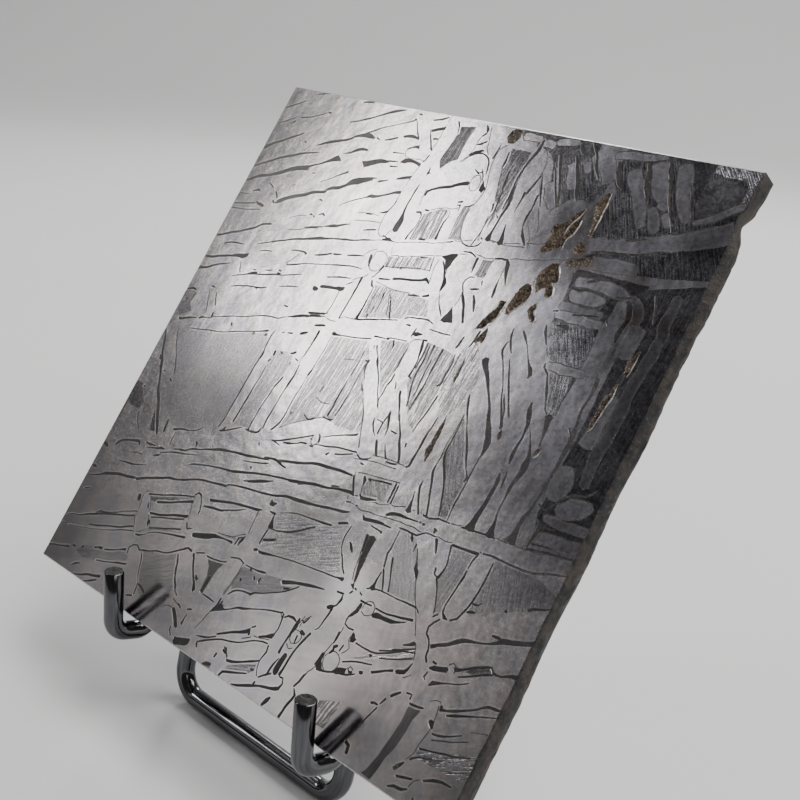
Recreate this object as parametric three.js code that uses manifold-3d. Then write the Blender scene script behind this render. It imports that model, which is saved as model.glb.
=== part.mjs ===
// An etched square slice of an iron meteorite, leaning on a bent-wire stand.
// Millimetres, +Z up, +X to the right along the slice's lower edge, +Y away from the viewer.
// The origin is the middle of the model's footprint, on the surface it stands on.

import * as THREE from "three";
import { mergeVertices } from "three/addons/utils/BufferGeometryUtils.js";
import Module from "manifold-3d";

// The slice
const SLICE_SIDE = 76;
const SLICE_THICKNESS = 2.8;
const SLICE_LEAN_DEG = 33;
const SAWN_EDGE_BEVEL = 0.15;
const SLICE_EDGE_HEIGHT = 14.05;

// The stand
const WIRE_DIAMETER = 2.5;
const WIRE_SIDES = 12;
const WIRE_BEND_RADIUS = 2.4;
const FOOT_BEND_RADIUS = 3.4;
const REST_GAP = 0.55;
const STAND_MIDDLE_X = 38.4;
const PEG_SPACING = 36.6;
const PEG_TIP_ABOVE_EDGE = 6.2;
const PEG_AXIS_BEFORE_EDGE = 1.55;
const SEAT_SLOPE_DEG = 14;
const BACKREST_LENGTH = 44;
const FRONT_FOOT_WIDTH = 31;
const FRONT_FOOT_BEHIND_EDGE = 7.6;
const FRONT_FOOT_LEAN_DEG = 9;
const FRONT_FOOT_ARM_TOP = 22.3;
const REAR_LEG_WIDTH = 18;
const REAR_FOOT_BEHIND_EDGE = 41;
const WELD_GAP = 0.3;

// The rough natural edge on the slice's right: height up the slice, how far the middle of the
// wall stands out, and how far the wall's back corner is broken away
const NATURAL_EDGE = [
  [0, 0, 0],
  [7, 0.1, 0.1],
  [14, 0.25, 0.05],
  [22, 0.15, 0.3],
  [30, 0.3, 0.1],
  [38, 0.2, 0.35],
  [44, 0.45, 0.1],
  [50, 0.35, 0.3],
  [56, 0.6, 1.0],
  [60, 0.85, 1.2],
  [63, 0.8, 0.9],
  [66, 0.5, 0.2],
  [68, 0.1, 0.3],
  [70, -0.3, 1.2],
  [72, 0, 0.3],
  [74, 0.15, 0.1],
  [76, 0, 0],
];
const NATURAL_EDGE_STEPS = 48;

// Inclusions that weathered or fell out and left pits: outline across and up the slice, and depth
const PITS = [
  {
    depth: 0.9,
    outline: [
      [57.3, 67.8], [56, 66.6], [54.8, 65.2], [54, 64.6], [54.3, 63], [54, 60.7],
      [55.1, 61.5], [56.3, 61.9], [56.8, 63.6], [57.1, 66],
    ],
  },
  {
    depth: 0.6,
    outline: [
      [59.3, 69.9], [58.9, 69], [58.5, 67], [58.3, 65], [58.1, 63.6], [57.9, 62.4],
      [58.7, 61.9], [59.4, 62.9], [59, 65.5], [59.3, 68],
    ],
  },
  {
    depth: 0.9,
    outline: [
      [57.2, 59.9], [56, 59.4], [55.3, 58], [54.7, 56.7], [53.5, 56], [53.4, 53.6],
      [53.8, 52.7], [55, 53.8], [55.6, 55.5], [56.2, 56.9], [57.1, 55.9], [58.1, 56.1],
      [58.1, 57.2], [57.5, 58.3],
    ],
  },
  {
    depth: 0.5,
    outline: [[56.7, 55], [56.2, 53.6], [57.2, 52.7], [57.6, 53.7]],
  },
  {
    depth: 0.8,
    outline: [
      [53, 54.2], [52.3, 53.8], [51.5, 52.5], [50.7, 51], [50.5, 49.6], [51.5, 50.6], [52.5, 52],
    ],
  },
  {
    depth: 0.6,
    outline: [[71.9, 53.3], [71.5, 51.7], [71.3, 50], [71.8, 50.1], [72.2, 51.6]],
  },
  {
    depth: 0.6,
    outline: [
      [71.1, 49.3], [70.8, 48.7], [70.4, 46.5], [70.2, 44.1], [70.1, 42.9], [70.7, 44], [71, 46.4],
    ],
  },
];

const radians = THREE.MathUtils.degToRad;
const wireRadius = WIRE_DIAMETER / 2;
const lean = radians(SLICE_LEAN_DEG);
const seatSlope = radians(SEAT_SLOPE_DEG);

const wasm = await Module();
wasm.setup();

// A closed solid through outlines of equal length, with its first and last outline capped.
// The outlines run anticlockwise seen from the side of the first.
function loft(outlines) {
  const count = outlines[0].length;
  const positions = outlines.flat().flatMap((point) => point.toArray());
  const faces = [];
  for (let ring = 0; ring + 1 < outlines.length; ring += 1) {
    for (let i = 0; i < count; i += 1) {
      const a = ring * count + i;
      const b = ring * count + ((i + 1) % count);
      faces.push(a, a + count, b + count, a, b + count, b);
    }
  }
  const first = outlines[0].map((point) => new THREE.Vector2(point.x, point.y));
  const last = outlines.at(-1).map((point) => new THREE.Vector2(point.x, point.y));
  for (const [a, b, c] of THREE.ShapeUtils.triangulateShape(first, [])) faces.push(a, b, c);
  const lastStart = (outlines.length - 1) * count;
  for (const [a, b, c] of THREE.ShapeUtils.triangulateShape(last, [])) {
    faces.push(lastStart + a, lastStart + c, lastStart + b);
  }
  const geometry = new THREE.BufferGeometry();
  geometry.setAttribute("position", new THREE.Float32BufferAttribute(positions, 3));
  geometry.setIndex(faces);
  return geometry;
}

function solidOf(geometry) {
  const bare = geometry.clone();
  bare.deleteAttribute("normal");
  bare.deleteAttribute("uv");
  const merged = mergeVertices(bare, 1e-4);
  return new wasm.Manifold(
    new wasm.Mesh({
      numProp: 3,
      vertProperties: merged.attributes.position.array,
      triVerts: new Uint32Array(merged.index.array),
    }),
  );
}

function geometryOf(solid) {
  const mesh = solid.getMesh();
  const geometry = new THREE.BufferGeometry();
  geometry.setAttribute("position", new THREE.Float32BufferAttribute(mesh.vertProperties, 3));
  geometry.setIndex(Array.from(mesh.triVerts));
  const flat = geometry.toNonIndexed();
  flat.computeVertexNormals();
  return flat;
}

// The natural edge's two measures at a height up the slice, eased between the listed heights
function naturalEdgeAt(height) {
  const upper = Math.max(1, NATURAL_EDGE.findIndex(([h]) => h >= height));
  const [h0, out0, broken0] = NATURAL_EDGE[upper - 1];
  const [h1, out1, broken1] = NATURAL_EDGE[upper];
  const ease = THREE.MathUtils.smoothstep(height, h0, h1);
  return {
    out: THREE.MathUtils.lerp(out0, out1, ease),
    broken: THREE.MathUtils.lerp(broken0, broken1, ease),
  };
}

// The slice's outline at a depth behind its face. Inset draws it in at the bevels, and the wall
// on the right stands out by a share of the natural edge's bulge and is broken by a share of it.
function sliceOutline(depth, inset, bulgeShare, brokenShare) {
  const low = inset;
  const high = SLICE_SIDE - inset;
  const points = [new THREE.Vector3(low, low, -depth)];
  for (let i = 0; i <= NATURAL_EDGE_STEPS; i += 1) {
    const height = THREE.MathUtils.lerp(low, high, i / NATURAL_EDGE_STEPS);
    const { out, broken } = naturalEdgeAt(height);
    const x = SLICE_SIDE - inset + bulgeShare * out - brokenShare * broken;
    points.push(new THREE.Vector3(x, height, -depth));
  }
  points.push(new THREE.Vector3(low, high, -depth));
  return points;
}

function slabGeometry() {
  const bevel = SAWN_EDGE_BEVEL;
  const depth = SLICE_THICKNESS;
  return loft([
    sliceOutline(0, bevel, 0, 0),
    sliceOutline(bevel, 0, 0.15, 0),
    sliceOutline(depth * 0.36, 0, 0.8, 0.1),
    sliceOutline(depth * 0.62, 0, 1, 0.3),
    sliceOutline(depth * 0.84, 0, 0.6, 0.7),
    sliceOutline(depth - bevel, 0, 0.2, 0.95),
    sliceOutline(depth, bevel, 0, 1),
  ]);
}

// A pit's cutter: its outline on the face, narrowing a little to the pit's floor
function pitGeometry({ outline, depth }) {
  const above = 0.4;
  const floorShare = 0.82;
  const middle = new THREE.Vector2();
  outline.forEach(([x, y]) => middle.add(new THREE.Vector2(x, y)));
  middle.divideScalar(outline.length);
  const ring = (z, share) =>
    outline.map(([x, y]) => {
      const fromMiddle = new THREE.Vector2(x, y).sub(middle).multiplyScalar(share);
      return new THREE.Vector3(middle.x + fromMiddle.x, middle.y + fromMiddle.y, z);
    });
  return loft([ring(above, 1), ring(0, 1), ring(-depth, floorShare)]);
}

function makeSlice() {
  let solid = solidOf(slabGeometry());
  for (const pit of PITS) solid = solid.subtract(solidOf(pitGeometry(pit)));
  const material = new THREE.MeshStandardMaterial({
    color: 0x9b9b9e,
    roughness: 0.34,
    metalness: 0.95,
  });
  const slice = new THREE.Mesh(geometryOf(solid), material);
  slice.name = "meteorite_slice";
  slice.rotation.x = Math.PI / 2 - lean;
  slice.position.z = SLICE_EDGE_HEIGHT;
  return slice;
}

// A wire's centre line, given as its sections: each has a place and a direction
class WirePath extends THREE.Curve {
  constructor(sections) {
    super();
    this.sections = sections;
  }

  sectionAt(share) {
    return this.sections[Math.round(share * (this.sections.length - 1))];
  }

  getPointAt(share, target = new THREE.Vector3()) {
    return target.copy(this.sectionAt(share).place);
  }

  getTangentAt(share, target = new THREE.Vector3()) {
    return target.copy(this.sectionAt(share).direction);
  }
}

// Sections of a wire that runs straight between corners and turns each one in a round bend
function bentSections(corners, bendRadii, stepsPerBend) {
  const sections = [];
  const directionBetween = (from, to) => to.clone().sub(from).normalize();
  sections.push({ place: corners[0], direction: directionBetween(corners[0], corners[1]) });
  for (let i = 1; i + 1 < corners.length; i += 1) {
    const before = directionBetween(corners[i - 1], corners[i]);
    const after = directionBetween(corners[i], corners[i + 1]);
    const turn = before.angleTo(after);
    const radius = bendRadii[i - 1];
    const start = corners[i].clone().addScaledVector(before, -radius * Math.tan(turn / 2));
    const axis = before.clone().cross(after).normalize();
    const inward = axis.clone().cross(before);
    const centre = start.clone().addScaledVector(inward, radius);
    for (let step = 0; step <= stepsPerBend; step += 1) {
      const angle = (turn * step) / stepsPerBend;
      const arm = inward.clone().multiplyScalar(-radius).applyAxisAngle(axis, angle);
      const direction = before.clone().applyAxisAngle(axis, angle);
      sections.push({ place: centre.clone().add(arm), direction });
    }
  }
  const last = corners.at(-1);
  sections.push({ place: last, direction: directionBetween(corners.at(-2), last) });
  return sections;
}

// A round wire with flats as far from its middle as its radius. Roll turns a flat to face down.
function makeWire(name, corners, bendRadii, rollDeg = 0) {
  const stepsPerBend = 6;
  const cornerRadius = wireRadius / Math.cos(Math.PI / WIRE_SIDES);
  const ring = [];
  for (let i = 0; i < WIRE_SIDES; i += 1) {
    const angle = ((i + 0.5) * 2 * Math.PI) / WIRE_SIDES + radians(rollDeg);
    ring.push(new THREE.Vector2(cornerRadius * Math.cos(angle), cornerRadius * Math.sin(angle)));
  }
  const sections = bentSections(corners, bendRadii, stepsPerBend);
  const geometry = new THREE.ExtrudeGeometry(new THREE.Shape(ring), {
    steps: sections.length - 1,
    extrudePath: new WirePath(sections),
  });
  const material = new THREE.MeshStandardMaterial({
    color: 0xb8babd,
    roughness: 0.14,
    metalness: 1,
  });
  const wire = new THREE.Mesh(geometryOf(solidOf(geometry)), material);
  wire.name = name;
  return wire;
}

// Places in the side view: distance behind the slice's lower front edge, and height over the floor
const sidePoint = (x, behind, height) => new THREE.Vector3(STAND_MIDDLE_X + x, behind, height);

// The line of the backrest's arms, which run up behind the slice, and the line of the seat
const standOff = REST_GAP + wireRadius;
const backFoot = {
  behind: SLICE_THICKNESS * Math.cos(lean),
  height: SLICE_EDGE_HEIGHT - SLICE_THICKNESS * Math.sin(lean),
};
const armStart = {
  behind: backFoot.behind + standOff * Math.cos(lean),
  height: backFoot.height - standOff * Math.sin(lean),
};
const seatDrop = standOff / Math.cos(seatSlope);
const seatHeightAt = (behind) =>
  backFoot.height - seatDrop - Math.tan(seatSlope) * (behind - backFoot.behind);

// Where the seat's line and the arms' line cross
function seatEnd() {
  const armSlope = 1 / Math.tan(lean);
  const armHeightAtEdge = armStart.height - armSlope * armStart.behind;
  const behind =
    (seatHeightAt(0) - armHeightAtEdge) / (armSlope + Math.tan(seatSlope));
  return { behind, height: seatHeightAt(behind) };
}

const armTop = {
  behind: armStart.behind + BACKREST_LENGTH * Math.sin(lean),
  height: armStart.height + BACKREST_LENGTH * Math.cos(lean),
};

// The cradle: two pegs in front of the slice, the seat under it, the arms and the bar behind it
function makeCradle() {
  const half = PEG_SPACING / 2;
  const peg = -PEG_AXIS_BEFORE_EDGE;
  const corner = seatEnd();
  const side = [
    [peg, SLICE_EDGE_HEIGHT + PEG_TIP_ABOVE_EDGE],
    [peg, seatHeightAt(peg)],
    [corner.behind, corner.height],
    [armTop.behind, armTop.height],
  ];
  const left = side.map(([behind, height]) => sidePoint(-half, behind, height));
  const right = side.map(([behind, height]) => sidePoint(half, behind, height)).reverse();
  const tight = 0.8 * WIRE_BEND_RADIUS;
  const radii = [
    WIRE_BEND_RADIUS, tight, FOOT_BEND_RADIUS, FOOT_BEND_RADIUS, tight, WIRE_BEND_RADIUS,
  ];
  return makeWire("cradle_wire", [...left, ...right], radii);
}

// The front foot: a bar on the floor whose arms rise, leaning back, to the cradle's arms
function makeFrontFoot() {
  const half = FRONT_FOOT_WIDTH / 2;
  const rise = FRONT_FOOT_ARM_TOP - wireRadius;
  const top = FRONT_FOOT_BEHIND_EDGE + rise * Math.tan(radians(FRONT_FOOT_LEAN_DEG));
  const corners = [
    sidePoint(-half, top, FRONT_FOOT_ARM_TOP),
    sidePoint(-half, FRONT_FOOT_BEHIND_EDGE, wireRadius),
    sidePoint(half, FRONT_FOOT_BEHIND_EDGE, wireRadius),
    sidePoint(half, top, FRONT_FOOT_ARM_TOP),
  ];
  const radii = [FOOT_BEND_RADIUS, FOOT_BEND_RADIUS];
  return makeWire("front_foot_wire", corners, radii, FRONT_FOOT_LEAN_DEG);
}

// The rear leg: a narrow frame from behind the backrest's bar down to the floor
function makeRearLeg() {
  const half = REAR_LEG_WIDTH / 2;
  const topBehind = armTop.behind + WIRE_DIAMETER + WELD_GAP;
  const topHeight = armTop.height + wireRadius;
  const run = REAR_FOOT_BEHIND_EDGE - topBehind;
  const leanDeg = THREE.MathUtils.radToDeg(Math.atan2(run, topHeight - wireRadius));
  const corners = [
    sidePoint(-half, topBehind, topHeight),
    sidePoint(-half, REAR_FOOT_BEHIND_EDGE, wireRadius),
    sidePoint(half, REAR_FOOT_BEHIND_EDGE, wireRadius),
    sidePoint(half, topBehind, topHeight),
  ];
  const radii = [FOOT_BEND_RADIUS, FOOT_BEND_RADIUS];
  return makeWire("rear_leg_wire", corners, radii, -leanDeg);
}

const display = new THREE.Group();
display.add(makeSlice(), makeCradle(), makeFrontFoot(), makeRearLeg());

const footprint = new THREE.Box3().setFromObject(display, true);
const middle = footprint.getCenter(new THREE.Vector3());
display.position.set(-middle.x, -middle.y, -footprint.min.z);

const root = new THREE.Group();
root.add(display);

export default root;
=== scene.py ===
import math
import random
from collections import namedtuple

import bpy
import numpy as np
from mathutils import Matrix, Vector, noise
from mathutils.geometry import delaunay_2d_cdt


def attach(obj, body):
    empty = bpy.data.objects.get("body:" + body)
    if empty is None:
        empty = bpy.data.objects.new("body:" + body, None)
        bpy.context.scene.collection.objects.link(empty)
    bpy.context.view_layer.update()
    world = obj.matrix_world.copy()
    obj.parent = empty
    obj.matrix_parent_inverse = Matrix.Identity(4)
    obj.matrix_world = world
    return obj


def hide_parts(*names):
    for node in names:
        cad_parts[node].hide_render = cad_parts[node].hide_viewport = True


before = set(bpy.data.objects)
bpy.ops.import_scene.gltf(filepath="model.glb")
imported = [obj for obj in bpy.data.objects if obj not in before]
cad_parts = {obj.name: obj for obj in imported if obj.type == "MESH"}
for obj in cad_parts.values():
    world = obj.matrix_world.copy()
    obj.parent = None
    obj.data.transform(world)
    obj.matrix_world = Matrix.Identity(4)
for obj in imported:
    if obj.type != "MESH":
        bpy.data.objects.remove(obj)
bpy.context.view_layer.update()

# An etched iron meteorite slice on a bent-wire stand, seen from its front right

# The slice, in millimetres and degrees
SLICE_SIDE = 76
SLICE_THICKNESS = 2.8
SLICE_LEAN_DEG = 33
SAWN_EDGE_BEVEL = 0.15
SLICE_EDGE_HEIGHT = 14.05
FACE_LOW = SAWN_EDGE_BEVEL
FACE_HIGH = SLICE_SIDE - SAWN_EDGE_BEVEL
SLICE_MOST_X = 76.5

# Where the slice's lower left front corner stands in the model's frame, across and back
SLICE_CORNER_X = -38.28
SLICE_CORNER_Y = -20.43

# The stand
WIRE_DIAMETER = 2.5
WIRE_BEND_RADIUS = 2.4
SEAT_BEND_RADIUS = 0.8 * WIRE_BEND_RADIUS
WIRE_SIDES = 40
WIRE_END_CHAMFER = 0.09
BEND_STEPS = 18
FOOT_BEND_RADIUS = 3.4
REST_GAP = 0.55
STAND_MIDDLE_X = 38.4
PEG_SPACING = 36.6
PEG_TIP_ABOVE_EDGE = 6.2
PEG_AXIS_BEFORE_EDGE = 1.55
SEAT_SLOPE_DEG = 14
BACKREST_LENGTH = 44
FRONT_FOOT_WIDTH = 31
FRONT_FOOT_BEHIND_EDGE = 7.6
FRONT_FOOT_LEAN_DEG = 9
FRONT_FOOT_ARM_TOP = 22.3
REAR_LEG_WIDTH = 18
REAR_FOOT_BEHIND_EDGE = 41
WELD_GAP = 0.3

# The etched relief: how far the gaps sink and the pits' rims stand out, and how wide thin lines are
GAP_DEPTH = 0.04
RIDGE_HEIGHT = 0.11
RIM_WIDTH = 0.045
EDGE_WIDTH = 0.135
SEAM_WIDTH = 0.13
# The painted highlights: a lighter border beside the gaps, and the lighter edge inside the bands
GAP_HIGHLIGHT_WIDTH = 0.2
BAND_CORE_INSET = 0.22
THIN_GAP_OUTSET = 0.06
RIDGE_INSET = 0.03

# The spacing of the loose points in a pit's floor, how far each may stray and how near the outline
# they come, and how deep the floor is at least
PIT_GRID = 0.15
PIT_STRAY = 0.06
PIT_MARGIN = 0.05
SHALLOWEST_PIT = 0.04

# How far inside its outline a pit starts and ends to sink, and how far points on a ridge may stray
PIT_SLOPE = (-0.05, 0.3)
RIDGE_STRAY = 0.02

# How bright each painted shape is, as a share of its material's own brightness
SEAM_TONE = 1.4
# Painted highlights: the bands' lighter edges and the lighter border along the gaps
BAND_EDGE_HIGHLIGHT_TONE = 1.13
GAP_HIGHLIGHT_TONE = 1.2
POCKET_RIM_TONE = 0.4
GAP_RIM_TONES = (0.3, 0.7)
TARNISHED_AND_SHADED_RIM_TONES = (0.3, 0.35)
WIDE_GAP_TONES = (0.85, 1.2)
THIN_GAP_TONES = (0.9, 1.3)
BACK_GAP_TONES = (0.85, 1.3)
EDGE_TONES = (1.3, 2.2)

# How far to the right the rims turn dim, from tarnishing and painted shade
RIMS_TARNISHED_AND_SHADED_FROM = 46

# How far the back's pattern is shifted, and how near the edges it comes
BACK_SHIFT = (0.5, -0.4)
BACK_LOW = 0.5
BACK_HIGH = (73.9, 75.4)

# How wide a stroke is at its widest to count: a band with one tone, a gap with a rim, a gap on the back
NARROW_BAND_WIDTH = 0.9
WIDE_GAP_WIDTH = 0.19
BACK_GAP_WIDTH = 0.24

# How far in from the right the natural edge and its wall may lie
NATURAL_EDGE_REACH = 0.7
NATURAL_WALL_REACH = 1.2

# The natural edge's small chip near the top, as the face shows it
CHIP_MIDDLE = 70.2
CHIP_DEPTH = 0.4
CHIP_REACH = 0.9

# The rough natural edge on the right: height up the slice, how far the middle of the wall
# stands out, and how far the wall's back corner is broken away
NATURAL_EDGE = [
    (0, 0, 0), (7, 0.1, 0.1), (14, 0.25, 0.05), (22, 0.15, 0.3), (30, 0.3, 0.1), (38, 0.2, 0.35),
    (44, 0.45, 0.1), (50, 0.35, 0.3), (56, 0.6, 1.0), (60, 0.85, 1.2), (63, 0.8, 0.9),
    (66, 0.5, 0.2), (68, 0.1, 0.3), (70, -0.3, 1.2), (72, 0, 0.3), (74, 0.15, 0.1), (76, 0, 0),
]

# How much of the bulge and of the broken corner shows at each depth behind the face
EDGE_DEPTHS = (0.15, 1.0, 1.74, 2.35, 2.65, 2.8)
BULGE_AT_DEPTH = (0.15, 0.8, 1, 0.6, 0.2, 0)
BROKEN_AT_DEPTH = (0, 0.1, 0.3, 0.7, 0.95, 1)
WALL_RING_DEPTHS = (0.15, 0.42, 0.72, 1.0, 1.36, 1.74, 2.05, 2.35, 2.65, SLICE_THICKNESS)

# What a triangle of the face shows, and the material slot that it takes
GROUND, FIELD, SEAM, BAND, RIM, GAP, RIDGE, PIT = range(8)
KIND_SLOTS = {GROUND: 0, FIELD: 1, SEAM: 2, BAND: 0, RIM: 3, GAP: 2, RIDGE: 3, PIT: 4}
CUT_WALL_SLOT = 5
NATURAL_WALL_SLOT = 6

Shape = namedtuple("Shape", "kind outline tone angle lines depth")
Fact = namedtuple("Fact", "slot tone angle lines smooth")

lean = math.radians(SLICE_LEAN_DEG)
wire_radius = WIRE_DIAMETER / 2

# From the slice's face to the model's frame, in metres: across, up the face, out of the face
FACE_TO_MODEL = Matrix.Scale(0.001, 4) @ Matrix((
    (1, 0, 0, SLICE_CORNER_X),
    (0, math.sin(lean), -math.cos(lean), SLICE_CORNER_Y),
    (0, math.cos(lean), math.sin(lean), SLICE_EDGE_HEIGHT),
    (0, 0, 0, 1),
))
FACE_TURN = FACE_TO_MODEL.to_3x3().normalized()

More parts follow.
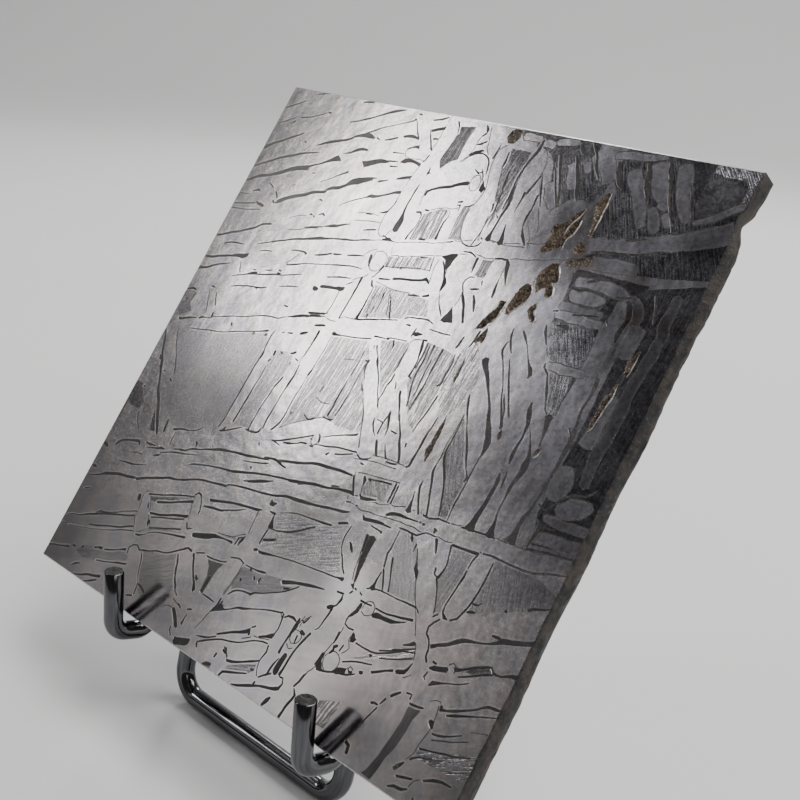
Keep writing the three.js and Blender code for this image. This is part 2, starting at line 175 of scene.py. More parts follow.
# Dark gaps between bands: x, y and width at each point, in millimetres on the slice's face
GAPS = [
    # In the upper left
    (-0.4, 65.6, 1.0, 0.6, 65.9, 0.6, 2, 66.8, 0.35, 4, 67.8, 0.35, 5.5, 68.6, 0.3, 6.8, 69.3, 0.05),
    (-0.3, 62.4, 0.35, 2, 63.5, 0.3, 4, 64.5, 0.3, 6, 65.3, 0.45, 7, 65.6, 0.4, 8.5, 66.2, 0.3,
     10, 66.6, 0.2, 11.5, 66.9, 0.05),
    (-0.2, 60.0, 0.2, 1, 60.6, 0.4, 2.2, 61.3, 0.5, 4, 61.8, 0.45, 5.5, 62.3, 0.5, 7, 63, 0.6,
     8.5, 63.7, 0.65, 10, 64.1, 0.75, 11, 64.3, 0.8),
    (10.9, 64.5, 0.25, 12.5, 65.2, 0.18, 13.5, 65.7, 0.3, 14.5, 66.2, 0.5, 15.3, 66.6, 0.95,
     15.8, 66.5, 0.5, 16.2, 66.4, 0.1),
    (8.2, 58.1, 0.2, 8.8, 58.5, 0.7, 10, 59.2, 0.6, 11.5, 59.9, 0.55, 13, 60.4, 0.5, 14.5, 61.1, 0.45,
     16.5, 61.5, 0.4),
    (16.2, 61.6, 0.2, 17, 62.2, 0.5, 18.5, 62.6, 0.5, 19.5, 63.2, 0.45, 20.3, 63.9, 0.8, 21.2, 64.2, 1.0,
     22.2, 64.5, 0.75, 23, 64.9, 0.35, 24.1, 65.2, 0.08),
    (10.2, 67.8, 0.05, 11.3, 68.3, 0.3, 12.3, 68.7, 0.4, 14, 69.2, 0.4, 15.5, 69.6, 0.3, 16.3, 70.1, 0.25),
    (16.3, 70.2, 0.25, 17.5, 70.6, 0.5, 19, 70.8, 0.65, 20, 70.6, 0.3),
    (16.8, 70.4, 0.08, 18.2, 71.1, 0.14, 19.4, 71.7, 0.2, 20.5, 72.3, 0.16, 22, 72.9, 0.1, 24, 73.7, 0.12,
     25.4, 74.3, 0.2),
    (16, 67.5, 0.08, 17.2, 67.9, 0.3, 18, 68.4, 0.5, 19, 68.7, 0.4, 20, 68.7, 0.25),
    (20.1, 67, 0.15, 20.9, 66.7, 0.95, 22, 67.2, 0.8, 23.5, 67.7, 0.6, 24.6, 67.8, 0.4),
    (14.1, 72.2, 0.15, 16, 72.8, 0.2, 17, 73.2, 0.3, 18.5, 73.8, 0.2, 20, 74.5, 0.3, 21.2, 75, 0.4,
     23, 75.5, 0.15),
    (18.1, 71.1, 0.1, 18.6, 71.3, 0.3, 18.9, 71.4, 0.1),
    (20.5, 70.8, 0.3, 21.2, 70.5, 0.1),
    (22, 70.7, 0.15, 23, 71, 0.3, 24, 71.4, 0.25),
    (24.9, 71.7, 0.3, 26.2, 72, 0.45, 27.2, 71.9, 0.3, 27.7, 71.7, 0.08),
    (9.1, 73.1, 0.08, 9.5, 73, 0.28, 9.9, 73, 0.08),
    (0, 69.8, 0.12, 1.5, 70.3, 0.2, 3.5, 71.2, 0.14),
    (4.3, 71.4, 0.1, 5.5, 71.6, 0.2, 6.5, 71.9, 0.2, 8, 72.4, 0.14, 9, 72.9, 0.06),
    (3, 70.2, 0.08, 3.6, 70.6, 0.25, 3.8, 70.8, 0.08),
    (0, 72.3, 0.3, 2, 73.2, 0.22, 4, 74.3, 0.06),
    (5.3, 75.4, 0.1, 6.5, 75.7, 0.2, 7.4, 75.9, 0.1),
    (14.6, 75.5, 0.1, 15.8, 75.7, 0.28, 16.7, 75.8, 0.2),
    (2.6, 58.9, 0.05, 3.2, 59.2, 0.3, 3.7, 59.4, 0.4, 4.3, 59.2, 0.05),
    (4.5, 57.6, 0.2, 5.4, 57.3, 0.4, 6.3, 57.2, 0.35),
    (0, 56.4, 0.18, 2, 56.8, 0.14, 4.4, 57.3, 0.2),
    (0, 55.7, 0.1, 3, 56, 0.1, 6, 56.6, 0.05),
    (7.2, 59.8, 0.1, 7.8, 59.3, 0.25, 8.2, 58.8, 0.1),
    (7.5, 58.4, 0.12, 7.9, 58.2, 0.3, 8, 57.9, 0.05),
    (0, 51.1, 0.3, 1.5, 51.6, 0.3, 3, 52.2, 0.35, 4.5, 52.7, 0.3, 6, 53.4, 0.3, 7.2, 54, 0.28,
     8, 54.6, 0.25, 9.7, 55, 0.2),
    (9, 51.7, 0.05, 10.5, 52.2, 0.15, 12, 52.8, 0.2, 13.5, 53.3, 0.2, 15, 53.8, 0.25, 17, 54.3, 0.3,
     18.5, 54.7, 0.4, 19.9, 55.1, 0.45, 20.6, 55.2, 0.28, 22, 55.5, 0.2, 24, 55.8, 0.28, 26, 56.2, 0.16,
     27.5, 56.6, 0.2, 29.2, 56.9, 0.06),
    (16, 55.9, 0.05, 17.5, 56.3, 0.15, 19.2, 56.7, 0.12),
    (19.4, 56.8, 0.15, 20.5, 57.1, 0.35, 21.5, 57.3, 0.38, 22.5, 57.7, 0.28, 23.7, 58.1, 0.1),
    (17.4, 58.2, 0.12, 18, 58.5, 0.3, 18.6, 58.2, 0.08),
    (15.7, 57.9, 0.1, 16, 57.9, 0.28, 16.3, 57.9, 0.1),
    (16.6, 57.8, 0.22, 16.9, 57.7, 0.12),
    (20.4, 52.6, 0.12, 21.5, 52.9, 0.25, 23.2, 53.5, 0.25),
    (23.5, 53.5, 0.22, 24.3, 53.6, 0.2, 25, 53.8, 0.06),
    (15.9, 52.3, 0.08, 17, 52.5, 0.15, 18.3, 52.6, 0.2, 18.9, 52.4, 0.25),
    (16.4, 50.2, 0.2, 18, 50.6, 0.2, 19.5, 51.1, 0.1, 22, 51.6, 0.1, 24.5, 52.1, 0.16, 26, 52.4, 0.2,
     28, 52.7, 0.14, 29.5, 52.7, 0.05),
    (2.6, 50.3, 0.1, 4, 50.8, 0.2, 5.5, 51, 0.15, 6.8, 51.1, 0.05),
    (10.2, 50.8, 0.1, 11.5, 51.2, 0.2, 12.6, 51.3, 0.08),
    (20, 60.1, 0.05, 21, 60.8, 0.1, 22.5, 61.6, 0.15, 23.8, 62.2, 0.16, 24.6, 62.6, 0.5, 25.2, 62.6, 0.42,
     27, 63.2, 0.25, 28.3, 63.8, 0.35, 29.2, 64, 0.5),
    (14.5, 62.7, 0.05, 16, 63.5, 0.1, 17.5, 64.5, 0.2, 18.6, 65.1, 0.28),
    (12.3, 63.7, 0.22, 12.8, 63.8, 0.1),
    (7.6, 68.1, 0.16, 8.1, 67.8, 0.06),
    (8.5, 66.6, 0.06, 8.6, 66.9, 0.1, 9, 67.4, 0.05),
    (24.6, 64.8, 0.3, 25.5, 65, 0.25, 26.2, 65.3, 0.08),
    (9.7, 61.2, 0.08, 10.2, 61.5, 0.2, 10.1, 60.9, 0.08),
    (0.3, 58.2, 0.06, 1.4, 58.2, 0.18, 2.4, 58.4, 0.05),
    (5, 60.8, 0.06, 6, 60.4, 0.15, 6.5, 60.1, 0.05),
    (16, 60.2, 0.05, 16.3, 60.3, 0.2, 16.8, 60.2, 0.05),
    # In the upper middle
    (26.5, 70.1, 0.05, 27.3, 70.5, 0.15, 28.2, 70.7, 0.5, 28.4, 70.4, 0.2),
    (24.5, 69.2, 0.2, 26.4, 69.4, 0.08),
    (26.6, 68.1, 0.2, 27.2, 68.4, 0.8, 28.3, 68.6, 0.45, 29.3, 68.5, 0.35, 30, 68.3, 0.5),
    (24.5, 67.9, 0.25, 26.2, 68.1, 0.08),
    (25.2, 67.2, 0.18, 26.5, 67.4, 0.06),
    (27.4, 65.7, 0.2, 28.3, 66, 0.35, 29.4, 66.3, 0.42, 29.7, 66.5, 0.2),
    (27.5, 60.6, 0.08, 28.2, 60.8, 0.25, 28.8, 61.1, 0.32),
    (29.2, 63.3, 0.06, 29.3, 62.7, 0.18, 29.1, 61.8, 0.14, 28.7, 61.1, 0.2),
    (25.4, 60.1, 0.14, 26.5, 60.1, 0.06),
    (26.4, 57.8, 0.15, 27.5, 58.1, 0.2, 28.4, 58.3, 0.15),
    (30.2, 57.2, 0.16, 30.9, 57.5, 0.3, 31.5, 57.6, 0.3),
    (25.9, 53.9, 0.15, 27.2, 54.2, 0.25, 28.7, 54.5, 0.12),
    (24.5, 50.3, 0.15, 26.5, 50.8, 0.15, 28.5, 51.1, 0.06),
    (31.6, 65.8, 0.08, 31.5, 65, 0.25, 31.4, 64, 0.2, 31.3, 62.5, 0.3, 31.4, 61.2, 0.42, 31.6, 60.4, 0.9,
     31.5, 59.4, 1.0, 31.5, 58.8, 0.85),
    (33.3, 64.4, 0.3, 33.4, 65, 0.42, 34, 65.4, 0.3, 34.8, 65.8, 0.38, 36.5, 66.3, 0.42, 37.5, 66.8, 0.42,
     38.3, 67.1, 0.5, 39, 67.3, 0.6),
    (31.9, 68.3, 0.08, 32, 67.6, 0.35, 31.9, 67.1, 0.12),
    (32, 67.4, 0.2, 32.5, 67.5, 0.05),
    (33.3, 62, 0.2, 34, 62.1, 0.32, 34.4, 61.7, 0.16, 34.4, 60.2, 0.1, 34, 59, 0.22, 33.8, 58.1, 0.3),
    (34.5, 62.6, 0.2, 35.2, 62.6, 0.2),
    (38.4, 63.3, 0.05, 38.6, 62.3, 0.15, 38.3, 61.5, 0.22, 38.3, 60, 0.3, 38.4, 59.2, 0.55),
    (35.8, 58.6, 0.15, 36.3, 58.7, 0.25, 36.9, 58.7, 0.2),
    (38.9, 64.6, 0.15, 39.6, 64.8, 0.2),
    (39, 64.2, 0.15, 39.5, 64.3, 0.25, 39.6, 63.5, 0.08),
    (41.4, 64.8, 0.1, 41, 64.4, 0.2, 40.2, 64.2, 0.08),
    (41.1, 68, 0.12, 41.2, 67.4, 0.55, 41.5, 66.9, 0.95, 41.6, 66.6, 0.3),
    (39.9, 69.6, 0.05, 40.5, 68.8, 0.2, 40.9, 68.1, 0.15),
    (40.7, 71.2, 0.2, 40.8, 72, 0.22, 40.9, 73.4, 0.08),
    (36.9, 71, 0.15, 37.6, 71.5, 0.55, 38.3, 71.8, 0.4, 38.8, 72, 0.2),
    (37.2, 72.6, 0.15, 38, 72.9, 0.32, 38.6, 73.3, 0.2),
    (37.2, 73.2, 0.08, 37.4, 73.8, 0.14, 37.9, 74.4, 0.3),
    (37.3, 75.5, 0.12, 37.7, 75, 0.35, 37.9, 74.6, 0.3),
    (28.4, 74.8, 0.2, 30, 75.2, 0.3, 30.8, 75.6, 0.1),
    (29.1, 73.3, 0.42, 29.8, 73.6, 0.45, 31, 74, 0.45),
    (30, 72.2, 0.3, 30.7, 72.3, 0.2),
    (25.6, 75.3, 0.3, 26.1, 75.3, 0.2),
    (25.3, 74.5, 0.3, 25.7, 74.3, 0.1),
    (25.8, 74.2, 0.08, 27, 72.5, 0.12, 27.6, 71.9, 0.1),
    (28.8, 73.4, 0.08, 29.5, 72.2, 0.12, 30.4, 70.9, 0.16),
    (30.3, 70.9, 0.3, 30.7, 70.6, 0.2),
    (30.7, 69.9, 0.18, 30.5, 69.2, 0.22, 30.2, 68.7, 0.1),
    (32.6, 75.3, 0.18, 33.1, 74.6, 0.14, 33.4, 73.6, 0.1),
    (36.3, 69.9, 0.06, 37.2, 71, 0.1, 38.8, 71.6, 0.12, 40.2, 71, 0.14, 40.7, 70, 0.16, 40.9, 69, 0.1),
    (39, 69.3, 0.06, 39.8, 68.9, 0.18, 40.3, 69.3, 0.06),
    (42.7, 72.5, 0.15, 42.8, 71, 0.32, 42.7, 70.1, 0.08),
    (44.1, 70, 0.2, 44.3, 68.5, 0.5, 44.4, 67.5, 0.2),
    (46.8, 74.9, 0.3, 46.7, 73.5, 0.5, 46.2, 71.8, 0.32, 45.8, 70, 0.16, 45.8, 68.6, 0.2, 46, 67.4, 0.5,
     45.9, 66, 0.2, 45.9, 65, 0.08),
    (46.2, 67.2, 0.08, 46.4, 65.8, 0.5, 46.2, 64.5, 0.32, 46.1, 63, 0.2, 46, 61.7, 0.35, 46, 60.8, 0.95),
    (47.8, 67.8, 0.25, 47.8, 66.5, 0.15, 47.7, 65, 0.08),
    (47.4, 63.3, 0.08, 47.7, 62.2, 0.3, 47.9, 61.4, 0.55, 47.9, 60.7, 0.9),
    (44.4, 63.8, 0.08, 44.5, 62, 0.1, 44.2, 60.4, 0.12, 44, 59.5, 0.08),
    (42.6, 59.6, 0.08, 43.8, 59.4, 0.1, 45, 59.8, 0.14, 45.3, 60.3, 0.1),
    (44.9, 60.9, 0.2, 45.3, 60.6, 0.1),
    (44.2, 65.5, 0.16, 44.4, 64.9, 0.12, 44.4, 64.3, 0.05),
    (44.6, 67.4, 0.08, 44.7, 66, 0.12, 44.9, 64.6, 0.06),
    (45.4, 64.2, 0.08, 45.8, 63.8, 0.2),
    (50, 63.4, 0.08, 50.5, 62.4, 0.42, 51.4, 61.3, 0.2, 51.2, 61.2, 0.08),
    (48.9, 70.6, 0.08, 49.4, 69.5, 0.2, 49.9, 68.3, 0.3, 50.8, 66.5, 0.16),
    (48.9, 70.2, 0.08, 48.5, 68.8, 0.12, 48.2, 67.6, 0.08),
    (49.8, 67.8, 0.2, 49.9, 66, 0.2, 49.8, 64.6, 0.28, 49.9, 63.4, 0.1),
    (40.7, 57.2, 0.12, 41.6, 57.4, 0.5, 42.3, 57.4, 1.1, 42.8, 58, 0.3),
    (41.2, 56.7, 0.15, 42, 55.8, 0.3, 42.5, 54.9, 0.3, 43, 54.1, 0.6, 43, 53.2, 0.25, 42.9, 52.8, 0.05),
    (43.1, 52.7, 0.05, 43.7, 51.6, 0.12, 44.4, 50.7, 0.2, 45, 50, 0.1),
    (46, 58.3, 0.32, 46, 57, 0.3, 46.1, 56.3, 0.06),
    (46.9, 55.9, 0.1, 46.2, 55.8, 0.16, 45.8, 55.3, 0.2, 45.7, 54.7, 0.2, 46.1, 54, 0.18, 46.4, 53.7, 0.08),
    (47, 54.3, 0.08, 47.8, 54.5, 0.3, 48.3, 54.6, 0.12),
    (48.2, 55.7, 0.14, 48.4, 55.2, 0.08),
    (46.2, 53.7, 0.2, 46.8, 52.9, 0.42, 47.3, 52.2, 0.32, 47.8, 51.2, 0.38, 48.4, 50.1, 0.3),
    (48, 53.7, 0.2, 48.6, 52.8, 0.35, 49.1, 51.8, 0.15),
    (50.1, 59.1, 0.2, 50.5, 58.5, 0.6, 50.9, 57.3, 0.42, 51.5, 56, 0.1),
    (50.3, 56.6, 0.08, 50.5, 55, 0.35, 50.6, 54.1, 0.2),
    (43.4, 58.6, 0.08, 44.6, 58.7, 0.2, 45.6, 58.3, 0.1),
    (48.4, 58.8, 0.08, 49.2, 59, 0.16, 50, 59, 0.1),
    (45.9, 51.6, 0.08, 45.9, 50.8, 0.4, 45.8, 49.9, 1.1, 45.8, 49.6, 1.3),
    (29.8, 54.9, 0.4, 30, 54, 0.5, 30.3, 53.3, 0.2),
    (32.7, 53.9, 0.3, 32.4, 53.1, 0.25, 32, 52.3, 0.15, 31.7, 52.1, 0.08),
    (32.9, 52.2, 0.2, 34.7, 52.5, 0.15),
    (35.1, 52.7, 0.3, 36.5, 53, 0.25, 38, 53.3, 0.25, 39.4, 53.6, 0.3, 40.1, 53.9, 0.5, 40.9, 53.4, 0.08),
    (38.7, 51.3, 0.1, 39.5, 51.5, 0.18, 40.4, 51.6, 0.06),
    (40.8, 51.7, 0.2, 41.7, 52, 0.4),
    (30.2, 51.7, 0.4, 30.2, 50.4, 0.28),
    (32, 51.7, 0.25, 32.3, 51.1, 0.3, 32.7, 50.9, 0.08),
    (35.3, 54.4, 0.1, 35.5, 54.2, 0.3),
    (37.6, 56.4, 0.12, 38.7, 56.6, 0.08),
    (30, 57.8, 0.1, 32, 57.4, 0.06),
    (39.6, 57, 0.06, 39.8, 55.8, 0.14, 40, 55, 0.06),
    (40.2, 59.2, 0.05, 40.8, 59.3, 0.14, 41.2, 59.5, 0.05),
    # In the middle left
    (-0.3, 47.7, 0.3, 1.5, 47.9, 0.35, 3, 48.3, 0.35, 5, 48.9, 0.3, 6.5, 49.3, 0.45, 7.6, 49.4, 0.75,
     8.3, 49.8, 0.5, 8.5, 50.1, 0.08),
    (-0.4, 45.5, 0.9, 0.5, 45.9, 0.5, 1.5, 46.1, 0.3, 3, 46.8, 0.25, 4.5, 47.4, 0.2, 6, 47.9, 0.05),
    (7.5, 46.2, 0.05, 8.5, 46.6, 0.15, 10, 47.1, 0.16, 11, 47.5, 0.4, 11.9, 47.7, 0.42, 12, 47.6, 0.15),
    (12, 47.6, 0.15, 13.5, 47.9, 0.16, 15, 48.3, 0.2, 16.2, 48.5, 0.14, 18, 49, 0.12, 20, 49.6, 0.05),
    (13, 48.5, 0.1, 14, 48.7, 0.2, 14.3, 48.9, 0.06),
    (15.5, 48.7, 0.12, 16.2, 48.7, 0.12),
    (15.6, 49.1, 0.3, 16.1, 49.1, 0.2),
    (10.8, 48.1, 0.14, 11.4, 48.1, 0.08),
    (7.8, 48.6, 0.06, 8.4, 47.4, 0.12, 8.7, 47.1, 0.05),
    (23.1, 48.4, 0.5, 23.7, 48.3, 0.6, 24, 48.3, 0.25),
    (24.2, 48.8, 0.35, 25.3, 49, 0.4, 26.5, 49.2, 0.35, 27.2, 49.3, 0.4, 28, 49.5, 0.3, 28.3, 49.7, 0.1),
    (8.4, 44.8, 0.05, 10, 45.3, 0.12, 12, 45.7, 0.12, 14, 46, 0.16, 15, 46.3, 0.06),
    (13, 45.8, 0.14, 13.4, 45.6, 0.08),
    (17, 47, 0.06, 19, 47.5, 0.1, 20.5, 47.8, 0.05),
    (-0.3, 42.2, 0.35, 0.5, 42.4, 0.25, 1.2, 42.7, 0.35, 2.1, 42.6, 0.2),
    (4.7, 43.9, 0.08, 5.1, 43.9, 0.18, 5.6, 43.9, 0.05),
    (4.6, 43.6, 0.05, 5.2, 42.4, 0.1, 5.9, 40.9, 0.2, 6.3, 40, 0.1),
    (6.3, 43.2, 0.05, 6.9, 42.2, 0.12, 7.4, 41.4, 0.1),
    (7.6, 40.5, 0.1, 7.8, 40.1, 0.35, 7.8, 39.8, 0.25),
    (1.6, 38, 0.3, 2.2, 38, 0.35, 3.3, 38.4, 0.3, 4.9, 38.9, 0.2),
    (5.5, 39, 0.2, 6, 39.3, 0.3, 6.8, 39.4, 0.12, 8, 39.7, 0.12),
    (4.3, 37.1, 0.05, 6.5, 37.5, 0.12, 9, 38, 0.1, 11, 38.3, 0.08, 13.5, 39.1, 0.12, 16, 39.8, 0.1,
     18, 40.4, 0.14, 19.4, 40.8, 0.3),
    (8, 39.9, 0.06, 9.7, 40.3, 0.1, 10.3, 40.5, 0.2, 11.5, 40.9, 0.1, 14, 41.5, 0.12, 16, 42.2, 0.12,
     18.2, 42.7, 0.14, 20, 42.9, 0.14, 21.2, 43.5, 0.1),
    (12, 40.1, 0.12, 12.3, 39.8, 0.3, 12.5, 39.6, 0.08),
    (16.9, 39.6, 0.2, 17.1, 39.9, 0.4),
    (19.2, 40.1, 0.4, 19.4, 40.4, 0.2),
    (19.8, 44.8, 0.12, 20.5, 44.8, 0.14),
    (21.4, 43.5, 0.08, 22.3, 43.8, 0.22, 23.5, 44.3, 0.35, 24.8, 44.6, 0.28, 26, 45, 0.2, 27.5, 45.2, 0.06),
    (21.8, 41.3, 0.1, 22.2, 41.4, 0.28),
    (22.8, 41.5, 0.15, 23.7, 41.7, 0.28),
    (25, 42, 0.35, 25.7, 42.3, 0.4, 26.1, 42.5, 0.2),
    (22.4, 38.7, 0.28, 22.5, 38.1, 0.3),
    (23.3, 38.9, 0.1, 23.8, 38.7, 0.22),
    (25.1, 39.1, 0.2, 25.7, 39.4, 0.32, 26, 39.6, 0.1),
    (22, 37, 0.1, 22.3, 37.4, 0.25),
    (25.8, 38, 0.25, 25.9, 37.6, 0.1),
    (20.6, 41.4, 0.06, 20.3, 40.5, 0.14, 20.3, 39, 0.16, 20.4, 37.5, 0.12, 20.2, 35.5, 0.18,
     20.1, 33.7, 0.18, 20, 31.5, 0.14, 19.9, 29, 0.14, 19.8, 27.5, 0.14, 19.5, 26.5, 0.2),
    (20.3, 38.5, 0.05, 20.6, 37.9, 0.15, 20.5, 37, 0.05),
    (22.1, 36.5, 0.05, 22.1, 34.5, 0.12, 21.9, 33, 0.22, 21.8, 31.4, 0.24, 21.7, 29.8, 0.2,
     21.6, 28.7, 0.28, 21.5, 27.9, 0.25),
    (25.9, 35.6, 0.1, 25.3, 34.2, 0.2, 25.1, 32.7, 0.14, 24.8, 31, 0.16, 24.7, 29, 0.16, 24.7, 27.9, 0.16),
    (-0.1, 36.2, 0.12, 0.7, 35.2, 0.3, 1.4, 33.9, 0.3, 2.1, 32.5, 0.3, 2.9, 31.4, 0.42, 3.3, 30.6, 0.5,
     4, 29.6, 0.32, 4.6, 28.5, 0.38, 5.4, 27.2, 0.42, 6.2, 26.3, 0.5, 7, 25.2, 0.6, 7.7, 24.2, 0.5,
     8.6, 23, 0.5, 9.3, 22, 0.3),
    (1.9, 32.1, 0.1, 2.2, 31.7, 0.45, 2.5, 31.5, 0.1),
    (2.7, 36.6, 0.06, 3.3, 35.4, 0.14, 4.4, 33.7, 0.14, 5.3, 32.5, 0.22, 6.1, 31.3, 0.2, 6.5, 30.5, 0.1),
    (6.3, 29.6, 0.22, 6.8, 29.3, 0.1),
    (4.2, 30.3, 0.1, 4.6, 30.3, 0.22),
    (1.9, 27.1, 0.2, 2.3, 27.2, 0.25),
    (20, 26.1, 0.14, 20.5, 26.3, 0.35, 21, 26.5, 0.2, 22, 27, 0.16, 23.5, 27.8, 0.1),
    (20.6, 26.4, 0.3, 20.8, 26.9, 0.18),
    (24.2, 27.8, 0.1, 25.4, 27.8, 0.18, 26.4, 28, 0.12),
    (0.2, 24.6, 0.06, 0.5, 23, 0.12, 0.3, 21.6, 0.1),
    # In the middle
    (27.1, 49.4, 0.5, 27.7, 49.3, 0.55, 28.2, 49.5, 0.5),
    (28.3, 50.1, 0.1, 28.8, 50.5, 0.2, 29.2, 50.8, 0.06),
    (30.2, 50.4, 0.28, 30.1, 48.8, 0.28, 30, 47.2, 0.22, 29.9, 45.6, 0.3),
    (27.7, 49, 0.05, 27.7, 47.2, 0.1, 27.5, 45.6, 0.12),
    (24.5, 45, 0.3, 26, 45.3, 0.25, 27.3, 45.6, 0.3),
    (24.5, 44.4, 0.35, 25.5, 44.7, 0.15, 27, 45, 0.06),
    (26.6, 43.7, 0.2, 27.4, 43.9, 0.3, 28.3, 44.1, 0.3),
    (30.2, 43.5, 0.5, 30.9, 43.5, 0.25, 32, 43.7, 0.08),
    (32, 43.7, 0.06, 34, 44, 0.1, 35.5, 44.3, 0.14, 36.5, 44.6, 0.14),
    (36.8, 45, 0.2, 37.5, 45.1, 0.12, 39, 45.2, 0.05),
    (27.9, 43.2, 0.35, 27.8, 42.2, 0.3, 27.7, 40.9, 0.12, 27.6, 39.5, 0.06),
    (30.2, 43, 0.05, 30.2, 41, 0.1, 30, 39, 0.12, 29.9, 38, 0.3, 29.7, 37.3, 0.35),
    (29.7, 36.8, 0.05, 29.6, 35.5, 0.12, 29.4, 33.5, 0.16, 29.4, 31.8, 0.14, 29.2, 30.5, 0.22,
     28.6, 29.4, 0.3, 28.3, 29.1, 0.15),
    (27.5, 38.2, 0.12, 27.6, 36.6, 0.25, 27.4, 35.5, 0.3, 27.2, 34, 0.12, 27, 31.8, 0.14,
     26.9, 30.1, 0.25, 27, 28.9, 0.25),
    (26.1, 27.8, 0.1, 26.6, 28.3, 0.3, 26.7, 28.8, 0.12),
    (25.9, 35.9, 0.22, 25.7, 35.4, 0.2, 25.3, 34.3, 0.22),
    (26.3, 38.7, 0.1, 26.9, 38.6, 0.14),
    (32.8, 50.9, 0.1, 32.8, 49.5, 0.2, 32.8, 48.2, 0.25, 32.7, 47, 0.35, 32.6, 46.4, 0.42),
    (32.3, 46.2, 0.12, 33.5, 46.4, 0.12, 34.3, 46.7, 0.12, 35.5, 47, 0.12, 37, 47.4, 0.08, 39, 47.9, 0.06),
    (34, 47.4, 0.15, 34.1, 46.9, 0.2),
    (34.9, 50.6, 0.12, 35, 50, 0.18),
    (36.2, 50.5, 0.06, 37, 49, 0.12, 37.7, 47.7, 0.1),
    (40, 48.7, 0.12, 40, 48.4, 0.28, 40.6, 48.7, 0.12, 42, 48.9, 0.14, 43.4, 49.1, 0.14, 44.5, 48.8, 0.06),
    (40.6, 47.7, 0.14, 41.3, 47.7, 0.28),
    (42.4, 47.7, 0.1, 42.3, 46.9, 0.25, 42.2, 46.4, 0.1),
    (42.5, 46.9, 0.5, 42.9, 47, 0.6, 43.7, 47.2, 0.12),
    (38.9, 45.2, 0.3, 39.4, 45.5, 0.1, 42, 45.8, 0.08),
    (40, 45.3, 0.3, 40.3, 44.8, 0.2, 40.4, 44.3, 0.06),
    (42.5, 45.5, 0.05, 42.6, 44.5, 0.16, 42.5, 43.5, 0.2, 42.5, 42.6, 0.2, 42.4, 41.8, 0.08),
    (42.6, 41.5, 0.14, 42.6, 40.6, 0.2, 42.3, 39.8, 0.16, 42.3, 38.8, 0.2, 42.2, 37.9, 0.16, 42.5, 37, 0.1),
    (44.2, 46.5, 0.25, 44.5, 45.7, 0.42, 44.7, 44.8, 0.25, 44.9, 44, 0.14, 44.9, 42.9, 0.16,
     44.8, 42, 0.32, 44.7, 41.7, 0.1),
    (44.1, 46.6, 0.14, 44.8, 46.6, 0.3),
    (44.9, 41.8, 0.2, 45.3, 41.6, 0.08),
    (45.1, 46.5, 0.06, 45.2, 45, 0.12, 45.1, 43, 0.08),
    (45.6, 46, 0.06, 45.7, 44, 0.16, 45.6, 42.2, 0.12, 45.9, 40.7, 0.12, 46.3, 39.5, 0.12,
     46.6, 38.4, 0.14),
    (46.2, 46.4, 0.28, 46.2, 45.8, 0.12, 46.3, 44, 0.06),
    (46.8, 44.5, 0.06, 46.7, 42.6, 0.12, 46.8, 41, 0.16, 46.8, 39.8, 0.06),
    (47.6, 46.3, 0.3, 47.6, 45, 0.14, 47.5, 43, 0.14, 47.5, 41, 0.12, 47.3, 39.4, 0.16, 47.2, 38.1, 0.1),
    (49.6, 46.2, 0.08, 49.8, 44.9, 0.16, 49.7, 43.6, 0.2, 49.7, 42.4, 0.25, 49.5, 42, 0.08),
    (49.3, 42, 0.28, 49.4, 41.9, 0.1),
    (50.1, 40.9, 0.2, 49.9, 39.5, 0.16, 49.6, 38, 0.16, 49.3, 36.8, 0.14, 49.2, 35.8, 0.12),
    (49.1, 34.3, 0.3, 49.2, 33.9, 0.2),
    (49.6, 48.6, 0.1, 49.5, 47.9, 0.35, 49.4, 47.3, 0.3, 49.2, 46.9, 0.1),
    (44.3, 48.1, 0.06, 46, 48.1, 0.12, 47.6, 48.2, 0.08),
    (37.9, 44, 0.25, 38.3, 43.4, 0.16, 38.9, 42.8, 0.12, 39.2, 42.2, 0.4, 39.7, 41.5, 0.2,
     40.4, 40.6, 0.16, 41, 39.6, 0.14, 41.7, 38.4, 0.14, 42.4, 37.4, 0.16, 42.8, 36.8, 0.06),
    (37.5, 43.9, 0.2, 37.7, 43.5, 0.08),
    (37.9, 42, 0.28, 37.8, 41.3, 0.2, 38, 40.5, 0.16, 38.6, 39.5, 0.06),
    (37.4, 41.7, 0.12, 37.7, 41.8, 0.08),
    (38.5, 39, 0.06, 39.1, 38.3, 0.3, 39.3, 38, 0.08),
    (39.8, 37.3, 0.06, 40.8, 36, 0.14, 41.4, 34.8, 0.2, 42, 33.5, 0.1, 42.9, 31.6, 0.14),
    (43.4, 40.6, 0.15, 43.7, 40.1, 0.25, 43.8, 39.7, 0.08),
    (44.7, 39.8, 0.3, 44.9, 39.2, 0.3, 45.5, 38.2, 0.28, 46, 37.3, 0.14, 46.5, 36.4, 0.1),
    (44.7, 37.2, 0.1, 44.8, 36.6, 0.42, 45.2, 35.8, 0.38, 45.6, 35, 0.2, 45.7, 34.2, 0.06),
    (44.7, 36.4, 0.2, 44.5, 35.2, 0.16, 44.5, 34, 0.2),
    (44.9, 33.3, 0.3, 45.4, 32.4, 0.38, 45.8, 31.7, 0.35),
    (45.8, 31.6, 0.25, 46.3, 31.6, 0.08),
    (46.3, 33.3, 0.08, 46.9, 32.4, 0.2, 47.4, 31.7, 0.3),
    (46.2, 35, 0.12, 47.2, 34.9, 0.08),
    (43, 35.6, 0.14, 43.2, 34.9, 0.25, 43.7, 34.2, 0.2, 44.3, 33.7, 0.06),
    (43.5, 35.6, 0.06, 44.4, 35.5, 0.1),
    (47.8, 34.8, 0.3, 48.3, 33.9, 0.35, 48.9, 32.9, 0.38, 49.4, 31.8, 0.25),
    (47.6, 31.4, 0.12, 48.5, 31.4, 0.16, 49.3, 31.6, 0.1),
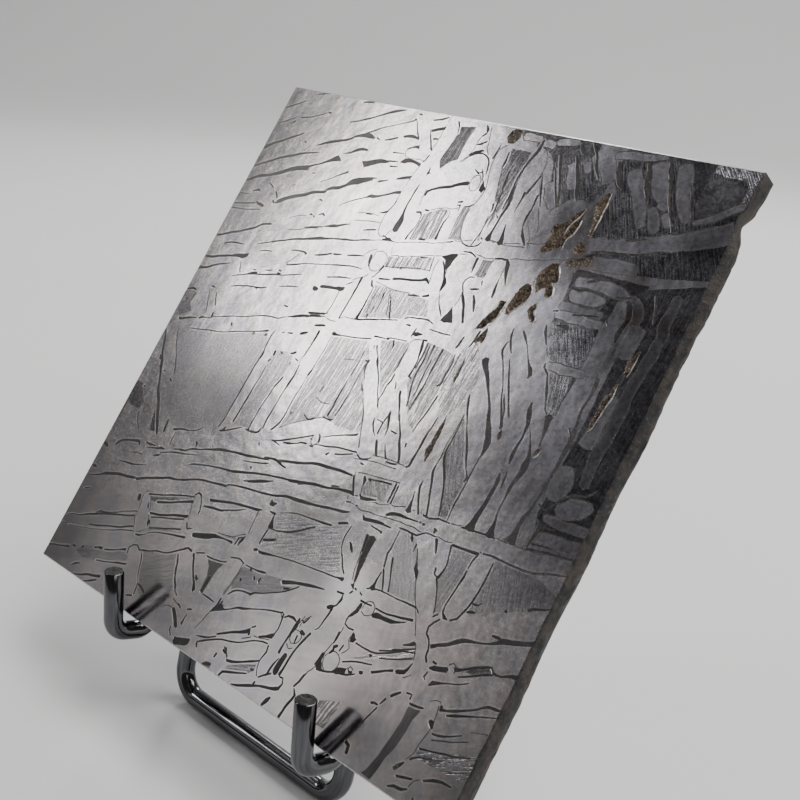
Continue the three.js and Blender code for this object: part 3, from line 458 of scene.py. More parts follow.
    (46.3, 37.2, 0.06, 47, 36, 0.12, 47.8, 34.9, 0.14),
    (43.1, 30.8, 0.14, 44, 30.5, 0.2, 44.9, 30.8, 0.16, 45.4, 31.1, 0.08),
    (51.3, 36.8, 0.14, 51.2, 35.2, 0.3, 51.1, 33.5, 0.25, 51, 32, 0.3, 50.6, 31.8, 0.1),
    (29.5, 28, 0.12, 30.5, 28.3, 0.2, 31.5, 28.7, 0.26, 32.5, 29.2, 0.16, 33.7, 29.8, 0.16,
     35.4, 30.7, 0.2),
    (31.4, 28.3, 0.18, 32.3, 28.5, 0.3, 33.2, 28.8, 0.1, 34.2, 29.3, 0.14, 35, 29.4, 0.22),
    (35.2, 30.2, 0.1, 35.5, 30.1, 0.2),
    (35.6, 29.3, 0.14, 36.2, 29.4, 0.2),
    (36.1, 31.2, 0.08, 36.5, 30.8, 0.2, 36.7, 30.2, 0.3),
    (36.3, 29.8, 0.06, 38, 30.1, 0.12, 40, 30.6, 0.12, 42, 30.9, 0.16, 43, 31, 0.1),
    (37, 31, 0.06, 38.5, 31.7, 0.1, 40, 32.3, 0.12, 41.7, 32.9, 0.25, 41.8, 33.2, 0.1),
    (38.7, 29.2, 0.3, 39.1, 29.6, 0.12),
    (40, 29.7, 0.14, 40.8, 29.9, 0.12, 42.5, 30.6, 0.08),
    (44.3, 30, 0.1, 44.8, 30, 0.14),
    (32.3, 32.6, 0.1, 33.4, 32.2, 0.14, 34, 32.5, 0.28, 34.2, 32.8, 0.08),
    (36.2, 38.5, 0.08, 36.1, 36.5, 0.2, 36.1, 35, 0.2, 36, 33.6, 0.25),
    (35.3, 33.3, 0.12, 36.3, 33.2, 0.14, 36.8, 33.3, 0.3),
    (37.5, 37.5, 0.12, 37.3, 35.5, 0.2, 37.1, 34, 0.14),
    (36.5, 42.8, 0.08, 36.5, 40.8, 0.12, 36.3, 39.4, 0.12),
    (33.1, 36.8, 0.06, 32.9, 36, 0.06),
    (30.1, 32.2, 0.18, 30.3, 32, 0.08),
    (29.4, 28, 0.05, 31, 27.8, 0.05),
    (24.3, 24.5, 0.25, 27, 24.9, 0.3, 30.5, 25.6, 0.25),
    (29.6, 25.6, 0.14, 31.5, 26, 0.3, 32.6, 25.8, 0.28, 33.8, 25.6, 0.1),
    (32, 26.1, 0.1, 34, 26.6, 0.2, 36.2, 27.1, 0.28, 38, 27.7, 0.38, 40, 27.9, 0.38, 42, 28.2, 0.32,
     44, 28.3, 0.25),
    (32.2, 26, 0.1, 33.5, 26.3, 0.2, 35.5, 26.8, 0.12),
    (35.3, 24.4, 0.28, 37, 24.8, 0.32, 39, 25.3, 0.32, 41, 25.6, 0.25, 43, 26.1, 0.35, 45.3, 26.4, 0.42,
     45.6, 26.2, 0.12),
    (36.8, 24.6, 0.35, 37.6, 24.8, 0.1),
    (41.8, 26.1, 0.2, 43, 26.4, 0.12),
    (45.8, 28.8, 0.3, 46.1, 28.4, 0.5, 46.2, 27.8, 0.12),
    (46.3, 26.7, 0.08, 46.8, 26.4, 0.4, 47.8, 26.6, 0.3, 49, 26.9, 0.1),
    (46.7, 28.8, 0.3, 47, 28.5, 0.06),
    (47, 28.8, 0.1, 48.5, 29.1, 0.1, 50, 29.3, 0.08),
    (44.2, 28.4, 0.06, 44.9, 27.2, 0.1, 45.3, 26.5, 0.06),
    (45, 25.2, 0.14, 45.7, 25.4, 0.2),
    (46.6, 25.3, 0.25, 46.9, 25.3, 0.1),
    (27.6, 27, 0.12, 27.9, 26.6, 0.1),
    # In the upper right
    (53.6, 76, 0.3, 54.4, 75, 0.4, 55.2, 73.9, 0.3, 55.8, 72.5, 0.35, 56.7, 71.3, 0.2),
    (52.2, 75.6, 0.3, 52.5, 74.8, 0.5, 53, 74.3, 0.6),
    (52.4, 73.5, 0.2, 53.3, 72, 0.4, 54.2, 70.5, 0.5, 54.9, 68.8, 0.5, 55.3, 68.2, 0.2),
    (50, 73.4, 0.3, 50.8, 71.8, 0.3, 51.8, 70, 0.3, 52.6, 68.4, 0.35, 53.1, 66.9, 0.4),
    (50.4, 71.5, 0.2, 51.2, 69.9, 0.25, 52.2, 68.2, 0.25, 53, 66.8, 0.12),
    (58.4, 73.9, 0.5, 58.9, 72.6, 0.6, 59.6, 71.4, 0.6, 60.3, 70.8, 0.4),
    (62.1, 74.6, 0.4, 62.8, 73.2, 0.7, 63.3, 71.6, 0.8, 64, 70.5, 0.7),
    (64.8, 75, 0.3, 65.4, 73.7, 0.6, 66.1, 72, 0.4, 66.8, 70.5, 0.3, 67.5, 69.3, 0.3, 68.4, 67.8, 0.3,
     68.8, 67, 0.15),
    (68.4, 72.8, 0.12, 69, 71.8, 0.14, 69.6, 70.6, 0.14, 70.3, 69.2, 0.15, 70.5, 68.7, 0.08),
    (60.2, 68.5, 0.06, 61, 66.4, 0.12, 61.8, 64.5, 0.12),
    (60.5, 62.6, 0.1, 62, 62.9, 0.14, 64, 63.2, 0.14, 66, 63.5, 0.15, 68, 64, 0.15, 69.6, 64.2, 0.1),
    (64, 64.8, 0.2, 65.5, 65.3, 0.25, 66.3, 65.5, 0.15),
    (60.3, 57.9, 0.2, 61.5, 57.8, 0.2, 61.9, 57.8, 0.06),
    (64.8, 57.9, 0.12, 65.5, 57.8, 0.2),
    (60.3, 56.9, 0.1, 60.7, 56.3, 0.2, 61, 56.2, 0.06),
    (62.2, 56.1, 0.1, 63.5, 56.2, 0.2, 64.6, 56.5, 0.2, 65.2, 57, 0.1),
    (61.8, 59, 0.2, 62.5, 59.4, 0.35, 63.4, 59.7, 0.15),
    (59.4, 54.7, 0.1, 60, 54.9, 0.12),
    (62, 54.9, 0.12, 64, 55.3, 0.14, 65.3, 55.5, 0.08),
    (66.3, 55.4, 0.2, 66.8, 54.8, 0.12),
    (65, 56.9, 0.25, 65.8, 56.7, 0.25),
    (66.2, 58.2, 0.15, 67, 58.3, 0.3, 67.9, 58.6, 0.1),
    (60.6, 53.2, 0.06, 61.3, 53.3, 0.2, 62.2, 53.3, 0.45, 62.4, 53.1, 0.12),
    (59.4, 52.9, 0.1, 59.8, 52, 0.35, 60.2, 51.3, 0.2, 60.6, 50.7, 0.12),
    (59.6, 59.6, 0.08, 59.9, 58.8, 0.12, 59.9, 57.8, 0.08),
    # In the middle right
    (53.9, 46.9, 1.0, 54.2, 46.3, 0.85, 54.8, 45.5, 0.6, 55.7, 44.4, 0.42, 56.7, 43, 0.25,
     57.6, 41.6, 0.3, 58.2, 40.4, 0.5, 59, 39, 0.8, 59.45, 38, 0.85, 59.5, 36.9, 0.4, 59.4, 36, 0.1),
    (54.2, 42.4, 0.1, 54.5, 41.5, 0.3, 55.1, 40.2, 0.25, 56, 38.6, 0.12, 56.9, 37.1, 0.25,
     57.8, 35.4, 0.2, 58.5, 34.2, 0.12, 59.1, 33.5, 0.3, 59, 32.9, 0.12),
    (54.8, 40, 0.05, 54.9, 38, 0.1, 54.8, 36.2, 0.1, 54.8, 35.1, 0.25, 55.4, 33.8, 0.3, 56.2, 32.6, 0.28,
     56.9, 31.3, 0.2, 57.4, 30.1, 0.25, 57.8, 28.9, 0.15, 58, 28.3, 0.08),
    (54.6, 35, 0.05, 54.5, 33.5, 0.1, 54.5, 32.5, 0.3, 55, 31.4, 0.25, 55.6, 30, 0.2, 56.1, 28.8, 0.2,
     56.5, 27.7, 0.25),
    (53.8, 31.2, 0.06, 53.8, 30.4, 0.3, 54.3, 29.3, 0.3, 54.8, 28.3, 0.25, 55.3, 27.5, 0.28),
    (53.4, 29.7, 0.05, 53.7, 28.7, 0.15, 53.8, 27.9, 0.4, 53.9, 27.3, 0.85),
    (50.6, 29.6, 0.22, 50.6, 27.2, 0.25),
    (51, 29.5, 0.2, 51.1, 27.2, 0.24),
    (51.6, 38.6, 0.05, 51.4, 36.8, 0.14),
    (55.6, 51.4, 0.12, 55.8, 50.3, 0.25, 56.3, 49.3, 0.25, 56.8, 48.5, 0.1),
    (55.7, 49.7, 0.08, 55.5, 48.5, 0.28, 56.3, 47.2, 0.16, 57.2, 45.7, 0.12, 57.9, 44.5, 0.12,
     58.4, 43.3, 0.16, 58.9, 42.4, 0.22, 59.5, 41.3, 0.3, 60.1, 40.2, 0.42, 60.1, 39.9, 0.2),
    (57, 47.8, 0.05, 57.8, 46.2, 0.12, 58.7, 44.6, 0.15, 59.5, 43.2, 0.15, 60.3, 41.8, 0.15,
     60.5, 41.5, 0.05),
    (58.5, 43.8, 0.06, 59, 42.9, 0.2, 59.5, 42, 0.2, 59.9, 41, 0.1),
    (56.9, 51.4, 0.14, 57.5, 50.8, 0.25, 58.3, 49.9, 0.1, 59, 48.9, 0.12, 59.6, 48.1, 0.2,
     60.2, 47.4, 0.5, 60.5, 46.8, 0.42, 60.4, 46.4, 0.1),
    (62.4, 44, 0.08, 62.5, 43.2, 0.5, 62.9, 42.3, 0.6, 63.2, 41.5, 0.45, 63.3, 40.5, 0.25,
     63.3, 39.5, 0.2, 63.2, 38.3, 0.3, 63.2, 37.5, 0.42, 63.3, 36.7, 0.12),
    (62.8, 35.4, 0.2, 63, 34.5, 0.5, 62.9, 33, 0.4, 62.8, 31.5, 0.45, 62.6, 30, 0.62, 62.5, 29.1, 0.85,
     62.45, 28.4, 1.35),
    (63.6, 35.8, 0.12, 63.7, 34.8, 0.28, 63.8, 33.9, 0.2),
    (63.6, 41.3, 0.05, 64.2, 40.3, 0.12, 64.9, 39, 0.3, 65.2, 38.2, 0.5, 65.25, 37, 0.9, 65.2, 36, 0.6,
     64.9, 35, 0.35, 64.8, 34, 0.35, 64.8, 33.2, 0.12, 64.8, 31.5, 0.12, 65, 30.5, 0.2, 65.1, 29.5, 0.55,
     65.2, 28.65, 1.15),
    (65.3, 43.2, 0.95, 65.45, 42.3, 0.7, 65.6, 41.4, 0.35, 65.7, 40.5, 0.15, 65.8, 39.7, 0.2),
    (61.7, 48.7, 0.1, 61.7, 48.2, 0.22, 62.1, 47.9, 0.2, 62.6, 47.5, 0.15, 63, 46.6, 0.2,
     63.4, 45.8, 0.35, 63.7, 45.1, 0.22, 64, 44.5, 0.1, 64.4, 43.7, 0.14, 64.8, 43.3, 0.15),
    (66, 48, 0.5, 66, 47.2, 0.2, 65.9, 46, 0.22, 65.8, 45, 0.14, 65.9, 44.2, 0.14),
    (68.7, 48.8, 0.5, 68.8, 48, 0.55, 68.8, 47, 0.3, 68.7, 46, 0.2, 68.6, 45, 0.25, 68.8, 44, 0.3,
     68.9, 43, 0.4, 69, 42, 0.65, 69.1, 41, 0.7, 69, 40, 0.5, 68.9, 38.5, 0.35, 68.8, 37, 0.3,
     68.7, 35.5, 0.3, 68.6, 34.2, 0.25, 68.4, 33, 0.25, 68.1, 32, 0.4, 68, 31, 0.35, 68, 30, 0.55,
     67.9, 29, 1.35),
    (68.2, 42.7, 0.15, 68.8, 42, 0.3),
    (71.2, 35.2, 0.06, 71.5, 35.6, 0.12, 72.3, 36.2, 0.16, 73.9, 36.7, 0.14, 74.6, 37.6, 0.1),
    (70, 29.1, 0.16, 72, 29.5, 0.18, 74, 29.8, 0.18, 75.9, 30.1, 0.1),
    (65.5, 26.7, 0.06, 67, 26.9, 0.12, 70, 26.9, 0.12, 72, 27.1, 0.16, 74, 27.8, 0.1, 75.8, 28.3, 0.08),
    (70.3, 32, 0.6, 70.3, 31, 0.35, 70.1, 29.9, 0.2, 70, 29.2, 0.1),
    (70.3, 32, 0.2, 71.3, 31.9, 0.14, 72.2, 32.1, 0.06),
    (51.3, 25.9, 0.3, 51.8, 26.2, 0.42, 52.8, 26.45, 0.3, 54, 26.55, 0.2, 55.8, 26.75, 0.12),
    (56, 26.75, 0.25, 56.2, 26.75, 0.22),
    (56.5, 26.7, 0.25, 56.8, 26.8, 0.2),
    (58.2, 26.85, 0.2, 58.5, 26.7, 0.5, 58.4, 26.4, 0.25),
    (50, 24.65, 0.2, 51.5, 24.75, 0.16, 52.8, 24.8, 0.1),
    (53.8, 25.2, 0.06, 55, 25.3, 0.12, 56.5, 25.3, 0.16, 57.4, 26, 0.1, 59, 26.1, 0.06),
    (59.1, 25.9, 0.35, 59.5, 25.2, 0.25, 59.9, 24.5, 0.15),
    (61.4, 26.15, 0.25, 63, 26.2, 0.2, 65, 26.45, 0.3),
    (61.3, 26, 0.2, 61.6, 25, 0.15, 61.8, 24.3, 0.14),
    (65, 26.3, 0.2, 64.7, 25.4, 0.12, 64.6, 24.5, 0.1),
    (59.4, 36, 0.05, 59.3, 34, 0.1, 59.3, 32, 0.1, 59.2, 30, 0.12, 59.3, 28.2, 0.06),
    (51.4, 49.8, 0.22, 51.2, 48.5, 0.2, 50.9, 47.6, 0.14),
    (56, 27.7, 0.1, 57, 27.6, 0.12, 58.2, 28, 0.14, 59.8, 28.1, 0.06),
    (61.5, 28.3, 0.12, 64, 28.6, 0.08, 66, 28.7, 0.06),
    (69, 34, 0.08, 70, 33.6, 0.1, 70.6, 34.4, 0.14, 71.2, 35.3, 0.1),
    (70.7, 59.6, 0.3, 71.2, 58.4, 0.35, 71.9, 56.4, 0.2),
    (51.4, 17.1, 0.12, 51.7, 16.9, 0.12),
    (52.1, 16.9, 0.12, 52.4, 16.8, 0.1),
    (53, 16.8, 0.12, 53.4, 16.6, 0.1),
    # In the lower left
    (17, 23.5, 0.2, 17.35, 23.3, 0.5, 17.5, 22.8, 0.1),
    (13.9, 21.3, 0.1, 15, 21.6, 0.2, 16, 21.8, 0.2, 17, 22.4, 0.25, 18.5, 22.8, 0.15, 19.5, 23.2, 0.2,
     21, 23.7, 0.3, 22.5, 24.1, 0.35, 24, 24.4, 0.22, 25.8, 24.8, 0.2),
    (8.2, 20.4, 0.2, 9, 20.4, 0.25, 10.3, 20.5, 0.1),
    (8.6, 19.8, 0.1, 9.8, 20.1, 0.2, 10.8, 20.3, 0.3, 11.5, 20.6, 0.35, 12.3, 20.7, 0.08),
    (11.6, 20, 0.1, 13, 20.5, 0.16, 14.5, 21, 0.2, 16, 21.3, 0.2, 17.2, 21.7, 0.12, 18.5, 22, 0.06),
    (10.7, 19.2, 0.1, 11.2, 19.4, 0.3, 11.8, 19.7, 0.2, 12, 20, 0.1),
    (17.8, 20.3, 0.06, 18.5, 20.7, 0.15, 20, 21.1, 0.14, 22, 21.6, 0.2, 24, 22, 0.25, 26, 22.3, 0.3),
    (0.1, 12.6, 0.1, 1.5, 13, 0.15, 2.8, 13.5, 0.2, 3.5, 13.9, 0.35, 5, 14.4, 0.4, 6.5, 14.8, 0.4,
     8, 15.1, 0.35, 9.4, 15.4, 0.35, 9.7, 15.4, 0.2),
    (9.8, 15.4, 0.4, 12, 16.3, 0.35, 14, 17, 0.35, 15.5, 17.6, 0.35, 17, 17.9, 0.25, 19, 18.6, 0.25,
     21, 19.3, 0.25, 23, 19.7, 0.3, 24.5, 20, 0.3, 26, 20.2, 0.3),
    (2.7, 18.2, 0.5, 3.3, 18.9, 0.35, 4.5, 19.5, 0.3, 5.8, 19.8, 0.3, 6.8, 20, 0.45, 7.2, 19.7, 0.25),
    (5, 16.4, 0.12, 6.5, 16.7, 0.2, 8, 16.9, 0.25, 9.2, 17.3, 0.12, 10.5, 17.7, 0.06),
    (0.3, 17.7, 0.45, 1, 17.5, 0.45, 1.4, 17.3, 0.1),
    (0.1, 14.2, 0.3, 0.8, 14.2, 0.4, 1.3, 14.1, 0.15),
    (10, 24.5, 0.2, 10.2, 23.9, 0.35, 10.3, 23, 0.4, 10.4, 22.7, 0.2),
    (11.9, 23.6, 0.25, 12.5, 23.8, 0.25, 13.5, 24.2, 0.2, 14.5, 24.3, 0.1, 16, 24.8, 0.1, 17.2, 25.7, 0.1),
    (0.2, 6.2, 0.06, 1.5, 6.9, 0.1, 3, 7.3, 0.2, 4.5, 8, 0.2, 5.5, 8.4, 0.32, 7, 9, 0.28, 8.5, 9.5, 0.22,
     10, 10, 0.2, 11.5, 10.5, 0.2, 13.2, 11.1, 0.25),
    (6, 8.9, 0.15, 6.5, 9.2, 0.3, 7.5, 9.4, 0.2, 9, 9.9, 0.12, 11, 10.9, 0.1, 12.5, 11.5, 0.15,
     13.3, 11.8, 0.15),
    (12.1, 13.9, 0.25, 12.3, 13.4, 0.6, 12.6, 13.2, 0.3),
    (5.8, 6.9, 0.06, 7.5, 7.4, 0.14, 9.5, 8.1, 0.12, 11.5, 8.7, 0.12, 13, 9.4, 0.14, 14, 9.8, 0.15),
    (0.1, 5.1, 0.2, 1, 5.3, 0.12),
    (1.8, 5.4, 0.12, 4, 5.9, 0.1, 6, 6.4, 0.1, 8, 7, 0.1, 10, 7.7, 0.12, 12, 8.5, 0.14, 14, 9.2, 0.2,
     14.5, 9.3, 0.1),
    (15, 9.1, 0.12, 15.7, 9.2, 0.25, 16.3, 9.5, 0.15, 17, 9.9, 0.06),
    (9, 4.7, 0.25, 9.8, 5, 0.25, 10.5, 5.1, 0.4),
    (11, 5.2, 0.2, 12, 5.5, 0.2, 13.2, 6, 0.15, 14, 6.4, 0.2, 14.8, 6.7, 0.4),
    (0.2, 1.7, 0.3, 1.2, 2, 0.25, 2.5, 2.4, 0.2, 4.3, 2.9, 0.35),
    (5, 3.3, 0.38, 5.4, 3.5, 0.2),
    (6.7, 3.8, 0.45, 7, 4, 0.25),
    (10.5, 3.4, 0.1, 12, 3.8, 0.12, 13.5, 4.3, 0.15, 15, 4.8, 0.2, 16.2, 5.2, 0.2),
    (6.5, 1.1, 0.2, 7, 1.5, 0.3, 7.9, 1.9, 0.12),
    (7.8, 0.25, 0.1, 9, 0.6, 0.2, 10.5, 1.3, 0.3, 11.8, 1.6, 0.3, 12.8, 1.9, 0.4),
    (10.3, 0.2, 0.1, 11.5, 0.7, 0.15, 12.5, 1.3, 0.12),
    (1.1, 10.8, 0.1, 1.7, 11, 0.25, 2.3, 11.3, 0.1),
    (13.8, 14.5, 0.12, 16, 15.2, 0.1, 18, 15.9, 0.1, 20, 16.6, 0.1, 21.7, 17, 0.1),
    (15.8, 14.1, 0.2, 17, 14.5, 0.3, 18.5, 15.1, 0.2, 20, 15.7, 0.22, 21.3, 16.2, 0.35, 22, 16.4, 0.35),
    (15.6, 12.4, 0.3, 16.5, 12.6, 0.3, 18, 13, 0.25, 19.5, 13.6, 0.28, 21, 14.1, 0.35, 22.3, 14.5, 0.5),
    (16.3, 12, 0.1, 18, 12.6, 0.1, 20, 13.2, 0.15, 22, 13.9, 0.15),
    (16.9, 10.7, 0.15, 18, 11.1, 0.1, 19.5, 11.6, 0.1, 21, 12.2, 0.12, 22.3, 12.6, 0.1),
    (17, 10, 0.06, 18.5, 10.7, 0.12, 20, 11.1, 0.12, 22, 11.6, 0.2, 23.7, 12, 0.25),
    (17.2, 7.6, 0.15, 18, 7.9, 0.3, 19, 8.2, 0.15, 20, 8.6, 0.2, 20.3, 8.4, 0.2),
    (20.2, 8.7, 0.1, 22, 9.1, 0.1, 23.5, 10, 0.14, 24.3, 10.5, 0.14, 25.2, 11.1, 0.14, 26, 10.9, 0.1),
    (17.8, 7.4, 0.2, 18.3, 6.8, 0.25, 18.8, 5.6, 0.1, 19.3, 4.7, 0.15, 19.9, 3.9, 0.12, 20.1, 3, 0.25,
     20.2, 2.4, 0.2),
    (19, 1.8, 0.15, 20, 2.2, 0.15),
    (15.4, 6.4, 0.1, 15.2, 7.2, 0.12, 15.8, 7.8, 0.12, 16.5, 8, 0.1, 17.2, 7.6, 0.16),
    (21.6, 17.3, 0.1, 22.2, 17.8, 0.28, 22.7, 17.7, 0.2, 23.3, 17, 0.12, 23.8, 16, 0.12, 23.9, 15.4, 0.14),
    (22.8, 13.7, 0.14, 23.3, 13.1, 0.18, 24, 13.4, 0.08),
    (24, 9.8, 0.15, 24.5, 8.9, 0.3, 24.9, 8.2, 0.2, 25.5, 7, 0.25, 26, 6.3, 0.2),
    (19.9, 3.9, 0.1, 20.5, 3.8, 0.3, 21, 3.6, 0.35, 21.7, 3.3, 0.25),
    (12.6, 23.4, 0.06, 12.6, 22.4, 0.08, 12.7, 21.5, 0.05),
    (14.5, 13.5, 0.1, 14.7, 13, 0.28, 15, 12.7, 0.1),
    (16, 11.3, 0.14, 16.2, 11, 0.25, 16.5, 10.7, 0.1),
    (3.6, 23.6, 0.15, 4.3, 22.5, 0.22, 5.4, 21.5, 0.12),
    # In the lower middle
    (26, 22.3, 0.3, 28.5, 23.05, 0.25, 31, 23.7, 0.22, 33, 24.1, 0.2, 35.3, 24.5, 0.25),
    (26.5, 24, 0.06, 28.5, 24.5, 0.12, 30.3, 25, 0.2, 30.8, 25.2, 0.06),
    (28.3, 23.8, 0.25, 28.5, 23.7, 0.3),
    (26, 20.4, 0.25, 27, 20.7, 0.25, 29.5, 21.2, 0.25, 32, 21.5, 0.2, 34, 21.9, 0.25, 36, 22.5, 0.35,
     38.5, 22.8, 0.42, 41, 23.2, 0.3, 43.5, 23.7, 0.3, 45.3, 24, 0.3, 46.2, 24.3, 0.1),
    (48.2, 24.7, 0.1, 48.6, 24.35, 0.4, 49.5, 24.5, 0.42, 51.5, 24.8, 0.25),
    (45.5, 22.5, 0.2, 46, 22.7, 0.25, 46.8, 23, 0.2),
    (28.3, 21.8, 0.1, 29.5, 22.2, 0.3, 31, 22.7, 0.4, 32.3, 23.2, 0.2, 33, 23.5, 0.1),
    (34.25, 21.4, 0.1, 34.35, 20.95, 0.45, 34.8, 20.9, 0.55, 35.2, 21.2, 0.2),
    (24.5, 17.7, 0.3, 26.5, 18.2, 0.3, 29, 18.8, 0.3, 31, 19.2, 0.3, 33, 19.5, 0.35, 33.5, 19.7, 0.08),
    (24, 16.6, 0.1, 25.8, 17, 0.3, 27.2, 17.2, 0.3, 28.2, 17.6, 0.12, 30, 18.3, 0.12, 31, 18.8, 0.06),
    (34.8, 20, 0.1, 35.3, 20, 0.2, 35.8, 20, 0.35, 35.8, 19.6, 0.15, 36, 18.9, 0.45, 36.15, 18.3, 0.85),
    (35.9, 18, 0.2, 35.8, 17, 0.15, 35.7, 15.9, 0.2),
    (36, 16.6, 0.2, 36.8, 16.9, 0.2, 37.8, 17.3, 0.3),
    (35.4, 15, 0.3, 35.9, 15.2, 0.35),
    (36.2, 15.1, 0.35, 37.3, 15.3, 0.35, 38.5, 15.5, 0.15, 40.5, 15.9, 0.12, 42.5, 16.2, 0.1,
     45, 16.5, 0.1, 47.5, 16.8, 0.12, 49, 16.95, 0.15),
    (48.9, 16.95, 0.1, 49.5, 17.05, 0.25, 49.95, 17.1, 0.5),
    (24.7, 12.8, 0.5, 26, 13.2, 0.62, 27.5, 13.7, 0.7, 28.5, 14.1, 0.5, 29.5, 14.25, 0.2,
     30.5, 14.35, 0.14, 31.6, 14.4, 0.3),
    (32.3, 15.4, 0.14, 32.1, 14.4, 0.18),
    (33.1, 15.9, 0.15, 32.9, 15.4, 0.42, 32.7, 14.9, 0.3, 32.65, 14.4, 0.15),
    (32.7, 15.6, 0.2, 32.1, 15.3, 0.15),
    (24.5, 10.6, 0.14, 25.3, 11.1, 0.14, 26, 11, 0.14),
    (26.5, 10.8, 0.4, 27, 10.2, 0.3, 27.5, 9.4, 0.28, 28.3, 8.4, 0.25, 29, 7.7, 0.35, 29.4, 7.1, 0.5,
     29.3, 6.8, 0.3),
    (26.9, 11.1, 0.1, 27.6, 11.4, 0.1, 28.2, 11.6, 0.1),
    (28.7, 11.4, 0.14, 30, 11.5, 0.14, 31.5, 11.8, 0.14, 32.2, 12.05, 0.2),
    (30.8, 9.4, 0.45, 30.8, 8.4, 0.55, 30.75, 7.3, 0.5),
    (28.6, 8.7, 0.2, 28.9, 8.5, 0.35),
    (24.6, 8.8, 0.14, 24.9, 8, 0.2, 25.5, 7, 0.15, 26.2, 6.2, 0.42, 26.6, 5.7, 0.1, 27.3, 5.3, 0.1),
    (28.2, 4.6, 0.14, 28.9, 4.3, 0.12),
    (30, 4.6, 0.14, 30.4, 4.8, 0.25, 30.8, 4.9, 0.1),
    (30.4, 4.2, 0.06, 30.3, 3.3, 0.15, 30.3, 2.7, 0.3),
    (27.8, 3.8, 0.45, 28.7, 3, 0.6, 29.4, 2.3, 0.6, 29.8, 2.1, 0.3),
    (28.8, 1.8, 0.1, 29, 1.3, 0.2, 29.5, 0.8, 0.15),
    (31.2, 7.2, 0.08, 32.5, 7.2, 0.1, 33.5, 7.1, 0.06),
    (32.6, 12.8, 0.08, 33.5, 13.1, 0.1, 34.2, 13.2, 0.12, 35, 12.9, 0.14),
    (35.3, 12.9, 0.06, 37, 13, 0.1, 38.4, 13.2, 0.22, 39, 13.3, 0.12),
    (36.4, 12.8, 0.15, 36.7, 12.7, 0.12),
    (37.4, 12.2, 0.25, 37.7, 11.9, 0.35),
    (35.6, 11.1, 0.3, 35.8, 11, 0.35),
    (38.6, 12.5, 0.2, 38.5, 12, 0.28, 38.8, 11.7, 0.1),
    (38.2, 10.1, 0.3, 38.8, 10.6, 0.22, 39.8, 11, 0.12, 41, 11.6, 0.1, 42.3, 12.2, 0.1, 43.5, 13, 0.12,
     44.6, 13.9, 0.1),
    (41.9, 13.4, 0.55, 43, 13.8, 0.45, 44, 14.1, 0.3, 45, 14.4, 0.35, 46.3, 14.7, 0.35, 47.3, 14.9, 0.2,
     48.2, 15.1, 0.08),
    (42.5, 12.8, 0.2, 43.3, 13.1, 0.2),
    (38.2, 10.2, 0.12, 36.5, 9.95, 0.12, 35.5, 9.4, 0.16, 35, 8.8, 0.08),
    (34.3, 8, 0.2, 34.2, 7, 0.25, 33.8, 6.2, 0.28),
    (34.8, 7.8, 0.14, 34.8, 7.2, 0.2),
    (33.6, 5.9, 0.14, 34.2, 6.4, 0.35, 34.8, 6.8, 0.45, 35.5, 7, 0.15, 36.5, 7.5, 0.1, 37.5, 8.1, 0.2,
     38.3, 8.3, 0.25, 39.5, 8.8, 0.12, 41, 9.4, 0.12, 42.5, 9.9, 0.14, 43.8, 10.2, 0.14, 44.2, 10.4, 0.2),
    (36.4, 4.1, 0.2, 37.5, 4.7, 0.3, 38.5, 5.3, 0.32, 39.5, 5.8, 0.35, 40.3, 6.2, 0.45, 40.75, 6.5, 0.7,
     41, 6.1, 0.3),
    (33.5, 2.6, 0.1, 34.5, 2.9, 0.25, 35.5, 3.3, 0.2, 36.4, 3.8, 0.14),
    (34, 2, 0.1, 34.8, 2.5, 0.2, 36, 3.2, 0.2, 37.5, 3.9, 0.12, 39, 4.3, 0.15, 40.5, 4.9, 0.12,
     42, 5.8, 0.12, 43.5, 6.3, 0.14, 44.3, 6.4, 0.1),
    (42.5, 6.5, 0.15, 43.5, 7, 0.3, 44.3, 7.4, 0.65, 44.55, 7.7, 0.25),
    (40.9, 7, 0.14, 41.4, 7.4, 0.2),
    (30.2, 0.9, 0.2, 31.5, 1.2, 0.3, 32.8, 1.7, 0.3),
    (30.5, 0.4, 0.75, 31.3, 0.8, 0.85, 32.3, 1.2, 0.8, 32.75, 1.45, 0.6),
    (34.1, 1.9, 0.14, 34.4, 1.5, 0.15),
    (38.5, 3, 0.25, 39.2, 2.8, 0.2),
    (39.7, 2.2, 0.28, 40.5, 2.4, 0.3, 42, 3, 0.2, 43.5, 3.8, 0.2, 44.4, 4.3, 0.15),
    (37.8, 2.2, 0.28, 37.7, 1.6, 0.2),
    (39.7, 0.2, 0.3, 40, 0.8, 0.3, 41, 1.2, 0.25, 42, 1.6, 0.2, 43.5, 2.2, 0.08),
    (36.5, 0.2, 0.3, 37, 0.5, 0.5, 37.7, 0.7, 0.4),
    (42, 0.2, 0.1, 43, 0.5, 0.25, 44.5, 1.1, 0.3, 46, 1.8, 0.2, 47.5, 2.3, 0.28, 48.6, 2.7, 0.45),
    (45.2, 2, 0.22, 45.1, 1.6, 0.25),
    (45.3, 2.6, 0.1, 46, 3.2, 0.14, 46.8, 3.8, 0.14),
    (44.4, 10.3, 0.15, 44.6, 9.3, 0.12, 44.7, 8.5, 0.1, 44.4, 7.5, 0.1),
    (44.5, 6.3, 0.15, 44.7, 5.5, 0.2, 44.4, 4.5, 0.1, 44.5, 3.5, 0.1, 45, 2.6, 0.08),
    (44.7, 10, 0.14, 45.2, 10.4, 0.25, 46, 10.5, 0.3, 46.6, 10.3, 0.15),
    (46.9, 10.8, 0.2, 46.9, 9.8, 0.5, 46.7, 8.8, 0.3, 46.5, 7.5, 0.16, 46.4, 6.2, 0.28),
    (46.8, 5.7, 0.08, 46.5, 4.8, 0.2, 46.3, 3.8, 0.25, 46.2, 3.2, 0.1),
    (47.3, 10.8, 0.12, 47.7, 10.6, 0.28, 48.2, 11.5, 0.1),
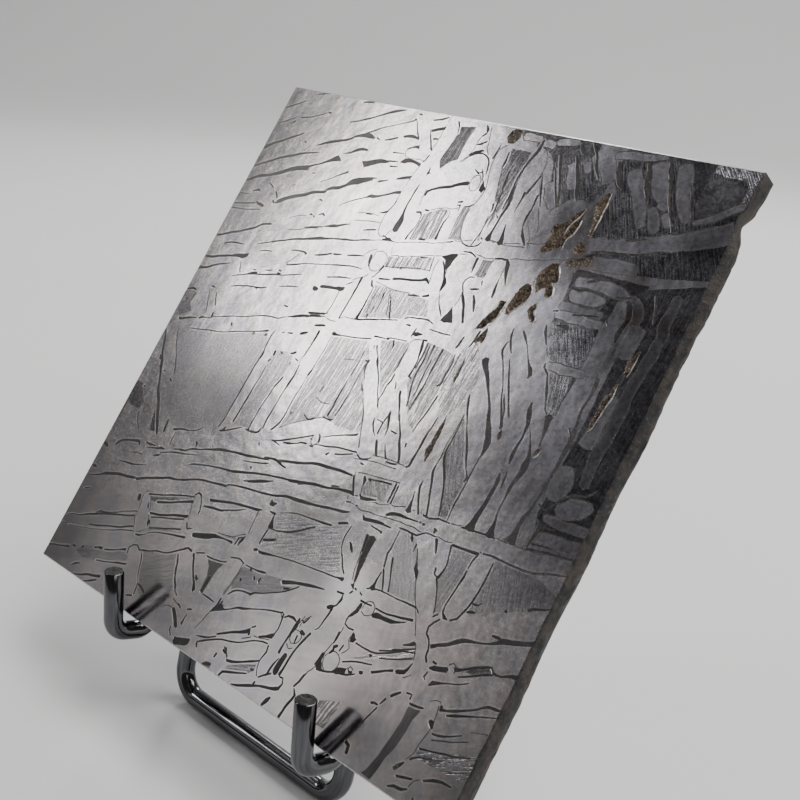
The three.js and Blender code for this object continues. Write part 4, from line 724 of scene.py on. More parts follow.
    (47.9, 9.6, 0.45, 48.6, 9.5, 0.25),
    (47.7, 9, 0.2, 47.8, 8, 0.12),
    (49.3, 10, 0.28, 48.9, 9, 0.25, 48.5, 7.8, 0.2, 48.2, 6.5, 0.25, 48.1, 5, 0.25, 48, 4.1, 0.35),
    (47.5, 6.5, 0.5, 47.3, 5.5, 0.72, 47.2, 4.3, 0.78, 47.2, 3.95, 0.5),
    (48.1, 4, 0.1, 48.7, 4.1, 0.18, 49, 3.5, 0.2, 48.7, 2.7, 0.4),
    (51, 15.6, 0.1, 51.1, 15, 0.28, 50.8, 14.2, 0.16, 50.4, 13.9, 0.2),
    (49.7, 13.5, 0.3, 50.1, 13.7, 0.5, 50.4, 13.9, 0.35, 50.4, 13, 0.22, 50.2, 12, 0.15, 50, 11, 0.1,
     49.6, 10.6, 0.06),
    (48.4, 21.2, 0.2, 48.9, 20.7, 0.4, 49.3, 20.3, 0.2),
    (47.5, 23, 0.05, 47.3, 21.5, 0.1, 47.6, 20.2, 0.1, 48.4, 19.2, 0.12, 49, 18.3, 0.2, 49.7, 17.7, 0.12),
    (50.15, 22.9, 0.35, 50.4, 21.6, 0.35, 50.55, 20.9, 0.2),
    (51.15, 22.9, 0.95, 51.1, 21.5, 0.85, 51.05, 20.3, 0.75, 51.3, 19, 0.5, 51.6, 17.5, 0.3),
    (36.5, 18.2, 0.06, 38.5, 18.6, 0.1, 40.5, 19.6, 0.1, 42.5, 20.9, 0.14),
    (36.5, 20.4, 0.06, 38.5, 21.2, 0.1, 41, 21.5, 0.12, 43.5, 21.8, 0.22, 44.7, 22, 0.18),
    (43.7, 2.9, 0.1, 44.2, 3, 0.12),
    (47.6, 0.2, 0.25, 48, 1, 0.45, 48.3, 1.5, 0.2),
    # In the lower right
    (50, 24, 0.08, 51.5, 23.9, 0.12, 51.8, 23.8, 0.38),
    (54.1, 25, 0.08, 54.1, 23.5, 0.08, 54.1, 22.7, 0.2, 54, 22, 0.22, 54.2, 21.4, 0.25, 54.4, 20.5, 0.2),
    (54.4, 19.9, 0.1, 54.3, 19, 0.14, 54.3, 18.3, 0.3, 54.3, 17.75, 0.85),
    (54.9, 21.9, 0.14, 55.4, 20.8, 0.1, 55.9, 19.8, 0.06, 56.5, 18.3, 0.06),
    (54.5, 20.3, 0.15, 55.1, 19.3, 0.15, 55.7, 18.1, 0.14),
    (55.8, 25.2, 0.1, 56.1, 24.8, 0.42, 56.3, 24.5, 0.2),
    (57, 24.4, 0.2, 57.1, 23.5, 0.1),
    (57.4, 24, 0.1, 58.1, 22.8, 0.14, 58.4, 22, 0.5, 58.8, 21.6, 0.5, 59.2, 20.8, 0.08, 60, 19.3, 0.1,
     60.7, 18.4, 0.12, 61.4, 17.9, 0.2),
    (61.8, 24.5, 0.14, 61.9, 23.5, 0.12, 61.7, 22.5, 0.3, 61.5, 22.1, 0.3, 62.2, 21, 0.15,
     62.8, 19.8, 0.14, 63.2, 18.7, 0.15),
    (60.8, 23.1, 0.2, 61, 22.4, 0.15, 61.4, 22.2, 0.15),
    (64.6, 24.3, 0.1, 64.6, 23.5, 0.25, 64.4, 22, 0.12, 64.1, 20, 0.12, 64.2, 19.2, 0.2, 64.6, 18.8, 0.42,
     65.1, 18.7, 0.1),
    (63.3, 18.3, 0.1, 63.8, 18.8, 0.12),
    (67.2, 26.3, 0.08, 67.2, 24, 0.12, 67.1, 22.5, 0.12, 66.9, 21.2, 0.14, 66.5, 20.1, 0.14,
     66.2, 19.3, 0.12, 65.5, 18.8, 0.1),
    (66.9, 20.4, 0.15, 67.3, 20.6, 0.38, 67.9, 20.75, 0.1),
    (67.1, 21.5, 0.2, 67.8, 21.6, 0.14, 68.2, 22, 0.06),
    (73.4, 23.5, 0.25, 74, 23.9, 0.25, 75.3, 24.3, 0.14, 75.9, 24.7, 0.1),
    (71.1, 22.4, 0.3, 71.3, 22.3, 0.25),
    (64.8, 15.4, 0.4, 65.5, 15.9, 0.3, 66.5, 16.4, 0.35, 67.3, 17.1, 0.45, 68, 17.6, 0.45, 69, 17.9, 0.35,
     70, 18.2, 0.16, 71, 18.6, 0.16, 71.8, 19, 0.32, 72.3, 19.4, 0.6, 73.5, 19.8, 0.5, 75, 20.4, 0.5,
     75.85, 20.8, 0.5),
    (71, 19.5, 0.15, 72, 19.55, 0.3),
    (63.4, 17.2, 0.14, 63.6, 16.4, 0.14, 64.2, 16, 0.1, 64.7, 15, 0.12, 64.8, 14.3, 0.14, 65.2, 13.8, 0.14),
    (63.4, 17.1, 0.1, 63.9, 17.9, 0.14, 64.3, 18.4, 0.1),
    (65.8, 13.4, 0.12, 66.3, 13.6, 0.45, 67.2, 13.9, 0.5, 67.9, 14.2, 0.62),
    (65.9, 14.2, 0.12, 66.4, 14.1, 0.14),
    (68.7, 14.6, 0.45, 69.3, 14.8, 0.28, 69.6, 15, 0.2, 70.7, 15.7, 0.25, 71.7, 16.2, 0.2,
     72.6, 16.6, 0.25, 73, 16.2, 0.25, 74, 16.3, 0.16, 75, 16.8, 0.3, 75.85, 17, 0.5),
    (69.5, 14.1, 0.1, 71, 14.9, 0.2, 72.3, 15.7, 0.25, 73.1, 16.05, 0.2),
    (65.9, 13, 0.1, 65.7, 12.3, 0.2, 66, 12.1, 0.08),
    (66.7, 11.8, 0.1, 67, 12.2, 0.45, 67.6, 12.5, 0.28, 68.5, 12.9, 0.1, 70, 13.5, 0.1, 71, 14.1, 0.06),
    (69.3, 10.7, 0.25, 69.4, 10.2, 0.38),
    (69.6, 10.4, 0.3, 70, 10.5, 0.2, 71, 10.9, 0.25, 72.2, 11.6, 0.16, 73.3, 12.3, 0.16, 74.3, 13, 0.3,
     75.85, 13.3, 0.22),
    (70.3, 10.1, 0.12, 71.2, 10.5, 0.28, 72.5, 11.1, 0.2, 74, 11.8, 0.1, 75.8, 12.5, 0.06),
    (68.8, 8.7, 0.4, 69.1, 8.7, 0.6, 69.4, 8.2, 0.25),
    (69.7, 7.8, 0.12, 70.7, 8, 0.25, 71.6, 8.4, 0.12, 73, 9.2, 0.08),
    (69.1, 5.8, 0.2, 70.5, 6.2, 0.12, 72, 6.7, 0.14, 73.5, 7.1, 0.12, 75, 7.8, 0.06),
    (68.7, 4.4, 0.14, 69.5, 5, 0.1, 71, 5.5, 0.06),
    (67.3, 2.7, 0.25, 67.7, 3.1, 0.45, 68.2, 3.8, 0.15),
    (68, 2.2, 0.2, 69, 2.5, 0.2, 70, 2.8, 0.14),
    (71.2, 3.3, 0.15, 72.3, 3.9, 0.28, 73.3, 4.2, 0.28, 74.5, 4.3, 0.1),
    (67.6, 0.8, 0.12, 68.3, 1.2, 0.28, 69.3, 1.3, 0.28, 70, 1.7, 0.12),
    (71, 1.3, 0.2, 71.6, 0.5, 0.2, 71.8, 0.2, 0.15),
    (65.6, 9.2, 0.2, 66.5, 9.3, 0.2, 67.4, 9.5, 0.14),
    (60.4, 2.2, 0.4, 61, 2, 0.45, 61.2, 1.2, 0.35),
    (62.1, 7, 0.1, 61.8, 6.3, 0.08, 61.4, 5.3, 0.1, 61.1, 4.3, 0.1),
    (62, 7.3, 0.15, 61.5, 7.3, 0.2, 61.1, 7.1, 0.28),
    (62.6, 8.3, 0.22, 62.2, 7.5, 0.12),
    (63, 8.8, 0.28, 63.5, 9.3, 0.28, 64, 9.7, 0.16),
    (64.7, 10, 0.14, 65.4, 10.1, 0.12, 65.4, 9.6, 0.16),
    (63.65, 12.9, 0.1, 63.4, 12.1, 0.3, 63.2, 11.7, 0.45, 62.7, 11.5, 0.45, 62.2, 11.3, 0.35),
    (59.3, 9.9, 0.25, 60.3, 10.4, 0.25, 61.2, 10.9, 0.2, 61.8, 11.2, 0.28),
    (57.9, 9.2, 0.35, 58.3, 9.3, 0.4),
    (56.2, 8.9, 0.1, 56.6, 8.6, 0.28, 57, 8.75, 0.25),
    (55, 8, 0.45, 55.6, 8.3, 0.58, 56, 8.5, 0.4),
    (52.9, 7.05, 0.12, 54, 7.4, 0.2, 55, 7.8, 0.15, 56.5, 8.2, 0.15, 57.5, 8.8, 0.1),
    (52.3, 8.8, 0.38, 52.2, 8.2, 0.35, 52.3, 7.5, 0.6, 52.5, 7.15, 0.5, 53, 7.05, 0.2),
    (53, 11.8, 0.28, 53, 11, 0.25, 52.9, 10.4, 0.1),
    (53.6, 10.4, 0.3, 53.2, 10.1, 0.4, 53.3, 9.7, 0.35, 53, 9.2, 0.18),
    (54.3, 10.8, 0.1, 54.1, 10, 0.12),
    (54.85, 12.45, 0.3, 55, 12, 0.6, 55.2, 11.75, 0.9),
    (55.7, 11.7, 0.1, 57.5, 11.7, 0.1, 58.8, 11.9, 0.1, 60.5, 12.7, 0.12, 61.7, 13.4, 0.1),
    (61.5, 14.1, 0.1, 62.1, 14.4, 0.2, 62.75, 14.85, 0.5),
    (58.1, 11.3, 0.25, 58.4, 11.4, 0.2),
    (56, 16.1, 0.14, 57.5, 16.1, 0.12, 59, 16.4, 0.14, 60.3, 16.7, 0.2, 61.2, 16.9, 0.28),
    (56, 15.2, 0.4, 56.4, 15.45, 0.6, 57.5, 15.6, 0.4, 58.7, 15.65, 0.45, 59.5, 15.9, 0.2,
     60.5, 16.4, 0.08),
    (53.6, 16, 0.2, 54.4, 16, 0.15, 55.3, 16.1, 0.14),
    (53.95, 15.7, 0.45, 53.8, 14.8, 0.5, 53.4, 14.2, 0.38, 53.1, 13.8, 0.14, 53.1, 12.9, 0.14,
     53.8, 12.7, 0.1, 54.6, 12.8, 0.12),
    (51.9, 16.7, 0.12, 51.6, 17.3, 0.2),
    (52, 16.5, 0.1, 51.7, 16.1, 0.08),
    (50, 15.6, 0.12, 51, 15.7, 0.12),
    (53.6, 17.5, 0.08, 54.7, 17.9, 0.08, 56.5, 18.1, 0.06, 58, 18.1, 0.06, 59, 18.2, 0.12,
     60.8, 18.3, 0.12),
    (51.5, 6.1, 0.06, 51.2, 5.6, 0.25, 51, 4.8, 0.25, 50.6, 4, 0.2),
    (50.8, 3.8, 0.15, 51.3, 3.2, 0.35, 51, 2, 0.3, 50.8, 1, 0.3, 50.6, 0.2, 0.4),
    (55.2, 9.2, 0.12, 57, 10, 0.1, 59, 10.6, 0.08),
    (59.5, 11.6, 0.05, 61.5, 12.4, 0.08, 63.4, 13.3, 0.1),
    (60.5, 13.1, 0.05, 62, 13.8, 0.08, 63.2, 14.4, 0.08),
    (59, 12.3, 0.05, 61.5, 13.4, 0.07, 63.4, 14, 0.07),
]

# Fields of fine intergrowth between the bands: tone, direction of their fine lines, how strong
# the lines are, and the outline
FIELDS = [
    (0.4, -62, 0.5, (58.6, 75.8), (75.8, 75.8), (75.8, 62.6), (70, 61.5), (60, 60.6), (59.5, 64),
     (60, 70), (58.6, 72)),
    (0.42, 86, 0.3, (69.4, 60), (75.8, 62), (75.8, 30.6), (70.3, 29.7), (69.4, 33), (69.6, 45)),
    (0.45, 8, 0.25, (59.8, 60.2), (69.4, 60.4), (69.3, 53.2), (60, 53.2)),
    (0.82, 80, 0.1, (4.3, 37), (9, 38), (13.5, 39.1), (19.4, 40.8), (20.3, 39), (20.3, 36), (20, 31),
     (19.8, 27.5), (17, 25.5), (15, 24.6), (11.5, 23.9), (9.3, 25), (8, 27), (6.5, 30.5), (4.4, 33.7),
     (2.7, 36.6)),
    (0.82, 86, 0.25, (22.3, 38.8), (25.7, 39.3), (25.9, 37.6), (25.5, 34.5), (24.8, 31), (24.7, 28),
     (21.6, 27.8), (21.8, 31.4), (22.1, 34.5), (22.1, 36.8)),
    (0.45, 80, 0.4, (0.2, 42.3), (2, 42.6), (2.6, 42), (2.3, 40.6), (3.4, 39.5), (1.7, 38.4), (0.5, 38.8)),
    (0.22, 85, 0.5, (33.2, 74.6), (34.3, 74.8), (35.8, 75), (35.6, 73.5), (35.4, 71.8), (35.5, 70.8),
     (35.5, 70.1), (34.6, 69.6), (33.5, 68.3), (33, 69), (32.7, 69.6), (33.1, 71.3), (33.4, 73.3)),
    (0.82, 88, 0.6, (34.5, 61.8), (35.6, 62.5), (37, 63.2), (38.3, 63.4), (38.4, 61.5), (38.3, 59.2),
     (36.5, 58.6), (34.4, 58.2)),
    (0.48, 88, 0.5, (40.1, 64.2), (41.1, 64.6), (41.2, 63), (41.6, 61), (42.2, 59.9), (40.3, 59.6),
     (40.2, 61.5)),
    (0.5, 80, 0.6, (42.8, 73), (45.8, 73), (46, 71), (45.7, 69), (45.8, 66), (45, 62), (44.6, 65.5),
     (43.9, 66.5), (43.3, 68.5), (42.8, 70.5)),
    (0.4, 88, 0.6, (46.8, 58.3), (48.2, 58.5), (48, 57.2), (48.2, 56.1), (46.6, 55.9), (46.8, 57)),
    (0.8, 85, 0.5, (33.6, 55.4), (36, 56), (39.3, 56.8), (40.2, 55.2), (37, 54.5), (33.5, 53.9)),
    (0.35, 85, 0.3, (32.6, 55.4), (33.5, 55.5), (33.3, 54.6), (33.4, 53.9), (32.8, 53.9), (32.9, 54.7)),
    (0.92, 84, 0.4, (30.3, 43.3), (33, 43.9), (36.4, 44.4), (37.9, 41.8), (38.9, 39), (40.6, 36.5),
     (42, 33.6), (41.6, 33.2), (38, 32.9), (36.4, 33.2), (34.8, 33), (33, 32), (31, 31), (29.6, 30.1),
     (29.3, 31.5), (29.7, 34), (29.9, 36.5), (30.1, 39.5)),
    (0.78, 85, 0.45, (38.2, 44.9), (40, 45.3), (42.4, 45.7), (42.6, 43.5), (42.5, 41), (42.2, 38.2),
     (41.4, 39), (40.2, 41), (39.3, 42.5)),
    (0.78, 86, 0.55, (44.9, 46.6), (47.8, 46.4), (49.7, 46), (49.8, 42), (49.6, 39), (49.1, 36),
     (48, 36.5), (46.3, 39), (45, 41)),
    (0.86, 84, 0.42, (32.8, 51.2), (36, 51.5), (42, 51.5), (43.3, 49.1), (40.3, 48.5), (38, 47.6),
     (36, 47.1), (33, 46.6), (32.9, 48.5)),
    (0.76, -50, 0.4, (46.3, 28.9), (49.8, 29.2), (50, 27), (48.2, 26.8), (46.4, 26.5)),
    (0.75, 70, 0.3, (44.8, 36.7), (45.6, 35.2), (44.5, 33.8)),
    (0.55, -60, 0.4, (54.2, 72), (55.4, 72.3), (56.5, 71.2), (57.9, 71), (58.6, 71.2), (58.2, 69.5),
     (57.3, 68.2), (55.6, 68.3), (54.9, 68.3), (54.4, 70)),
    (0.4, -60, 0.3, (67.2, 75.6), (70, 75.8), (70.1, 73.4), (68.6, 72.9), (68.1, 73.7)),
    (0.75, 30, 0.3, (70.1, 74), (73, 74.3), (75, 73.8), (75.4, 72.3), (73.5, 70.6), (72, 69.6),
     (70.8, 69), (70, 70.8)),
    (0.95, -50, 0.9, (70.3, 75.8), (75.9, 75.9), (75.9, 71.4), (75.1, 71.8), (75, 73.4), (74.3, 74.6),
     (72.5, 74.5), (70.4, 74.8)),
    (0.5, -62, 0.5, (60, 70.8), (62.4, 69.8), (63.2, 67.8), (64.6, 66.4), (65.5, 65.6), (63.5, 64.6),
     (61.8, 64.1), (60, 63.9), (59.7, 66), (59.8, 68.5)),
    (0.68, -60, 0.5, (60, 53.5), (62.5, 53.8), (65.5, 54.2), (66, 53), (66.8, 50), (66.8, 49.2),
     (64, 49.1), (62, 49.2), (60.8, 50)),
    (0.72, -62, 0.5, (54.9, 39.8), (56.1, 38.4), (57.1, 36.8), (58, 35), (59, 33.3), (59.2, 31),
     (59.2, 28.4), (58.1, 28.3), (57.6, 29.8), (57, 31.2), (56.2, 32.8), (55.2, 34.3), (54.9, 35.5)),
    (0.76, -75, 0.5, (62.6, 47.9), (66.2, 48), (65.9, 45), (66, 43.5), (64.9, 43.2), (64.2, 44),
     (63.7, 45), (63.2, 46.5)),
    (0.76, -70, 0.3, (62.4, 37.8), (63, 36), (63.5, 36), (63.4, 35), (62.9, 35.2), (62.5, 36.5)),
    (0.4, 18, 0.4, (13.8, 14.5), (15, 14.9), (17.5, 15.7), (20, 16.5), (21.8, 16.9), (21.9, 16.4),
     (21, 15.9), (19, 15.3), (17, 14.4), (15.5, 14), (14.4, 13.9), (14, 14.1)),
    (0.3, 18, 0.3, (15.8, 12.2), (18, 12.7), (20, 13.3), (22, 14), (22.4, 14.4), (21, 14), (18, 13),
     (16, 12.5)),
    (0.72, 30, 0.15, (18, 8), (20, 8.5), (22, 9.1), (24, 9.8), (24.6, 8.5), (25.2, 7), (26, 6.2), (26, 5),
     (24, 2.8), (21.6, 2.6), (20.3, 3.2), (19.4, 4.7), (18.9, 5.8)),
    (0.26, -60, 0.3, (5.9, 26.4), (6.9, 26), (8, 24.2), (9.3, 22.4), (7.7, 22), (6.9, 23.8)),
    (0.5, 70, 0.2, (0.2, 27.5), (1.5, 27.5), (2.5, 26.2), (3.7, 25.2), (3.5, 24), (1.5, 24), (0.2, 24.5)),
    (0.28, 80, 0.2, (28.8, 11.35), (30, 11.45), (31.5, 11.75), (32.1, 11.95), (31.6, 10.8), (31.2, 9),
     (31, 7.2), (30.5, 7.2), (30.5, 8.3), (30.4, 9.4), (29.9, 10.5), (29.3, 11.1)),
    (0.62, 20, 0.2, (35.2, 12.8), (38, 13), (39.5, 13.3), (41.8, 13.7), (41.9, 13), (44, 13.5),
     (42.3, 12.1), (40, 11.1), (38.4, 10.3), (36.5, 10), (35.2, 9.4), (34.8, 10), (35, 11.3)),
    (0.86, 24, 0.3, (36, 15.8), (36.1, 18), (36.5, 18.2), (36.5, 20.2), (41, 21.4), (44, 22), (47, 22.9),
     (47.3, 21.5), (47.6, 20), (49, 18.2), (48.8, 17.1), (45, 16.6), (41, 16)),
    (0.7, 20, 0.3, (26.2, 13.6), (28.5, 14.5), (31.5, 15.2), (32.3, 15.5), (32, 14.6), (31.4, 14.5),
     (29, 14.3), (27, 13.9)),
    (0.75, 22, 0.4, (40.1, 0.9), (43.6, 2.3), (44.3, 2.9), (44.4, 4.2), (42, 3), (40.3, 2.3)),
    (0.4, 80, 0.2, (36.3, 0.2), (37.9, 0.2), (37.9, 0.9), (37, 0.7)),
    (0.6, 80, 0.15, (61.9, 26), (64.5, 26.3), (64.5, 24), (64.3, 22), (64.1, 20), (64.2, 19.2),
     (63.3, 18.8), (62.6, 20.3), (61.7, 22.2), (61.9, 24)),
    (0.72, -70, 0.25, (67.3, 26.6), (73, 26.8), (75.8, 26), (75.8, 24.9), (74, 23.5), (71, 22.2),
     (68.5, 21), (67, 20.3), (67.1, 23)),
    (0.3, 80, 0.2, (65.7, 9.2), (67.3, 9.4), (66.9, 8), (66.7, 6), (66.3, 4), (65.9, 3), (65.7, 1.5),
     (65.4, 0.4), (64, 0.4), (64.6, 1.5), (65, 3), (65.3, 5), (65.6, 7)),
    (0.9, -60, 0.2, (54.2, 25.1), (56.6, 25.2), (58, 23), (59.5, 20.5), (60.6, 18.4), (57, 18.2),
     (56.5, 18.4), (55.5, 20.5), (54.8, 22), (54.2, 22.7)),
    (0.34, 25, 0.3, (70, 14.9), (71.2, 15), (72.3, 15.8), (73, 16.1), (72.5, 16.4), (71.5, 16),
     (70.6, 15.5)),
    (1.05, 28, 0.5, (56, 10), (59, 11.2), (61.5, 12.4), (63.4, 13.4), (63.3, 14.5), (61.5, 13.8),
     (59, 12.3)),
    (1.1, 75, 0.6, (54.7, 4.2), (57.5, 5.5), (58, 5.9), (57.3, 4), (57, 2), (55.6, 1.8)),
    (0.8, 25, 0.5, (69, 5.6), (75.8, 8.3), (75.8, 5.4), (72, 5), (69.3, 4.8)),
    (0.35, 88, 0.6, (50.1, 22.9), (51.7, 22.9), (51.6, 21), (51.6, 19.5), (51.75, 18), (51.8, 17.1),
     (51.3, 18.2), (50.9, 19.5), (50.6, 20.8), (50.3, 21.8)),
    (0.9, 86, 0.6, (49.9, 46), (50.6, 47.6), (51.6, 48.5), (52.6, 48.4), (53, 47), (53.6, 45.8),
     (54.4, 44.6), (54.4, 42.6), (53.8, 41), (53, 39.5), (52, 38.8), (51.3, 39.5), (50.4, 40.5),
     (50, 42)),
    (0.45, 60, 0.6, (43, 75.3), (44, 74.6), (46, 74.4), (46.6, 73.2), (47.2, 74), (48.6, 73.3),
     (49.4, 72.7), (50.2, 71.8), (51, 72.8), (52, 73.3), (53, 73.4), (54, 73.2), (55, 74.8), (55, 75.8),
     (43, 75.8)),
    (0.42, -58, 0.6, (49.8, 73.4), (51.6, 73.2), (53, 73.6), (54.3, 73.9), (55.2, 73.2), (55.9, 71.6),
     (56.7, 71), (57.6, 70.8), (58.5, 71), (58.2, 69.6), (57.3, 68.5), (55.5, 68.4), (54.5, 68.3),
     (53.4, 67), (52.8, 66.6), (51.6, 68), (50.6, 69.8), (49.9, 71.6)),
    (0.6, -58, 0.3, (66.9, 28.9), (67.5, 29.7), (67.9, 31), (68.3, 30.5), (68.5, 29.3), (68.3, 28.8)),
    (0.78, 20, 0.2, (16.8, 10.8), (18, 11.2), (20, 11.9), (22.5, 12.6), (22.9, 11.9), (20, 11.3),
     (18.3, 10.8), (17, 10.2)),
    (0.82, 20, 0.2, (6.8, 4.1), (9, 4.7), (12, 5.5), (14.9, 6.7), (16, 5.9), (15.5, 5), (13, 4.3),
     (10.5, 3.4), (8, 2.7), (6, 3)),
    (0.88, 20, 0.15, (9.2, 50.3), (10.5, 50.9), (12.5, 51.1), (14.3, 50.7), (14.9, 50), (14, 49.3),
     (12.5, 48.7), (10.8, 48.5), (9.3, 48.9), (8.7, 49.5)),
    (0.82, 20, 0.15, (9.9, 55), (11.5, 55.4), (13, 55.1), (13.1, 54.6), (11.5, 54.2), (10.2, 54)),
]

# Bands that lie over the fields: tone, then x, y and width at each point
BANDS = [
    (0.95, 63.6, 74.7, 2, 64.3, 73, 2.2, 65.2, 71.2, 1.9, 66.3, 70, 1),
    (0.95, 66.6, 75, 1.6, 67.3, 73.5, 1.9, 68.3, 71.5, 1.9, 69.2, 69.8, 1.7, 69.9, 68.6, 1.2),
    (0.9, 60.9, 73.3, 1.6, 61.7, 71.8, 1.9, 62.8, 70.3, 1.5, 63.9, 68.6, 1.4, 64.8, 66.8, 0.9),
    (0.9, 56.6, 73.8, 2, 57.5, 72.5, 2, 58.3, 71.3, 1.6),
    (0.95, 54.3, 73, 1, 54.9, 72, 0.9),
    (0.95, 52.5, 72.6, 1.4, 53.3, 71, 1.7, 54, 69.6, 1.4),
    (0.95, 50.6, 69.5, 1.6, 51.6, 68, 1.7, 52.5, 66.7, 1.2),
    (0.85, 65.2, 69.2, 1.2, 66.2, 67.5, 1.4, 66.8, 66.6, 1),
    (0.95, 32.8, 56.5, 1.7, 36, 57.2, 1.8, 39, 57.9, 1.7, 41.5, 58.7, 1.6, 44, 59.3, 1.8, 47, 59.8, 2,
     50, 60.2, 1.9, 53, 60.8, 1.9, 57, 62, 2.3, 60, 63.3, 1.9, 64, 64, 1.8, 68, 65.3, 2, 72, 66.8, 2.2,
     75.7, 68.4, 2.4),
    (0.85, 61, 61.2, 1.4, 64, 61.6, 1.7, 67, 61.7, 1.3),
    (0.9, 60.5, 58.8, 1.2, 63, 59, 1.3, 66, 58.8, 1.5, 67.5, 58.3, 0.8),
    (0.9, 60.5, 57, 1.5, 63, 57.2, 1.6, 65, 57, 1.3),
    (0.7, 60, 55.5, 0.9, 63, 55.7, 1, 65.5, 55.7, 0.8),
    (0.9, 60, 54.4, 1, 63, 54.6, 1.2, 66, 54.6, 0.9),
    (0.9, 67.3, 57.8, 1, 67.4, 56, 1.6, 67.2, 54, 2, 67.3, 51, 2.2, 67.3, 49, 2.2),
    (0.6, 68, 58.5, 0.7, 69.2, 58, 1, 69.7, 56.6, 1.1, 69.5, 54.5, 1.1, 69.1, 52.3, 1, 68.9, 50.3, 0.7),
    (0.75, 70.5, 55.5, 2, 70.3, 52, 2),
    (0.85, 62, 48.5, 0.9, 64, 48.6, 1, 66.8, 48.7, 0.8),
    (0.85, 71.3, 47.5, 1.6, 71.2, 44, 1.8, 71, 41.5, 1.8),
    (0.5, 73.2, 60, 1, 73.2, 57, 1.2, 73.5, 55, 1.2, 73, 50, 1.2, 72.9, 45, 1.3, 72.7, 41, 1.3,
     73, 37.5, 1),
    (1.0, 69.9, 38.6, 2, 70.3, 37.3, 2.6, 70.1, 36, 2.5, 69.9, 35.1, 1.6),
    (1.1, 71.3, 34.2, 1, 72.6, 34.7, 2.2, 74, 35.3, 2, 75, 35.6, 1),
    (0.9, 70.4, 33, 0.8, 72, 32.9, 1, 74, 33, 1, 75.7, 33.2, 1),
    (0.95, 70.2, 30.5, 1, 72, 30.9, 1.4, 74, 31, 1.4, 75.7, 31.4, 1.3),
    (0.97, 45.2, 25.8, 0.9, 49, 25.9, 1.1, 53, 26.6, 1.6, 58, 27, 1.9, 62, 27.4, 1.9, 66, 27.8, 1.8,
     70, 28, 1.9, 73, 28.6, 1.8, 75.7, 29.2, 1.7),
    (1.0, 50.6, 71.6, 0.8, 52, 69.4, 0.8, 53.2, 67.2, 0.5),
    (1.0, 43.8, 74.9, 0.9, 46.3, 75, 0.9),
    (1.0, 47.3, 74.6, 1, 48.6, 74.4, 1),
    (1.0, 48.9, 75, 0.8, 51.8, 75.4, 0.8),
    (1.0, 57.6, 74.7, 0.9, 59.5, 75, 1, 61.5, 75.1, 0.9, 64, 75.6, 0.5),
    (1.0, 65.8, 69.9, 0.8, 66.9, 69.5, 0.7),
    (1.0, 67, 68.8, 0.9, 68.1, 67.6, 0.8),
    (1.05, 70.8, 68.6, 0.5, 72.4, 69.4, 0.7, 74.2, 70.7, 0.8, 75.7, 71.6, 0.8),
    (1.1, 13.3, 14.5, 1.1, 14.2, 12.9, 1.9, 14.7, 11.3, 2.4, 15.5, 9.9, 2.3),
]

